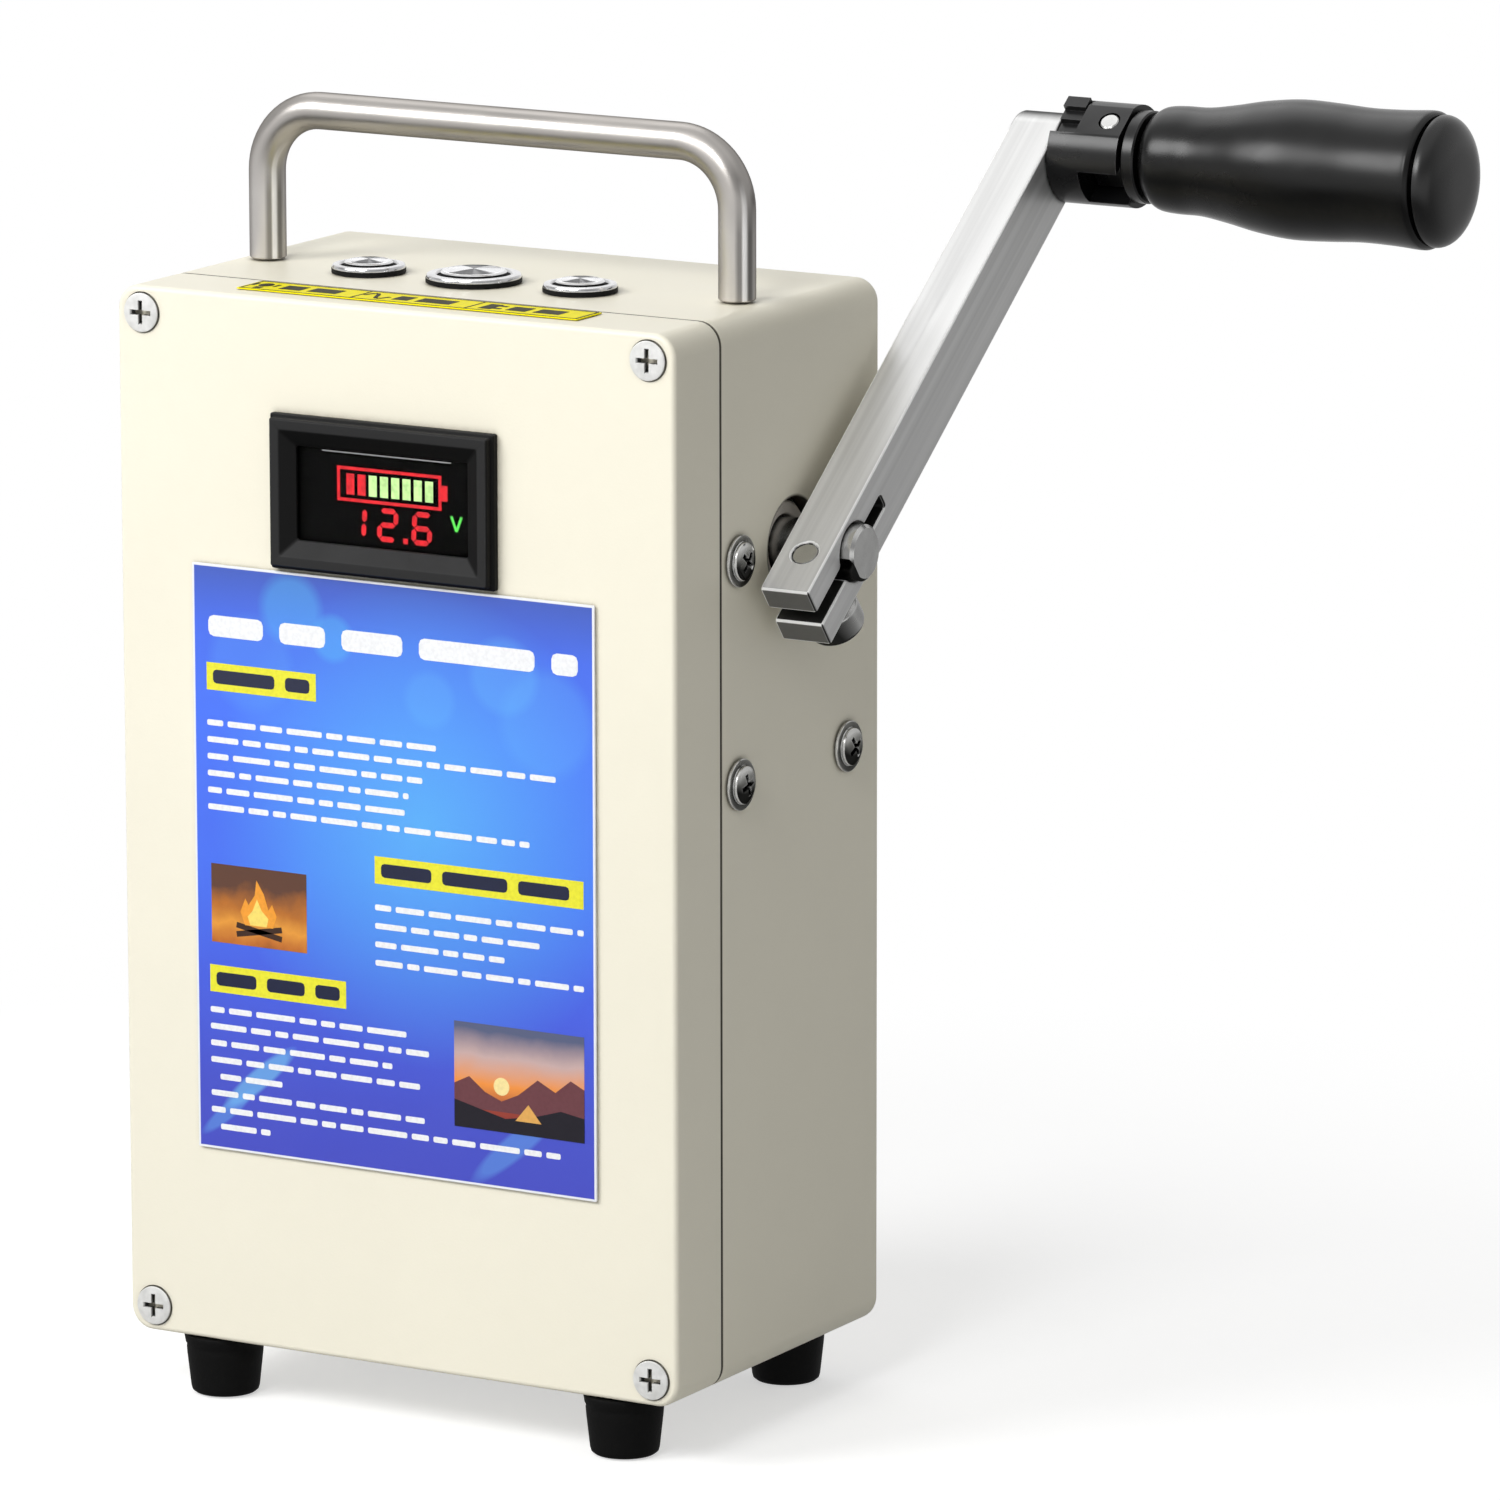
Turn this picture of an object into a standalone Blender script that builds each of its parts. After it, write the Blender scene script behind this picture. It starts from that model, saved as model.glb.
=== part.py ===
"""Hand crank generator: a moulded case in two halves with a carry handle, a panel meter and three push
switches, and a crank on its right side that turns a geared generator. Metres, +Z up, front towards -Y,
origin in the middle of the case's underside."""

import math

import bmesh
import bpy
from mathutils import Euler, Matrix

# Fits and mesh steps that every piece shares
FIT_GAP = 0.0003
RUN_GAP = 0.0004
OVERRUN = 0.002
MERGE_DISTANCE = 0.000001
ROUND_STEPS = 28
SMALL_STEPS = 16
SCREW_STEPS = 12
CORNER_STEPS = 3
EDGE_STEPS = 3
SHARP_ANGLE = math.radians(35)

# Directions in which a piece's local Z can point
UPWARD = (0, 0, 0)
DOWNWARD = (math.pi, 0, 0)
FRONTWARD = (math.pi / 2, 0, 0)
BACKWARD = (-math.pi / 2, 0, 0)
RIGHTWARD = (math.pi / 2, 0, math.pi / 2)
LEFTWARD = (math.pi / 2, 0, -math.pi / 2)

# Case: a deep body, as deep as the gearbox screws in its side need, and a shallow lid that is the front
CASE_WIDTH = 0.120
CASE_HEIGHT = 0.200
LID_DEPTH = 0.0162
PARTING_LINE = 0.0004
SIDE_SCREW_FRONT_INSET = 0.0061
SIDE_SCREW_SPAN_Y = 0.040
SIDE_SCREW_BACK_INSET = 0.0133
CASE_WALL = 0.003
CASE_CORNER = 0.0045
CASE_CORNER_INSIDE = 0.0015
BACK_ROUND = 0.002
LID_ROUND = 0.001
GASKET_SHARE = 0.34
GROOVE_DEPTH = 0.0018
PLATE_FIELD_WIDTH = 0.050
PLATE_FIELD_DEPTH = 0.028
PLATE_GROOVE = 0.0006
PLATE_GROOVE_DEPTH = 0.0004

BODY_DEPTH = SIDE_SCREW_FRONT_INSET + SIDE_SCREW_SPAN_Y + SIDE_SCREW_BACK_INSET
CASE_DEPTH = LID_DEPTH + PARTING_LINE + BODY_DEPTH
CASE_FRONT = -CASE_DEPTH / 2
CASE_BACK = CASE_DEPTH / 2
CASE_RIGHT = CASE_WIDTH / 2
CASE_MIDDLE = CASE_HEIGHT / 2
LID_RIM = CASE_FRONT + LID_DEPTH
BODY_RIM = LID_RIM + PARTING_LINE

# Countersunk lid screws in the corner posts
LID_SCREW_INSET_X = 0.0055
LID_SCREW_INSET_Z = 0.005
LID_SCREW_HEAD = 0.0038
LID_SCREW_SHANK = 0.0019
LID_SCREW_GRIP = 0.010
POST_RADIUS = 0.0044
POST_LENGTH = 0.0135
POST_DROP = 0.0005
CROSS_LENGTH_SHARE = 1.25
CROSS_WIDTH_SHARE = 0.2
CROSS_DEPTH = 0.001

# Rubber feet, each on one screw into a boss in the case floor
FOOT_INSET_X = 0.016
FOOT_INSET_Y = 0.008
FOOT_TOP_RADIUS = 0.0077
FOOT_BOTTOM_RADIUS = 0.0063
FOOT_HEIGHT = 0.012
FOOT_EDGE = 0.0008
FOOT_RECESS_RADIUS = 0.0042
FOOT_RECESS_DEPTH = 0.004
FOOT_SCREW_HEAD = 0.0036
FOOT_SCREW_HEAD_HEIGHT = 0.0022
FOOT_SCREW_SHANK = 0.0017
FOOT_BOSS_RADIUS = 0.004
FOOT_BOSS_HEIGHT = 0.003

# Carry handle: bent stainless rod on two screws through the case top
HANDLE_INSET = 0.009
HANDLE_RADIUS = 0.0035
HANDLE_RISE = 0.029
HANDLE_BEND = 0.012
HANDLE_BEND_STEPS = 7
HANDLE_BORE_DEPTH = 0.010
HANDLE_SCREW_SHANK = 0.0019
HANDLE_SCREW_HEAD = 0.0036
HANDLE_SCREW_HEAD_HEIGHT = 0.0024

HANDLE_SPAN = CASE_WIDTH - 2 * HANDLE_INSET

# Panel meter
METER_X = -0.0016
METER_DROP = 0.0357
METER_WIDTH = 0.0483
METER_HEIGHT = 0.0291
METER_PROUD = 0.003
METER_CORNER = 0.0004
METER_RIM = 0.0027
METER_STEP = 0.0006
METER_CHAMFER = 0.003
METER_CHAMFER_DEPTH = 0.0016
METER_LIP = 0.0005
METER_FLANGE = 0.0014
METER_BODY_DEPTH = 0.0135
METER_BODY_WALL = 0.0015
METER_WINDOW_THICKNESS = 0.001
METER_DISPLAY_THICKNESS = 0.007

METER_Z = CASE_HEIGHT - METER_DROP

# Printed labels
LABEL_THICKNESS = 0.0004
LABEL_WIDTH = 0.087
LABEL_HEIGHT = 0.1116
LABEL_X = -0.0002
LABEL_DROP = 0.0007
SWITCH_LABEL_WIDTH = 0.0735
SWITCH_LABEL_DEPTH = 0.009
SWITCH_LABEL_BACKSET = 0.005

# Metal push switches in a row on the case top: collar, barrel and cap radii of each size
SWITCH_ROW_X = -0.003
SWITCH_PITCH = 0.023
SWITCH_BACKSET = 0.0171
SMALL_COLLAR = 0.007
SMALL_BARREL = 0.006
SMALL_CAP = 0.0046
LARGE_COLLAR = 0.009
LARGE_BARREL = 0.008
LARGE_CAP = 0.0062
COLLAR_HEIGHT = 0.0018
COLLAR_BEVEL = 0.0011
BARREL_LENGTH = 0.021
CAP_PROUD = 0.0008
CAP_LENGTH = 0.006
CAP_EDGE = 0.0003
CAP_TRAVEL = 0.0015
SWITCH_TERMINAL = 0.0012
SWITCH_TERMINAL_LENGTH = 0.004

# Crank: the shaft's axis runs along X through the gearbox; the arm leans back by CRANK_ANGLE
CRANK_ANGLE = math.radians(52.2)
SHAFT_DROP = 0.0453
ARM_THICKNESS = 0.0102
ARM_WIDTH = 0.014
ARM_CHEEK = 0.0014
ARM_CLEARANCE = 0.0031
ARM_TAIL = 0.0169
ARM_THROW = 0.104
ARM_EDGE = 0.0003
ARM_ROUND_STEPS = 12
CLAMP_SLOT = 0.0032
CLAMP_SLOT_END = 0.013
CLAMP_STATION = 0.0072
CLAMP_RADIUS = 0.0025
CLAMP_SUNK = 0.0004
CLAMP_HEAD_RADIUS = 0.0054
CLAMP_HEAD_HEIGHT = 0.006
CLAMP_HEAD_EDGE = 0.001
SHAFT_PROUD = 0.0023
SHAFT_EDGE = 0.0005
SHAFT_HOLE_RADIUS = 0.0105

SHAFT_Y = BODY_RIM + SIDE_SCREW_FRONT_INSET + SIDE_SCREW_SPAN_Y / 2
SHAFT_Z = CASE_HEIGHT - SHAFT_DROP
ARM_INNER = CASE_RIGHT + ARM_CLEARANCE
ARM_OUTER = ARM_INNER + ARM_THICKNESS
ARM_CENTRE = (ARM_INNER + ARM_OUTER) / 2
SHAFT_BORE = ARM_WIDTH / 2 - ARM_CHEEK
SHAFT_RADIUS = SHAFT_BORE - FIT_GAP
SHAFT_FLAT = CLAMP_STATION - CLAMP_RADIUS - FIT_GAP

# Grip bracket at the arm's end, with its stepped recess, cross pin and bolt
BRACKET_RADIUS = 0.0098
BRACKET_LENGTH = 0.0147
BRACKET_EDGE = 0.0004
BRACKET_FLAT_DEPTH = 0.0007
FORK_DEPTH = 0.0083
FORK_WIDTH = 0.008
FORK_TOP = 0.005
CROSS_PIN_INSET = 0.0036
CROSS_PIN_RADIUS = 0.00185
BOLT_HEAD_RADIUS = 0.00325
BOLT_HEAD_HEIGHT = 0.0022
BOLT_SHANK = 0.002
BOLT_REACH = 0.0045
POCKET_LENGTH = 0.0052
POCKET_DEPTH = 0.0022
STEP_LENGTH = 0.0048
STEP_LOW = 0.0006
STEP_MIDDLE = 0.003
STEP_END = 0.0056

# Grip: spindle, sleeve that spins on it, retaining screw and end cap
NECK_RADIUS = 0.0088
NECK_LENGTH = 0.0026
SPINDLE_RADIUS = 0.004
GRIP_LENGTH = 0.059
GRIP_START_RADIUS = 0.0066
GRIP_RADIUS = 0.01315
GRIP_PROFILE_SHARES = (
    (0.000, 0.50), (0.010, 0.62), (0.028, 0.70), (0.055, 0.755), (0.110, 0.775), (0.190, 0.780),
    (0.290, 0.85), (0.400, 0.945), (0.520, 1.0), (0.640, 0.985), (0.760, 0.955), (0.880, 0.965),
    (0.970, 0.990), (0.992, 0.970), (1.000, 0.930))
GRIP_POCKET_RADIUS = 0.0085
GRIP_POCKET_DEPTH = 0.011
SPINDLE_SCREW_HEAD = 0.0062
SPINDLE_SCREW_HEAD_HEIGHT = 0.0025
SPINDLE_SCREW_SHANK = 0.0018
SPINDLE_SCREW_LENGTH = 0.012
GRIP_CAP_RADIUS = 0.0124
GRIP_CAP_GROOVE = 0.0009
GRIP_CAP_HEIGHT = 0.0045
GRIP_CAP_PLUG = 0.004
GRIP_CAP_STEPS = 4

# Gearbox behind the right wall: two 48:12 stages down a column of three axes
GEAR_CLEARANCE = 0.0023
GEAR_TEETH = 48
PINION_TEETH = 12
TOOTH_ADDENDUM_SHARE = 0.75
TOOTH_DEDENDUM_SHARE = 1.1
TOOTH_FLANK_STEPS = 1
PRESSURE_ANGLE = math.radians(20)
TOOTH_BACKLASH = 0.00022
GEAR_FACE = 0.004
PINION_EXTRA = 0.0006
STAGE_GAP = 0.001
HOUSING_PLATE = 0.003
HOUSING_WALL = 0.0024
HOUSING_CORNER = 0.004
HOUSING_CORNER_INSIDE = 0.002
HOUSING_MARGIN = 0.0028
HOUSING_FOOT = 0.0083
COVER_THICKNESS = 0.0027
BUSH_RADIUS = 0.009
BUSH_PROUD = 0.0015
BUSH_INNER_LENGTH = 0.0038
BUSH_WALL = 0.002
IDLER_AXLE_RADIUS = 0.0015
SIDE_SCREW_SPAN_Z = 0.0417
SIDE_SCREW_TOP = 0.0004
SIDE_SCREW_SHANK = 0.0016
SIDE_SCREW_BOSS = 0.0033
SIDE_SCREW_WASHER = 0.0048
SIDE_SCREW_WASHER_HEIGHT = 0.0006
SIDE_SCREW_HEAD = 0.0036
SIDE_SCREW_HEAD_HEIGHT = 0.0014

GEAR_RADIUS = SIDE_SCREW_SPAN_Y / 2 - SIDE_SCREW_BOSS - GEAR_CLEARANCE
GEAR_MODULE = 2 * GEAR_RADIUS / GEAR_TEETH
PINION_RADIUS = GEAR_MODULE * PINION_TEETH / 2
AXIS_STEP = GEAR_RADIUS + PINION_RADIUS
IDLER_Z = SHAFT_Z - AXIS_STEP
ROTOR_Z = IDLER_Z - AXIS_STEP
HOUSING_FRONT = CASE_RIGHT - CASE_WALL - FIT_GAP
MAIN_GEAR_X = HOUSING_FRONT - HOUSING_PLATE - BUSH_INNER_LENGTH - RUN_GAP - GEAR_FACE
IDLER_GEAR_X = MAIN_GEAR_X - STAGE_GAP - GEAR_FACE
HOUSING_RIM = IDLER_GEAR_X - STAGE_GAP - PINION_EXTRA
COVER_FRONT = HOUSING_RIM - FIT_GAP
COVER_BACK = COVER_FRONT - COVER_THICKNESS
GEAR_TIP = GEAR_RADIUS + GEAR_MODULE
HOUSING_TOP = SHAFT_Z + GEAR_TIP + HOUSING_MARGIN
HOUSING_BOTTOM = ROTOR_Z - PINION_RADIUS - HOUSING_FOOT
HOUSING_HALF_WIDTH = SIDE_SCREW_SPAN_Y / 2 + SIDE_SCREW_BOSS + HOUSING_WALL / 2
SIDE_SCREW_HIGH = SHAFT_Z + SIDE_SCREW_TOP
SIDE_SCREW_LOW = SIDE_SCREW_HIGH - SIDE_SCREW_SPAN_Z

# Generator on the gearbox cover
CAN_RADIUS = 0.020
CAN_WALL = 0.0015
CAN_LENGTH = 0.024
CAN_BEARING = 0.004
CAN_FLANGE = 0.0015
CAN_FLANGE_LENGTH = 0.002
STATOR_INNER = 0.0125
STATOR_LENGTH = 0.013
STATOR_SLOTS = 12
STATOR_SLOT_DEPTH = 0.004
STATOR_SLOT_WIDTH = 0.0024
ROTOR_AIR_GAP = 0.0005
ROTOR_SHAFT = 0.002
ROTOR_DRUM_LENGTH = 0.014
ROTOR_END_PLAY = 0.001

# Battery pack, wrapped as one block on the floor bosses
CELL_RADIUS = 0.00925
CELL_LENGTH = 0.065
CELLS_ACROSS = 3
CELLS_DEEP = 2
PACK_EDGE = 0.001

# Inverter board on four posts from the back wall
BOARD_WIDTH = 0.034
BOARD_HEIGHT = 0.050
BOARD_THICKNESS = 0.0016
BOARD_STANDOFF = 0.006
BOARD_POST_RADIUS = 0.003
BOARD_POST_INSET = 0.004
BOARD_SIDE_GAP = 0.002
BOARD_FLOOR_GAP = 0.006
TRANSFORMER_WIDTH = 0.024
TRANSFORMER_HEIGHT = 0.020
TRANSFORMER_DEPTH = 0.022
CAPACITOR_RADIUS = 0.005
CAPACITOR_LENGTH = 0.016
HEAT_SINK_WIDTH = 0.028
HEAT_SINK_HEIGHT = 0.003
HEAT_SINK_DEPTH = 0.018

# Sockets and lamp in a column on the left wall
SOCKET_GAP = 0.008
OUTLET_WIDTH = 0.034
OUTLET_HEIGHT = 0.028
OUTLET_BODY_WIDTH = 0.028
OUTLET_BODY_HEIGHT = 0.022
OUTLET_DEPTH = 0.020
OUTLET_SLOT_HEIGHT = 0.007
OUTLET_SLOT_WIDTH = 0.0018
OUTLET_SLOT_PITCH = 0.0127
OUTLET_SLOT_DEPTH = 0.016
OUTLET_EARTH_RADIUS = 0.0025
OUTLET_EARTH_DROP = 0.0075
OUTLET_SLOT_RISE = 0.003
PANEL_PLATE = 0.0025
PANEL_CORNER = 0.002
USB_WIDTH = 0.021
USB_HEIGHT = 0.013
USB_BODY_WIDTH = 0.017
USB_BODY_HEIGHT = 0.009
USB_DEPTH = 0.014
USB_PORT_WIDTH = 0.0125
USB_PORT_HEIGHT = 0.005
USB_PORT_DEPTH = 0.011
USB_TONGUE_HEIGHT = 0.0018
USB_TONGUE_WIDTH_SHARE = 0.9
JACK_FORWARD = 0.0155
JACK_RADIUS = 0.0055
JACK_FLANGE_RADIUS = 0.0075
JACK_BORE = 0.0032
JACK_BORE_DEPTH = 0.009
JACK_PIN = 0.00105
JACK_DEPTH = 0.011
LAMP_DROP = 0.028
LAMP_RADIUS = 0.008
LAMP_FLANGE_RADIUS = 0.0105
LAMP_FLANGE = 0.002
LAMP_CUP_DEPTH = 0.012
LAMP_CUP_RADIUS = 0.0066
LAMP_FLOOR = 0.002
LENS_THICKNESS = 0.002
LENS_CROWN = 0.0008

SOCKET_COLUMN_Y = SHAFT_Y
LAMP_Z = CASE_HEIGHT - LAMP_DROP
USB_Z = LAMP_Z - LAMP_FLANGE_RADIUS - SOCKET_GAP - USB_HEIGHT / 2
OUTLET_Z = USB_Z - USB_HEIGHT / 2 - SOCKET_GAP - OUTLET_HEIGHT / 2
JACK_Z = OUTLET_Z - OUTLET_HEIGHT / 2 - SOCKET_GAP - JACK_FLANGE_RADIUS
JACK_Y = SOCKET_COLUMN_Y - JACK_FORWARD

# Colour, roughness and metallic of each finish
CREAM_PLASTIC = ("cream_plastic", (0.90, 0.87, 0.74), 0.45, 0.0)
BLACK_PLASTIC = ("black_plastic", (0.02, 0.02, 0.022), 0.35, 0.0)
GLOSS_BLACK = ("gloss_black", (0.015, 0.015, 0.017), 0.22, 0.0)
BLACK_RUBBER = ("black_rubber", (0.02, 0.02, 0.02), 0.7, 0.0)
BRUSHED_ALUMINIUM = ("brushed_aluminium", (0.78, 0.78, 0.78), 0.35, 1.0)
STAINLESS = ("stainless", (0.72, 0.71, 0.70), 0.25, 1.0)
BRIGHT_CHROME = ("bright_chrome", (0.85, 0.86, 0.88), 0.08, 1.0)
ZINC_STEEL = ("zinc_steel", (0.62, 0.62, 0.60), 0.35, 1.0)
GEAR_STEEL = ("gear_steel", (0.45, 0.46, 0.48), 0.35, 1.0)
BRONZE = ("bronze", (0.63, 0.45, 0.24), 0.4, 1.0)
COPPER_IRON = ("copper_iron", (0.55, 0.28, 0.12), 0.5, 0.6)
CAST_ALLOY = ("cast_alloy", (0.55, 0.55, 0.54), 0.55, 0.8)
LABEL_BLUE = ("label_blue", (0.12, 0.2, 0.75), 0.4, 0.0)
LABEL_YELLOW = ("label_yellow", (0.85, 0.82, 0.08), 0.4, 0.0)
DISPLAY_GLASS = ("display_glass", (0.01, 0.01, 0.01), 0.1, 0.0)
CLEAR_LENS = ("clear_lens", (0.85, 0.88, 0.9), 0.1, 0.0)
PACK_WRAP = ("pack_wrap", (0.05, 0.2, 0.55), 0.4, 0.0)
BOARD_GREEN = ("board_green", (0.03, 0.25, 0.08), 0.5, 0.0)


# Building blocks: every mesh is made about its own local Z and then placed
def clear_scene():
    for old in list(bpy.data.objects):
        bpy.data.objects.remove(old, do_unlink=True)


def finish_material(finish):
    name, colour, roughness, metallic = finish
    material = bpy.data.materials.get(name)
    if material is None:
        material = bpy.data.materials.new(name)
        material.use_nodes = True
        shader = material.node_tree.nodes["Principled BSDF"]
        shader.inputs["Base Color"].default_value = (*colour, 1)
        shader.inputs["Roughness"].default_value = roughness
        shader.inputs["Metallic"].default_value = metallic
    return material


def placed(location, rotation=UPWARD):
    return Matrix.LocRotScale(location, Euler(rotation), None)


def rounded_rectangle(width, height, radius):
    corners = ((1, 1), (-1, 1), (-1, -1), (1, -1))
    points = []
    for index, (side_x, side_y) in enumerate(corners):
        centre_x = side_x * (width / 2 - radius)
        centre_y = side_y * (height / 2 - radius)
        for step in range(CORNER_STEPS + 1):
            angle = math.pi / 2 * (index + step / CORNER_STEPS)
            points.append((centre_x + radius * math.cos(angle), centre_y + radius * math.sin(angle)))
    return points


def lofted(sections, closed=False):
    """A skin through outlines with like point counts, each at its own height, capped or joined in a ring."""
    mesh = bmesh.new()
    rings = [[mesh.verts.new((x, y, height)) for x, y in outline] for outline, height in sections]
    pairs = list(zip(rings, rings[1:]))
    if closed:
        pairs.append((rings[-1], rings[0]))
    else:
        mesh.faces.new(rings[0])
        mesh.faces.new(rings[-1])
    for lower, upper in pairs:
        for index, vert in enumerate(lower):
            following = (index + 1) % len(lower)
            mesh.faces.new((vert, lower[following], upper[following], upper[index]))
    bmesh.ops.recalc_face_normals(mesh, faces=mesh.faces)
    return mesh


def prism(outline, depth):
    return lofted([(outline, 0), (outline, depth)])


def block(width, height, depth):
    """A box on local XY, centred there, and rising from zero along local Z."""
    corners = ((1, 1), (-1, 1), (-1, -1), (1, -1))
    return prism([(side_x * width / 2, side_y * height / 2) for side_x, side_y in corners], depth)


def turned(profile, steps=SMALL_STEPS):
    """A solid of revolution about local Z, from (radius, height) points; a ring if none is on the axis."""
    mesh = bmesh.new()
    chain = [mesh.verts.new((radius, 0, height)) for radius, height in profile]
    edges = [mesh.edges.new(pair) for pair in zip(chain, chain[1:])]
    if profile[0][0] > 0:
        edges.append(mesh.edges.new((chain[-1], chain[0])))
    bmesh.ops.spin(mesh, geom=chain + edges, cent=(0, 0, 0), axis=(0, 0, 1), angle=math.tau,
                   steps=steps, use_merge=True)
    bmesh.ops.remove_doubles(mesh, verts=mesh.verts, dist=MERGE_DISTANCE)
    bmesh.ops.recalc_face_normals(mesh, faces=mesh.faces)
    return mesh


def rod(radius, length, steps=SCREW_STEPS):
    return turned([(0, 0), (radius, 0), (radius, length), (0, length)], steps)


def edged_rod(radius, length, edge, steps=SMALL_STEPS):
    return turned([(0, 0), (radius, 0), (radius, length - edge), (radius - edge, length), (0, length)], steps)


def gathered(name, parts):
    """One mesh from several, each at its own matrix."""
    data = bpy.data.meshes.new(name)
    whole = bmesh.new()
    for mesh, matrix in parts:
        bmesh.ops.transform(mesh, matrix=matrix, verts=mesh.verts)
        mesh.to_mesh(data)
        whole.from_mesh(data)
        mesh.free()
    whole.to_mesh(data)
    whole.free()
    return data


def stood(name, data, location, rotation, parent):
    item = bpy.data.objects.new(name, data)
    item.location = location
    item.rotation_euler = rotation
    item.parent = parent
    bpy.context.scene.collection.objects.link(item)
    return item


def piece(name, mesh, finish, location=(0, 0, 0), rotation=UPWARD, parent=None):
    data = gathered(name, [(mesh, Matrix())])
    data.materials.append(finish_material(finish))
    data.shade_smooth()
    data.set_sharp_from_angle(angle=SHARP_ANGLE)
    return stood(name, data, location, rotation, parent)


def shaped(item, operation, label, parts, parent=None):
    """Cut or join a group of separate bodies, each given as a mesh and its matrix, with one Boolean."""
    name = item.name + label
    tool = stood(name, gathered(name, parts), (0, 0, 0), UPWARD, parent)
    tool.hide_render = True
    tool.display_type = "WIRE"
    boolean = item.modifiers.new(label.strip("_"), "BOOLEAN")
    boolean.operation = operation
    boolean.solver = "EXACT"
    boolean.object = tool


def cut(item, parts, parent=None):
    shaped(item, "DIFFERENCE", "_cutter", parts, parent)


def fuse(item, parts, parent=None):
    shaped(item, "UNION", "_addition", parts, parent)


def corner_places(half_x, half_y):
    return [(side_x * half_x, side_y * half_y) for side_x in (-1, 1) for side_y in (-1, 1)]


def cup(width, height, corner, corner_inside, wall, floor, depth, edge_round):
    """A rounded rectangular tray: closed at local zero, open at the top, its closed edge rounded over."""
    sections = []
    for step in range(EDGE_STEPS + 1):
        angle = math.pi / 2 * step / EDGE_STEPS
        inset = edge_round * (1 - math.sin(angle))
        rise = edge_round * (1 - math.cos(angle))
        sections.append((rounded_rectangle(width - 2 * inset, height - 2 * inset, corner - inset), rise))
    inside = rounded_rectangle(width - 2 * wall, height - 2 * wall, corner_inside)
    sections.append((rounded_rectangle(width, height, corner), depth))
    sections.append((inside, depth))
    sections.append((inside, floor))
    return lofted(sections)


def cross_recess(head_radius, depth):
    """The crossed slot of a screw head, as two crossing bars sunk from local zero downwards."""
    long_side = head_radius * CROSS_LENGTH_SHARE
    short_side = long_side * CROSS_WIDTH_SHARE
    half_long = long_side / 2
    half_short = short_side / 2
    outline = [(half_long, half_short), (half_short, half_short), (half_short, half_long),
               (-half_short, half_long), (-half_short, half_short), (-half_long, half_short),
               (-half_long, -half_short), (-half_short, -half_short), (-half_short, -half_long),
               (half_short, -half_long), (half_short, -half_short), (half_long, -half_short)]
    return lofted([(outline, -depth), (outline, OVERRUN)])


# Case, its screws, gasket and feet
def lid_screw_places():
    return corner_places(CASE_RIGHT - LID_SCREW_INSET_X, CASE_MIDDLE - LID_SCREW_INSET_Z)


def foot_places():
    return corner_places(CASE_RIGHT - FOOT_INSET_X, CASE_BACK - FOOT_INSET_Y)


def side_screw_places():
    return [(SHAFT_Y + side * SIDE_SCREW_SPAN_Y / 2, z)
            for z in (SIDE_SCREW_LOW, SIDE_SCREW_HIGH) for side in (-1, 1)]


def switch_places():
    """Name, place and collar, barrel and cap radii of each switch, from left to right."""
    small = (SMALL_COLLAR, SMALL_BARREL, SMALL_CAP)
    large = (LARGE_COLLAR, LARGE_BARREL, LARGE_CAP)
    y = BODY_RIM + SWITCH_BACKSET
    return [("light", SWITCH_ROW_X - SWITCH_PITCH, y, small), ("outlet", SWITCH_ROW_X, y, large),
            ("usb", SWITCH_ROW_X + SWITCH_PITCH, y, small)]


def board_post_places():
    centre_x = CASE_RIGHT - CASE_WALL - BOARD_SIDE_GAP - BOARD_WIDTH / 2
    centre_z = CASE_WALL + BOARD_FLOOR_GAP + BOARD_HEIGHT / 2
    places = corner_places(BOARD_WIDTH / 2 - BOARD_POST_INSET, BOARD_HEIGHT / 2 - BOARD_POST_INSET)
    return [(centre_x + x, centre_z + z) for x, z in places]


def foot_boss(x, y):
    return (rod(FOOT_BOSS_RADIUS, CASE_WALL / 2 + FOOT_BOSS_HEIGHT), placed((x, y, CASE_WALL / 2)))


def foot_screw_hole(x, y):
    length = CASE_WALL + FOOT_BOSS_HEIGHT + 2 * OVERRUN
    return (rod(FOOT_SCREW_SHANK + FIT_GAP, length), placed((x, y, -OVERRUN)))


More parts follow.
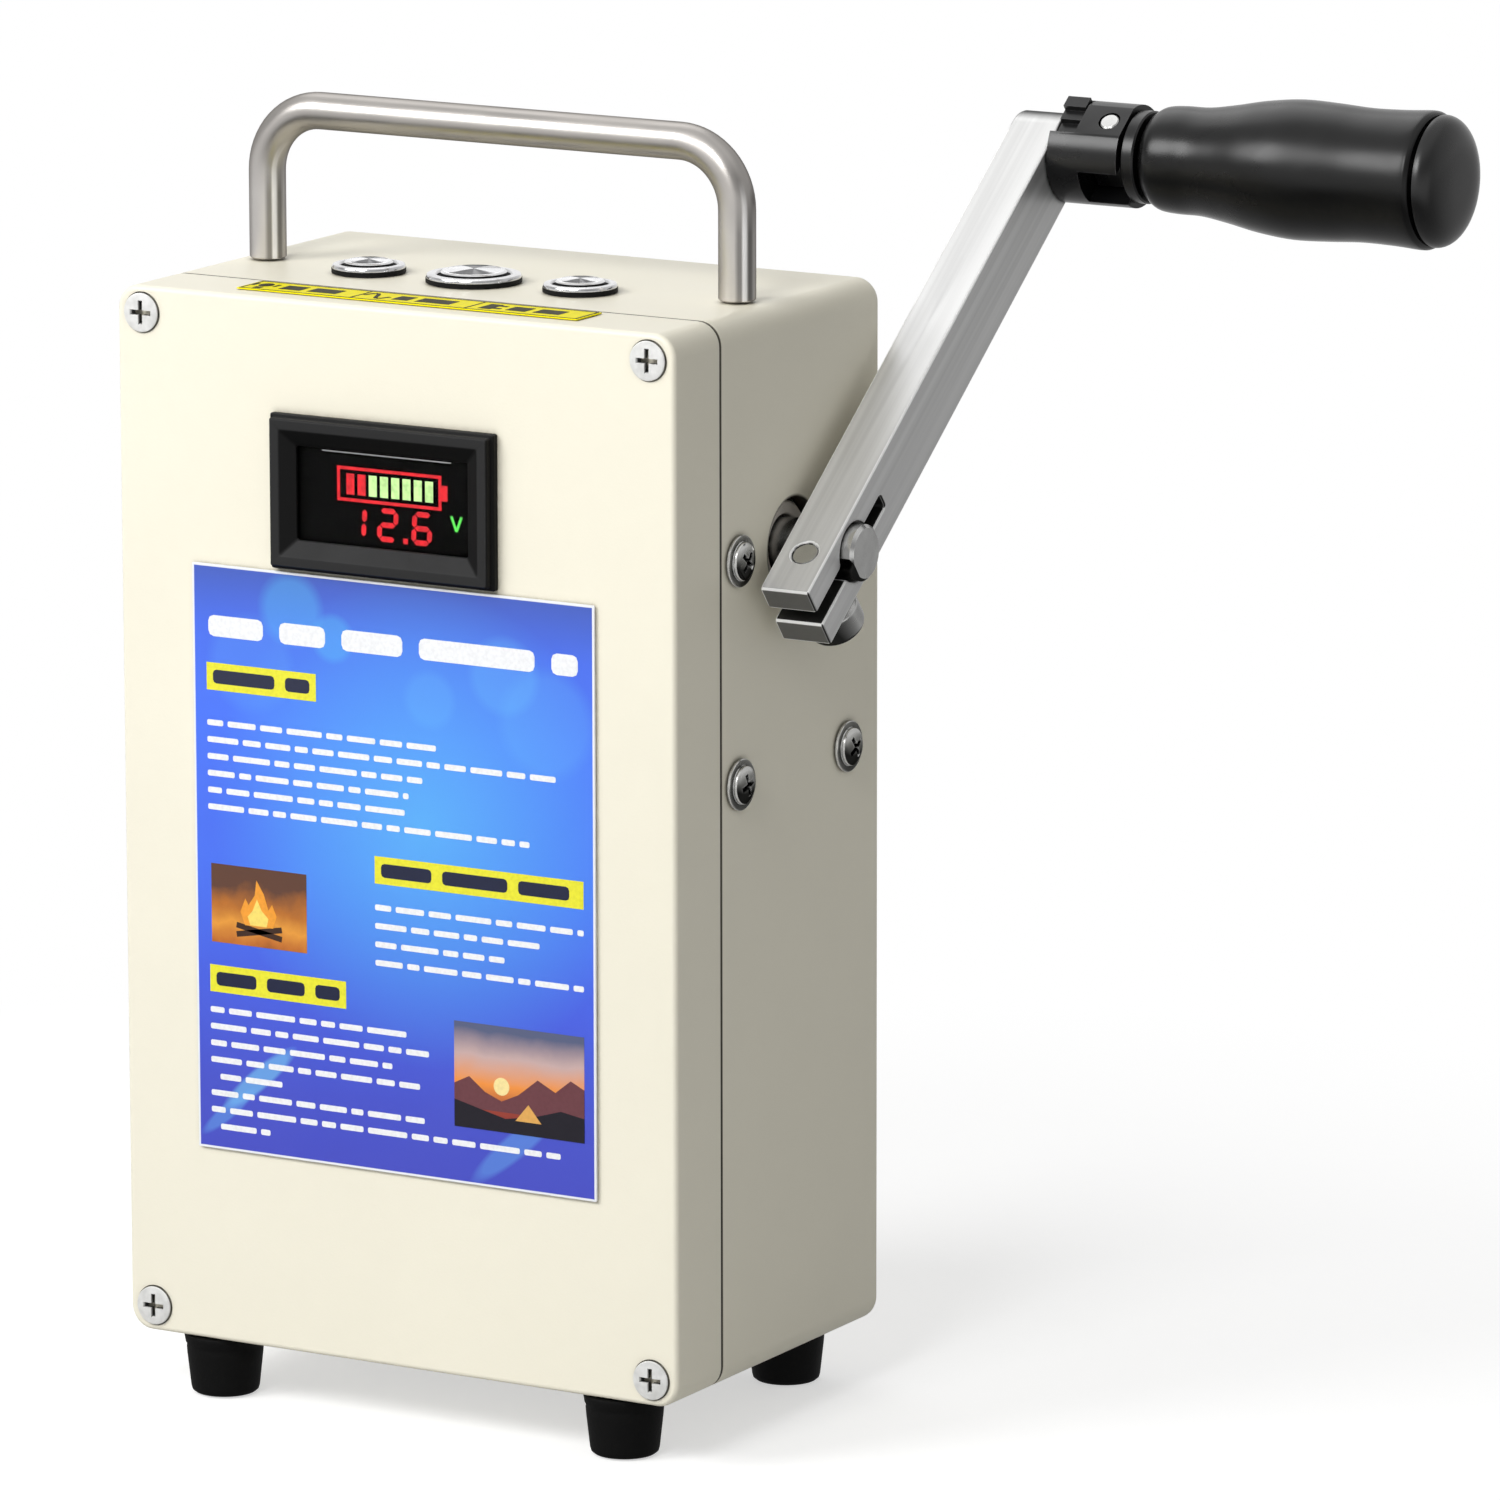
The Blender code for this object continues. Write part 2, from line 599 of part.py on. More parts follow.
def make_case_body():
    depth = CASE_BACK - BODY_RIM
    body = piece("case_body", cup(CASE_WIDTH, CASE_HEIGHT, CASE_CORNER, CASE_CORNER_INSIDE, CASE_WALL,
                                  CASE_WALL, depth, BACK_ROUND),
                 CREAM_PLASTIC, (0, CASE_BACK, CASE_MIDDLE), FRONTWARD)
    rear_feet = [place for place in foot_places() if place[1] > 0]
    post_y = BODY_RIM + POST_DROP
    additions = [(rod(POST_RADIUS, POST_LENGTH, SMALL_STEPS), placed((x, post_y, CASE_MIDDLE + z), BACKWARD))
                 for x, z in lid_screw_places()]
    additions += [foot_boss(x, y) for x, y in rear_feet]
    additions += [(rod(BOARD_POST_RADIUS, BOARD_STANDOFF + CASE_WALL / 2),
                   placed((x, CASE_BACK - CASE_WALL / 2, z), FRONTWARD)) for x, z in board_post_places()]
    fuse(body, additions)

    through = CASE_WALL + 2 * OVERRUN
    cutters = [(rod(LID_SCREW_SHANK + FIT_GAP, LID_SCREW_GRIP + OVERRUN),
                placed((x, BODY_RIM - OVERRUN / 2, CASE_MIDDLE + z), BACKWARD))
               for x, z in lid_screw_places()]
    cutters += [foot_screw_hole(x, y) for x, y in rear_feet]
    cutters += [(rod(barrel + FIT_GAP, through, ROUND_STEPS), placed((x, y, CASE_HEIGHT - CASE_WALL - OVERRUN)))
                for name, x, y, (collar, barrel, cap) in switch_places()]
    cutters += [(rod(HANDLE_SCREW_SHANK + FIT_GAP, through),
                 placed((side * HANDLE_SPAN / 2, 0, CASE_HEIGHT - CASE_WALL - OVERRUN)))
                for side in (-1, 1)]
    right = CASE_RIGHT - CASE_WALL - OVERRUN
    cutters += [(rod(SIDE_SCREW_SHANK + FIT_GAP, through), placed((right, y, z), RIGHTWARD))
                for y, z in side_screw_places()]
    cutters.append((rod(SHAFT_HOLE_RADIUS, through, ROUND_STEPS),
                    placed((right, SHAFT_Y, SHAFT_Z), RIGHTWARD)))
    left = -CASE_RIGHT - OVERRUN
    cutters.append((rod(JACK_RADIUS + FIT_GAP, through, SMALL_STEPS), placed((left, JACK_Y, JACK_Z), RIGHTWARD)))
    cutters.append((rod(LAMP_RADIUS + FIT_GAP, through, ROUND_STEPS), placed((left, SOCKET_COLUMN_Y, LAMP_Z), RIGHTWARD)))
    for width, height, z in ((OUTLET_BODY_WIDTH, OUTLET_BODY_HEIGHT, OUTLET_Z),
                             (USB_BODY_WIDTH, USB_BODY_HEIGHT, USB_Z)):
        cutters.append((block(width + 2 * FIT_GAP, height + 2 * FIT_GAP, through),
                        placed((left, SOCKET_COLUMN_Y, z), RIGHTWARD)))
    cutters.append((gasket_ring(FIT_GAP, GROOVE_DEPTH + OVERRUN),
                    placed((0, BODY_RIM + GROOVE_DEPTH, CASE_MIDDLE), FRONTWARD)))
    cutters.append((plate_field_groove(), placed((0, BODY_RIM + BODY_DEPTH / 2, -OVERRUN))))
    cut(body, cutters)


def gasket_ring(clearance, depth):
    """The ring that follows the middle of the case wall, wider by the clearance on both sides."""
    half_width = CASE_WALL * GASKET_SHARE / 2 + clearance
    outlines = []
    for offset in (half_width, -half_width):
        inset = CASE_WALL / 2 - offset
        outlines.append(rounded_rectangle(CASE_WIDTH - 2 * inset, CASE_HEIGHT - 2 * inset,
                                          (CASE_CORNER + CASE_CORNER_INSIDE) / 2 + offset))
    outer, inner = outlines
    return lofted([(outer, 0), (outer, depth), (inner, depth), (inner, 0)], closed=True)


def plate_field_groove():
    """The fine groove round the field for a rating plate, rising from local zero."""
    rise = PLATE_GROOVE_DEPTH + OVERRUN
    inner, outer = [
        [(side_x * (PLATE_FIELD_WIDTH / 2 + grow), side_y * (PLATE_FIELD_DEPTH / 2 + grow))
         for side_x, side_y in ((1, 1), (-1, 1), (-1, -1), (1, -1))] for grow in (0, PLATE_GROOVE)]
    return lofted([(outer, 0), (outer, rise), (inner, rise), (inner, 0)], closed=True)


def make_lid_gasket():
    thickness = GROOVE_DEPTH - 2 * FIT_GAP
    piece("lid_gasket", gasket_ring(0, thickness), BLACK_RUBBER,
          (0, BODY_RIM + GROOVE_DEPTH - FIT_GAP, CASE_MIDDLE), FRONTWARD)


def make_case_lid():
    lid = piece("case_lid", cup(CASE_WIDTH, CASE_HEIGHT, CASE_CORNER, CASE_CORNER_INSIDE, CASE_WALL,
                                CASE_WALL, LID_DEPTH, LID_ROUND),
                CREAM_PLASTIC, (0, CASE_FRONT, CASE_MIDDLE), BACKWARD)
    front_feet = [place for place in foot_places() if place[1] < 0]
    post_start = CASE_FRONT + CASE_WALL / 2
    additions = [(rod(POST_RADIUS, LID_RIM - POST_DROP - post_start),
                  placed((x, post_start, CASE_MIDDLE + z), BACKWARD)) for x, z in lid_screw_places()]
    additions += [foot_boss(x, y) for x, y in front_feet]
    fuse(lid, additions)

    head = LID_SCREW_HEAD + FIT_GAP
    shank = LID_SCREW_SHANK + FIT_GAP
    sink = [(0, -OVERRUN), (head, -OVERRUN), (head, 0), (shank, head - shank),
            (shank, LID_DEPTH + OVERRUN), (0, LID_DEPTH + OVERRUN)]
    cutters = [(turned(sink), placed((x, CASE_FRONT, CASE_MIDDLE + z), BACKWARD))
               for x, z in lid_screw_places()]
    cutters += [foot_screw_hole(x, y) for x, y in front_feet]
    body_width, body_height = meter_body_size()
    cutters.append((block(body_width + 2 * FIT_GAP, body_height + 2 * FIT_GAP, CASE_WALL + 2 * OVERRUN),
                    placed((METER_X, CASE_FRONT - OVERRUN, METER_Z), BACKWARD)))
    cut(lid, cutters)


def make_lid_screws():
    length = LID_DEPTH + LID_SCREW_GRIP - OVERRUN
    taper = LID_SCREW_HEAD - LID_SCREW_SHANK
    for number, (x, z) in enumerate(lid_screw_places(), 1):
        screw = piece("lid_screw_%d" % number,
                      turned([(0, 0), (LID_SCREW_HEAD, 0), (LID_SCREW_SHANK, taper),
                              (LID_SCREW_SHANK, length), (0, length)], SCREW_STEPS),
                      ZINC_STEEL, (x, CASE_FRONT, CASE_MIDDLE + z), BACKWARD)
        cut(screw, [(cross_recess(LID_SCREW_HEAD, CROSS_DEPTH),
                     placed((x, CASE_FRONT, CASE_MIDDLE + z), FRONTWARD))])


def make_feet():
    bore = FOOT_SCREW_SHANK + FIT_GAP
    profile = [(bore, -FIT_GAP), (FOOT_TOP_RADIUS - FOOT_EDGE, -FIT_GAP),
               (FOOT_TOP_RADIUS, -FIT_GAP - FOOT_EDGE),
               (FOOT_BOTTOM_RADIUS, FOOT_EDGE - FOOT_HEIGHT), (FOOT_BOTTOM_RADIUS - FOOT_EDGE, -FOOT_HEIGHT),
               (FOOT_RECESS_RADIUS, -FOOT_HEIGHT), (FOOT_RECESS_RADIUS, FOOT_RECESS_DEPTH - FOOT_HEIGHT),
               (bore, FOOT_RECESS_DEPTH - FOOT_HEIGHT)]
    head_top = FOOT_RECESS_DEPTH - FOOT_HEIGHT - FIT_GAP
    head_bottom = head_top - FOOT_SCREW_HEAD_HEIGHT
    tip = CASE_WALL + FOOT_BOSS_HEIGHT - FIT_GAP
    screw = [(0, tip), (FOOT_SCREW_SHANK, tip), (FOOT_SCREW_SHANK, head_top), (FOOT_SCREW_HEAD, head_top),
             (FOOT_SCREW_HEAD, head_bottom), (0, head_bottom)]
    for number, (x, y) in enumerate(foot_places(), 1):
        piece("foot_%d" % number, turned(profile), BLACK_RUBBER, (x, y, 0))
        fixing = piece("foot_screw_%d" % number, turned(screw, SCREW_STEPS), ZINC_STEEL, (x, y, 0))
        cut(fixing, [(cross_recess(FOOT_SCREW_HEAD, CROSS_DEPTH), placed((x, y, head_bottom), DOWNWARD))])


# Carry handle
def handle_path():
    """Centre line from one leg's foot to the other: points, and how far the line has turned from upright."""
    half = HANDLE_SPAN / 2
    foot = CASE_HEIGHT + FIT_GAP
    top = CASE_HEIGHT + HANDLE_RISE
    rising = [(-half, foot, 0)]
    for step in range(HANDLE_BEND_STEPS + 1):
        turn = math.pi / 2 * step / HANDLE_BEND_STEPS
        rising.append((-half + HANDLE_BEND * (1 - math.cos(turn)), top - HANDLE_BEND * (1 - math.sin(turn)),
                       turn))
    falling = [(-x, z, math.pi - turn) for x, z, turn in reversed(rising)]
    return rising + falling


def make_carry_handle():
    """Rings along the rod; at both feet the skin turns into the tapped bore for the screw."""
    path = handle_path()
    bore = HANDLE_SCREW_SHANK + FIT_GAP
    stations = [(x, z, turn, HANDLE_RADIUS) for x, z, turn in path]
    for x, z, turn in (path[0], path[-1]):
        stations.insert(0, (x, z, turn, bore))
        stations.insert(0, (x, z + HANDLE_BORE_DEPTH, turn, bore))
        stations.reverse()
    mesh = bmesh.new()
    rings = []
    for x, z, turn, radius in stations:
        ring = []
        for step in range(SMALL_STEPS):
            angle = math.tau * step / SMALL_STEPS
            across = radius * math.cos(angle)
            ring.append(mesh.verts.new((x + across * math.cos(turn), radius * math.sin(angle),
                                        z - across * math.sin(turn))))
        rings.append(ring)
    mesh.faces.new(rings[0])
    mesh.faces.new(rings[-1])
    for lower, upper in zip(rings, rings[1:]):
        for index, vert in enumerate(lower):
            following = (index + 1) % len(lower)
            mesh.faces.new((vert, lower[following], upper[following], upper[index]))
    bmesh.ops.recalc_face_normals(mesh, faces=mesh.faces)
    piece("carry_handle", mesh, STAINLESS)

    under = CASE_HEIGHT - CASE_WALL - FIT_GAP
    tip = CASE_HEIGHT + HANDLE_BORE_DEPTH - FIT_GAP - under
    screw = [(0, -HANDLE_SCREW_HEAD_HEIGHT), (HANDLE_SCREW_HEAD, -HANDLE_SCREW_HEAD_HEIGHT),
             (HANDLE_SCREW_HEAD, 0), (HANDLE_SCREW_SHANK, 0), (HANDLE_SCREW_SHANK, tip), (0, tip)]
    for name, side in (("left", -1), ("right", 1)):
        piece("handle_screw_" + name, turned(screw, SCREW_STEPS), ZINC_STEEL, (side * HANDLE_SPAN / 2, 0, under))


# Panel meter, labels and switches
def meter_body_size():
    flange = METER_FLANGE + METER_STEP
    return METER_WIDTH - 2 * flange, METER_HEIGHT - 2 * flange


def make_meter():
    front = METER_PROUD
    body_width, body_height = meter_body_size()
    opening = METER_RIM + METER_CHAMFER
    inside = METER_BODY_WALL + METER_FLANGE + METER_STEP
    lip_back = front - METER_CHAMFER_DEPTH - METER_LIP
    back = -METER_BODY_DEPTH
    middle = (METER_PROUD + FIT_GAP) / 2
    sections = [((0, METER_CORNER), FIT_GAP), ((0, METER_CORNER), middle),
                ((METER_STEP, METER_CORNER), middle), ((METER_STEP, METER_CORNER), front),
                ((METER_RIM, METER_CORNER), front), ((opening, METER_CORNER), front - METER_CHAMFER_DEPTH),
                ((opening, METER_CORNER), lip_back), ((inside, METER_CORNER), lip_back),
                ((inside, METER_CORNER), back)]
    rings = [(rounded_rectangle(METER_WIDTH - 2 * inset, METER_HEIGHT - 2 * inset, corner), height)
             for (inset, corner), height in sections]
    body = rounded_rectangle(body_width, body_height, METER_CORNER)
    rings += [(body, back), (body, FIT_GAP)]
    location = (METER_X, CASE_FRONT, METER_Z)
    piece("meter_bezel", lofted(rings, closed=True), BLACK_PLASTIC, location, FRONTWARD)

    plate_width = METER_WIDTH - 2 * (inside + FIT_GAP)
    plate_height = METER_HEIGHT - 2 * (inside + FIT_GAP)
    plate = rounded_rectangle(plate_width, plate_height, METER_CORNER)
    window_back = lip_back - FIT_GAP - METER_WINDOW_THICKNESS
    piece("meter_window", prism(plate, METER_WINDOW_THICKNESS), DISPLAY_GLASS,
          (METER_X, CASE_FRONT - window_back, METER_Z), FRONTWARD)
    display_back = window_back - FIT_GAP - METER_DISPLAY_THICKNESS
    piece("meter_display", prism(plate, METER_DISPLAY_THICKNESS), BLACK_PLASTIC,
          (METER_X, CASE_FRONT - display_back, METER_Z), FRONTWARD)


def make_labels():
    top = METER_Z - METER_HEIGHT / 2 - LABEL_DROP
    piece("front_label", block(LABEL_WIDTH, LABEL_HEIGHT, LABEL_THICKNESS), LABEL_BLUE,
          (LABEL_X, CASE_FRONT - FIT_GAP, top - LABEL_HEIGHT / 2), FRONTWARD)
    piece("switch_label", block(SWITCH_LABEL_WIDTH, SWITCH_LABEL_DEPTH, LABEL_THICKNESS), LABEL_YELLOW,
          (LABEL_X, CASE_FRONT + SWITCH_LABEL_BACKSET + SWITCH_LABEL_DEPTH / 2, CASE_HEIGHT + FIT_GAP))


def make_switches():
    well = CAP_LENGTH - COLLAR_HEIGHT - CAP_PROUD + CAP_TRAVEL + RUN_GAP
    for name, x, y, (collar, barrel, cap) in switch_places():
        bore = cap + RUN_GAP
        inner_edge = min(COLLAR_BEVEL, (collar - bore) / 2)
        profile = [(0, -well), (bore, -well), (bore, COLLAR_HEIGHT), (collar - inner_edge, COLLAR_HEIGHT),
                   (collar, FIT_GAP + COLLAR_HEIGHT / 3), (collar, FIT_GAP), (barrel, FIT_GAP),
                   (barrel, -BARREL_LENGTH), (SWITCH_TERMINAL, -BARREL_LENGTH),
                   (SWITCH_TERMINAL, -BARREL_LENGTH - SWITCH_TERMINAL_LENGTH),
                   (0, -BARREL_LENGTH - SWITCH_TERMINAL_LENGTH)]
        piece(name + "_switch", turned(profile, ROUND_STEPS), BRIGHT_CHROME, (x, y, CASE_HEIGHT))
        piece(name + "_button", edged_rod(cap, CAP_LENGTH, CAP_EDGE, ROUND_STEPS), BRIGHT_CHROME,
              (x, y, CASE_HEIGHT + COLLAR_HEIGHT + CAP_PROUD - CAP_LENGTH))


# Crank: built upright about its shaft, and leant back by one empty on the shaft's axis
def make_crank_frame():
    frame = bpy.data.objects.new("crank_frame", None)
    frame.location = (0, SHAFT_Y, SHAFT_Z)
    frame.rotation_euler = (-CRANK_ANGLE, 0, 0)
    bpy.context.scene.collection.objects.link(frame)
    return frame


def make_crank_arm(frame):
    half = ARM_WIDTH / 2
    outline = [(-half, -ARM_TAIL), (half, -ARM_TAIL)]
    for step in range(ARM_ROUND_STEPS + 1):
        angle = math.pi * step / ARM_ROUND_STEPS
        outline.append((half * math.cos(angle), ARM_THROW + half * math.sin(angle)))
    arm = piece("crank_arm", prism(outline, ARM_THICKNESS), BRUSHED_ALUMINIUM, (ARM_INNER, 0, 0),
                RIGHTWARD, frame)
    bevel = arm.modifiers.new("edge", "BEVEL")
    bevel.width = ARM_EDGE
    bevel.segments = 1
    bevel.limit_method = "ANGLE"
    bevel.angle_limit = SHARP_ANGLE
    through = ARM_THICKNESS + 2 * OVERRUN
    start = ARM_INNER - OVERRUN
    slot_height = ARM_TAIL + OVERRUN + CLAMP_SLOT_END
    slot_middle = CLAMP_SLOT_END - slot_height / 2
    cut(arm, [(block(CLAMP_SLOT, slot_height, through), placed((start, 0, slot_middle), RIGHTWARD)),
              (rod(BOLT_SHANK + FIT_GAP, through), placed((start, 0, ARM_THROW), RIGHTWARD))], frame)
    shaped(arm, "DIFFERENCE", "_shaft_bore",
           [(rod(SHAFT_BORE, through, ROUND_STEPS), placed((start, 0, 0), RIGHTWARD))], frame)
    shaped(arm, "DIFFERENCE", "_clamp_bore",
           [(rod(CLAMP_RADIUS + FIT_GAP, ARM_WIDTH + 2 * OVERRUN),
             placed((ARM_CENTRE, -half - OVERRUN, -CLAMP_STATION), BACKWARD))], frame)


def make_clamp_bolt(frame):
    seat = ARM_WIDTH + FIT_GAP
    top = seat + CLAMP_HEAD_HEIGHT
    profile = [(0, CLAMP_SUNK), (CLAMP_RADIUS, CLAMP_SUNK), (CLAMP_RADIUS, seat), (CLAMP_HEAD_RADIUS - CLAMP_HEAD_EDGE, seat),
               (CLAMP_HEAD_RADIUS, seat + CLAMP_HEAD_EDGE), (CLAMP_HEAD_RADIUS, top - CLAMP_HEAD_EDGE),
               (CLAMP_HEAD_RADIUS - CLAMP_HEAD_EDGE, top), (0, top)]
    piece("clamp_bolt", turned(profile, SMALL_STEPS), STAINLESS, (ARM_CENTRE, -ARM_WIDTH / 2, -CLAMP_STATION),
          BACKWARD, frame)


def make_drive_shaft(frame):
    start = MAIN_GEAR_X
    end = ARM_OUTER + SHAFT_PROUD
    shaft = piece("drive_shaft", edged_rod(SHAFT_RADIUS, end - start, SHAFT_EDGE, ROUND_STEPS), STAINLESS,
                  (start, 0, 0), RIGHTWARD, frame)
    flat_depth = SHAFT_RADIUS - SHAFT_FLAT + OVERRUN
    flat_start = ARM_INNER - FIT_GAP
    cut(shaft, [(block(2 * SHAFT_RADIUS + OVERRUN, flat_depth, end - flat_start + OVERRUN),
                 placed((flat_start, 0, -SHAFT_FLAT - flat_depth / 2), RIGHTWARD))], frame)


def bracket_start():
    return ARM_OUTER + FIT_GAP


def make_grip_bracket(frame):
    start = bracket_start()
    end = start + BRACKET_LENGTH
    body = piece("grip_bracket",
                 turned([(0, 0), (BRACKET_RADIUS - BRACKET_EDGE, 0), (BRACKET_RADIUS, BRACKET_EDGE),
                         (BRACKET_RADIUS, BRACKET_LENGTH - BRACKET_EDGE),
                         (BRACKET_RADIUS - BRACKET_EDGE, BRACKET_LENGTH), (0, BRACKET_LENGTH)], ROUND_STEPS),
                 GLOSS_BLACK, (start, 0, ARM_THROW), RIGHTWARD, frame)
    reach = BRACKET_RADIUS + OVERRUN
    flat = BRACKET_RADIUS - BRACKET_FLAT_DEPTH
    fork_start = end - FORK_DEPTH
    fork_height = FORK_TOP + reach
    long_cut = BRACKET_LENGTH + 2 * OVERRUN
    cutters = []
    for side in (-1, 1):
        cutters.append((block(reach - flat, 2 * reach, long_cut),
                        placed((start - OVERRUN, side * (flat + reach) / 2, ARM_THROW), RIGHTWARD)))
    cut(body, cutters, frame)
    pocket_floor = flat - POCKET_DEPTH
    pocket_low = math.sqrt(BRACKET_RADIUS ** 2 - flat ** 2)
    pocket_height = pocket_low + reach
    shaped(body, "DIFFERENCE", "_pocket",
           [(block(POCKET_LENGTH + OVERRUN, pocket_height, reach - pocket_floor),
             placed((start + (POCKET_LENGTH - OVERRUN) / 2, -pocket_floor,
                     ARM_THROW - pocket_low + pocket_height / 2), FRONTWARD))], frame)
    half_step = (flat + pocket_floor) / 2
    steps = [(-pocket_floor / 2, STEP_LOW), (-pocket_floor / 2, STEP_END), (-flat, STEP_END),
             (-flat, STEP_MIDDLE), (-half_step, STEP_MIDDLE), (-half_step, STEP_LOW)]
    fuse(body, [(prism(steps, STEP_LENGTH), placed((start, 0, ARM_THROW), RIGHTWARD))], frame)
    others = [(block(FORK_WIDTH, fork_height, FORK_DEPTH + OVERRUN),
               placed((fork_start, 0, ARM_THROW + FORK_TOP - fork_height / 2), RIGHTWARD)),
              (rod(BOLT_SHANK + FIT_GAP, BOLT_REACH + FIT_GAP + OVERRUN),
               placed((start - OVERRUN, 0, ARM_THROW), RIGHTWARD))]
    shaped(body, "DIFFERENCE", "_slots", others, frame)
    shaped(body, "DIFFERENCE", "_pin_bore",
           [(rod(CROSS_PIN_RADIUS + FIT_GAP, 2 * reach),
             placed((end - CROSS_PIN_INSET, reach, ARM_THROW), FRONTWARD))], frame)


def make_bracket_bolt(frame):
    head_top = -FIT_GAP
    tip = ARM_THICKNESS + FIT_GAP + BOLT_REACH
    profile = [(0, head_top - BOLT_HEAD_HEIGHT), (BOLT_HEAD_RADIUS - ARM_EDGE, head_top - BOLT_HEAD_HEIGHT),
               (BOLT_HEAD_RADIUS, head_top - BOLT_HEAD_HEIGHT + ARM_EDGE), (BOLT_HEAD_RADIUS, head_top),
               (BOLT_SHANK, head_top), (BOLT_SHANK, tip), (0, tip)]
    piece("bracket_bolt", turned(profile), STAINLESS, (ARM_INNER, 0, ARM_THROW), RIGHTWARD, frame)


def make_cross_pin(frame):
    half_length = BRACKET_RADIUS - BRACKET_FLAT_DEPTH
    piece("cross_pin", rod(CROSS_PIN_RADIUS, 2 * half_length), BRIGHT_CHROME,
          (bracket_start() + BRACKET_LENGTH - CROSS_PIN_INSET, half_length, ARM_THROW), FRONTWARD, frame)


def neck_start():
    return bracket_start() + BRACKET_LENGTH + FIT_GAP


def grip_start():
    return neck_start() + NECK_LENGTH + FIT_GAP


def make_grip_spindle(frame):
    start = neck_start()
    length = NECK_LENGTH + 2 * FIT_GAP + GRIP_LENGTH - GRIP_POCKET_DEPTH
    profile = [(0, 0), (NECK_RADIUS, 0), (NECK_RADIUS, NECK_LENGTH), (SPINDLE_RADIUS, NECK_LENGTH),
               (SPINDLE_RADIUS, length), (0, length)]
    spindle = piece("grip_spindle", turned(profile, ROUND_STEPS), GLOSS_BLACK, (start, 0, ARM_THROW),
                    RIGHTWARD, frame)
    tongue_width = FORK_WIDTH - 2 * FIT_GAP
    tongue_start = start - FIT_GAP - FORK_DEPTH + FIT_GAP
    tongue_length = start + NECK_LENGTH / 2 - tongue_start
    tongue_height = 2 * (FORK_TOP - FIT_GAP)
    fuse(spindle, [(block(tongue_width, tongue_height, tongue_length),
                    placed((tongue_start, 0, ARM_THROW), RIGHTWARD))], frame)
    pin_x = bracket_start() + BRACKET_LENGTH - CROSS_PIN_INSET
    screw_room = SPINDLE_SCREW_LENGTH + FIT_GAP
    cut(spindle, [(rod(CROSS_PIN_RADIUS + FIT_GAP, tongue_width + 2 * OVERRUN),
                   placed((pin_x, tongue_width / 2 + OVERRUN, ARM_THROW), FRONTWARD)),
                  (rod(SPINDLE_SCREW_SHANK + FIT_GAP, screw_room + OVERRUN),
                   placed((start + length - screw_room, 0, ARM_THROW), RIGHTWARD))], frame)
    head_end = FIT_GAP + SPINDLE_SCREW_HEAD_HEIGHT
    screw = [(0, -SPINDLE_SCREW_LENGTH), (SPINDLE_SCREW_SHANK, -SPINDLE_SCREW_LENGTH),
             (SPINDLE_SCREW_SHANK, FIT_GAP), (SPINDLE_SCREW_HEAD, FIT_GAP), (SPINDLE_SCREW_HEAD, head_end),
             (0, head_end)]
    piece("spindle_screw", turned(screw, SCREW_STEPS), ZINC_STEEL, (start + length, 0, ARM_THROW), RIGHTWARD, frame)


def make_grip(frame):
    bore = SPINDLE_RADIUS + RUN_GAP
    outline = [(bore, 0), (GRIP_START_RADIUS - FIT_GAP, 0)]
    outline += [(GRIP_RADIUS * radius_share, GRIP_LENGTH * place_share)
                for place_share, radius_share in GRIP_PROFILE_SHARES]
    pocket = GRIP_LENGTH - GRIP_POCKET_DEPTH
    outline += [(GRIP_POCKET_RADIUS, GRIP_LENGTH), (GRIP_POCKET_RADIUS, pocket), (bore, pocket)]
    piece("grip_sleeve", turned(outline, ROUND_STEPS), GLOSS_BLACK, (grip_start(), 0, ARM_THROW), RIGHTWARD,
          frame)
    plug = GRIP_POCKET_RADIUS - FIT_GAP
    neck = (plug + GRIP_CAP_RADIUS) / 2
    cap = [(0, -GRIP_CAP_PLUG), (plug, -GRIP_CAP_PLUG), (plug, FIT_GAP), (neck, FIT_GAP),
           (neck, GRIP_CAP_GROOVE)]
    for step in range(GRIP_CAP_STEPS + 1):
        angle = math.pi / 2 * step / GRIP_CAP_STEPS
        cap.append((GRIP_CAP_RADIUS * math.cos(angle), GRIP_CAP_GROOVE + GRIP_CAP_HEIGHT * math.sin(angle)))
    cap[-1] = (0, GRIP_CAP_GROOVE + GRIP_CAP_HEIGHT)
    piece("grip_cap", turned(cap, ROUND_STEPS), GLOSS_BLACK, (grip_start() + GRIP_LENGTH, 0, ARM_THROW),
          RIGHTWARD, frame)


# Gearbox
def involute(angle):
    return math.tan(angle) - angle


def gear_outline(teeth):
    """Involute teeth; a tooth sits on local +X unless the wheel is turned by half a pitch."""
    pitch_radius = GEAR_MODULE * teeth / 2
    base_radius = pitch_radius * math.cos(PRESSURE_ANGLE)
    tip_radius = pitch_radius + GEAR_MODULE * TOOTH_ADDENDUM_SHARE
    root_radius = pitch_radius - GEAR_MODULE * TOOTH_DEDENDUM_SHARE
    half_tooth = (math.pi * GEAR_MODULE / 2 - TOOTH_BACKLASH) / 2 / pitch_radius
    low = max(base_radius, root_radius)
    flank = []
    for step in range(TOOTH_FLANK_STEPS + 1):
        radius = low + (tip_radius - low) * step / TOOTH_FLANK_STEPS
        slope = math.acos(min(1, base_radius / radius))
        flank.append((radius, half_tooth + involute(PRESSURE_ANGLE) - involute(slope)))
    if root_radius < low:
        flank.insert(0, (root_radius, flank[0][1]))
    points = []
    for tooth in range(teeth):
        centre = math.tau * tooth / teeth
        for radius, half_angle in flank:
            points.append((radius * math.cos(centre - half_angle), radius * math.sin(centre - half_angle)))
        for radius, half_angle in reversed(flank):
            points.append((radius * math.cos(centre + half_angle), radius * math.sin(centre + half_angle)))
    return points


def half_pitch_turn(teeth):
    return Matrix.Rotation(math.pi / teeth, 4, "Z")


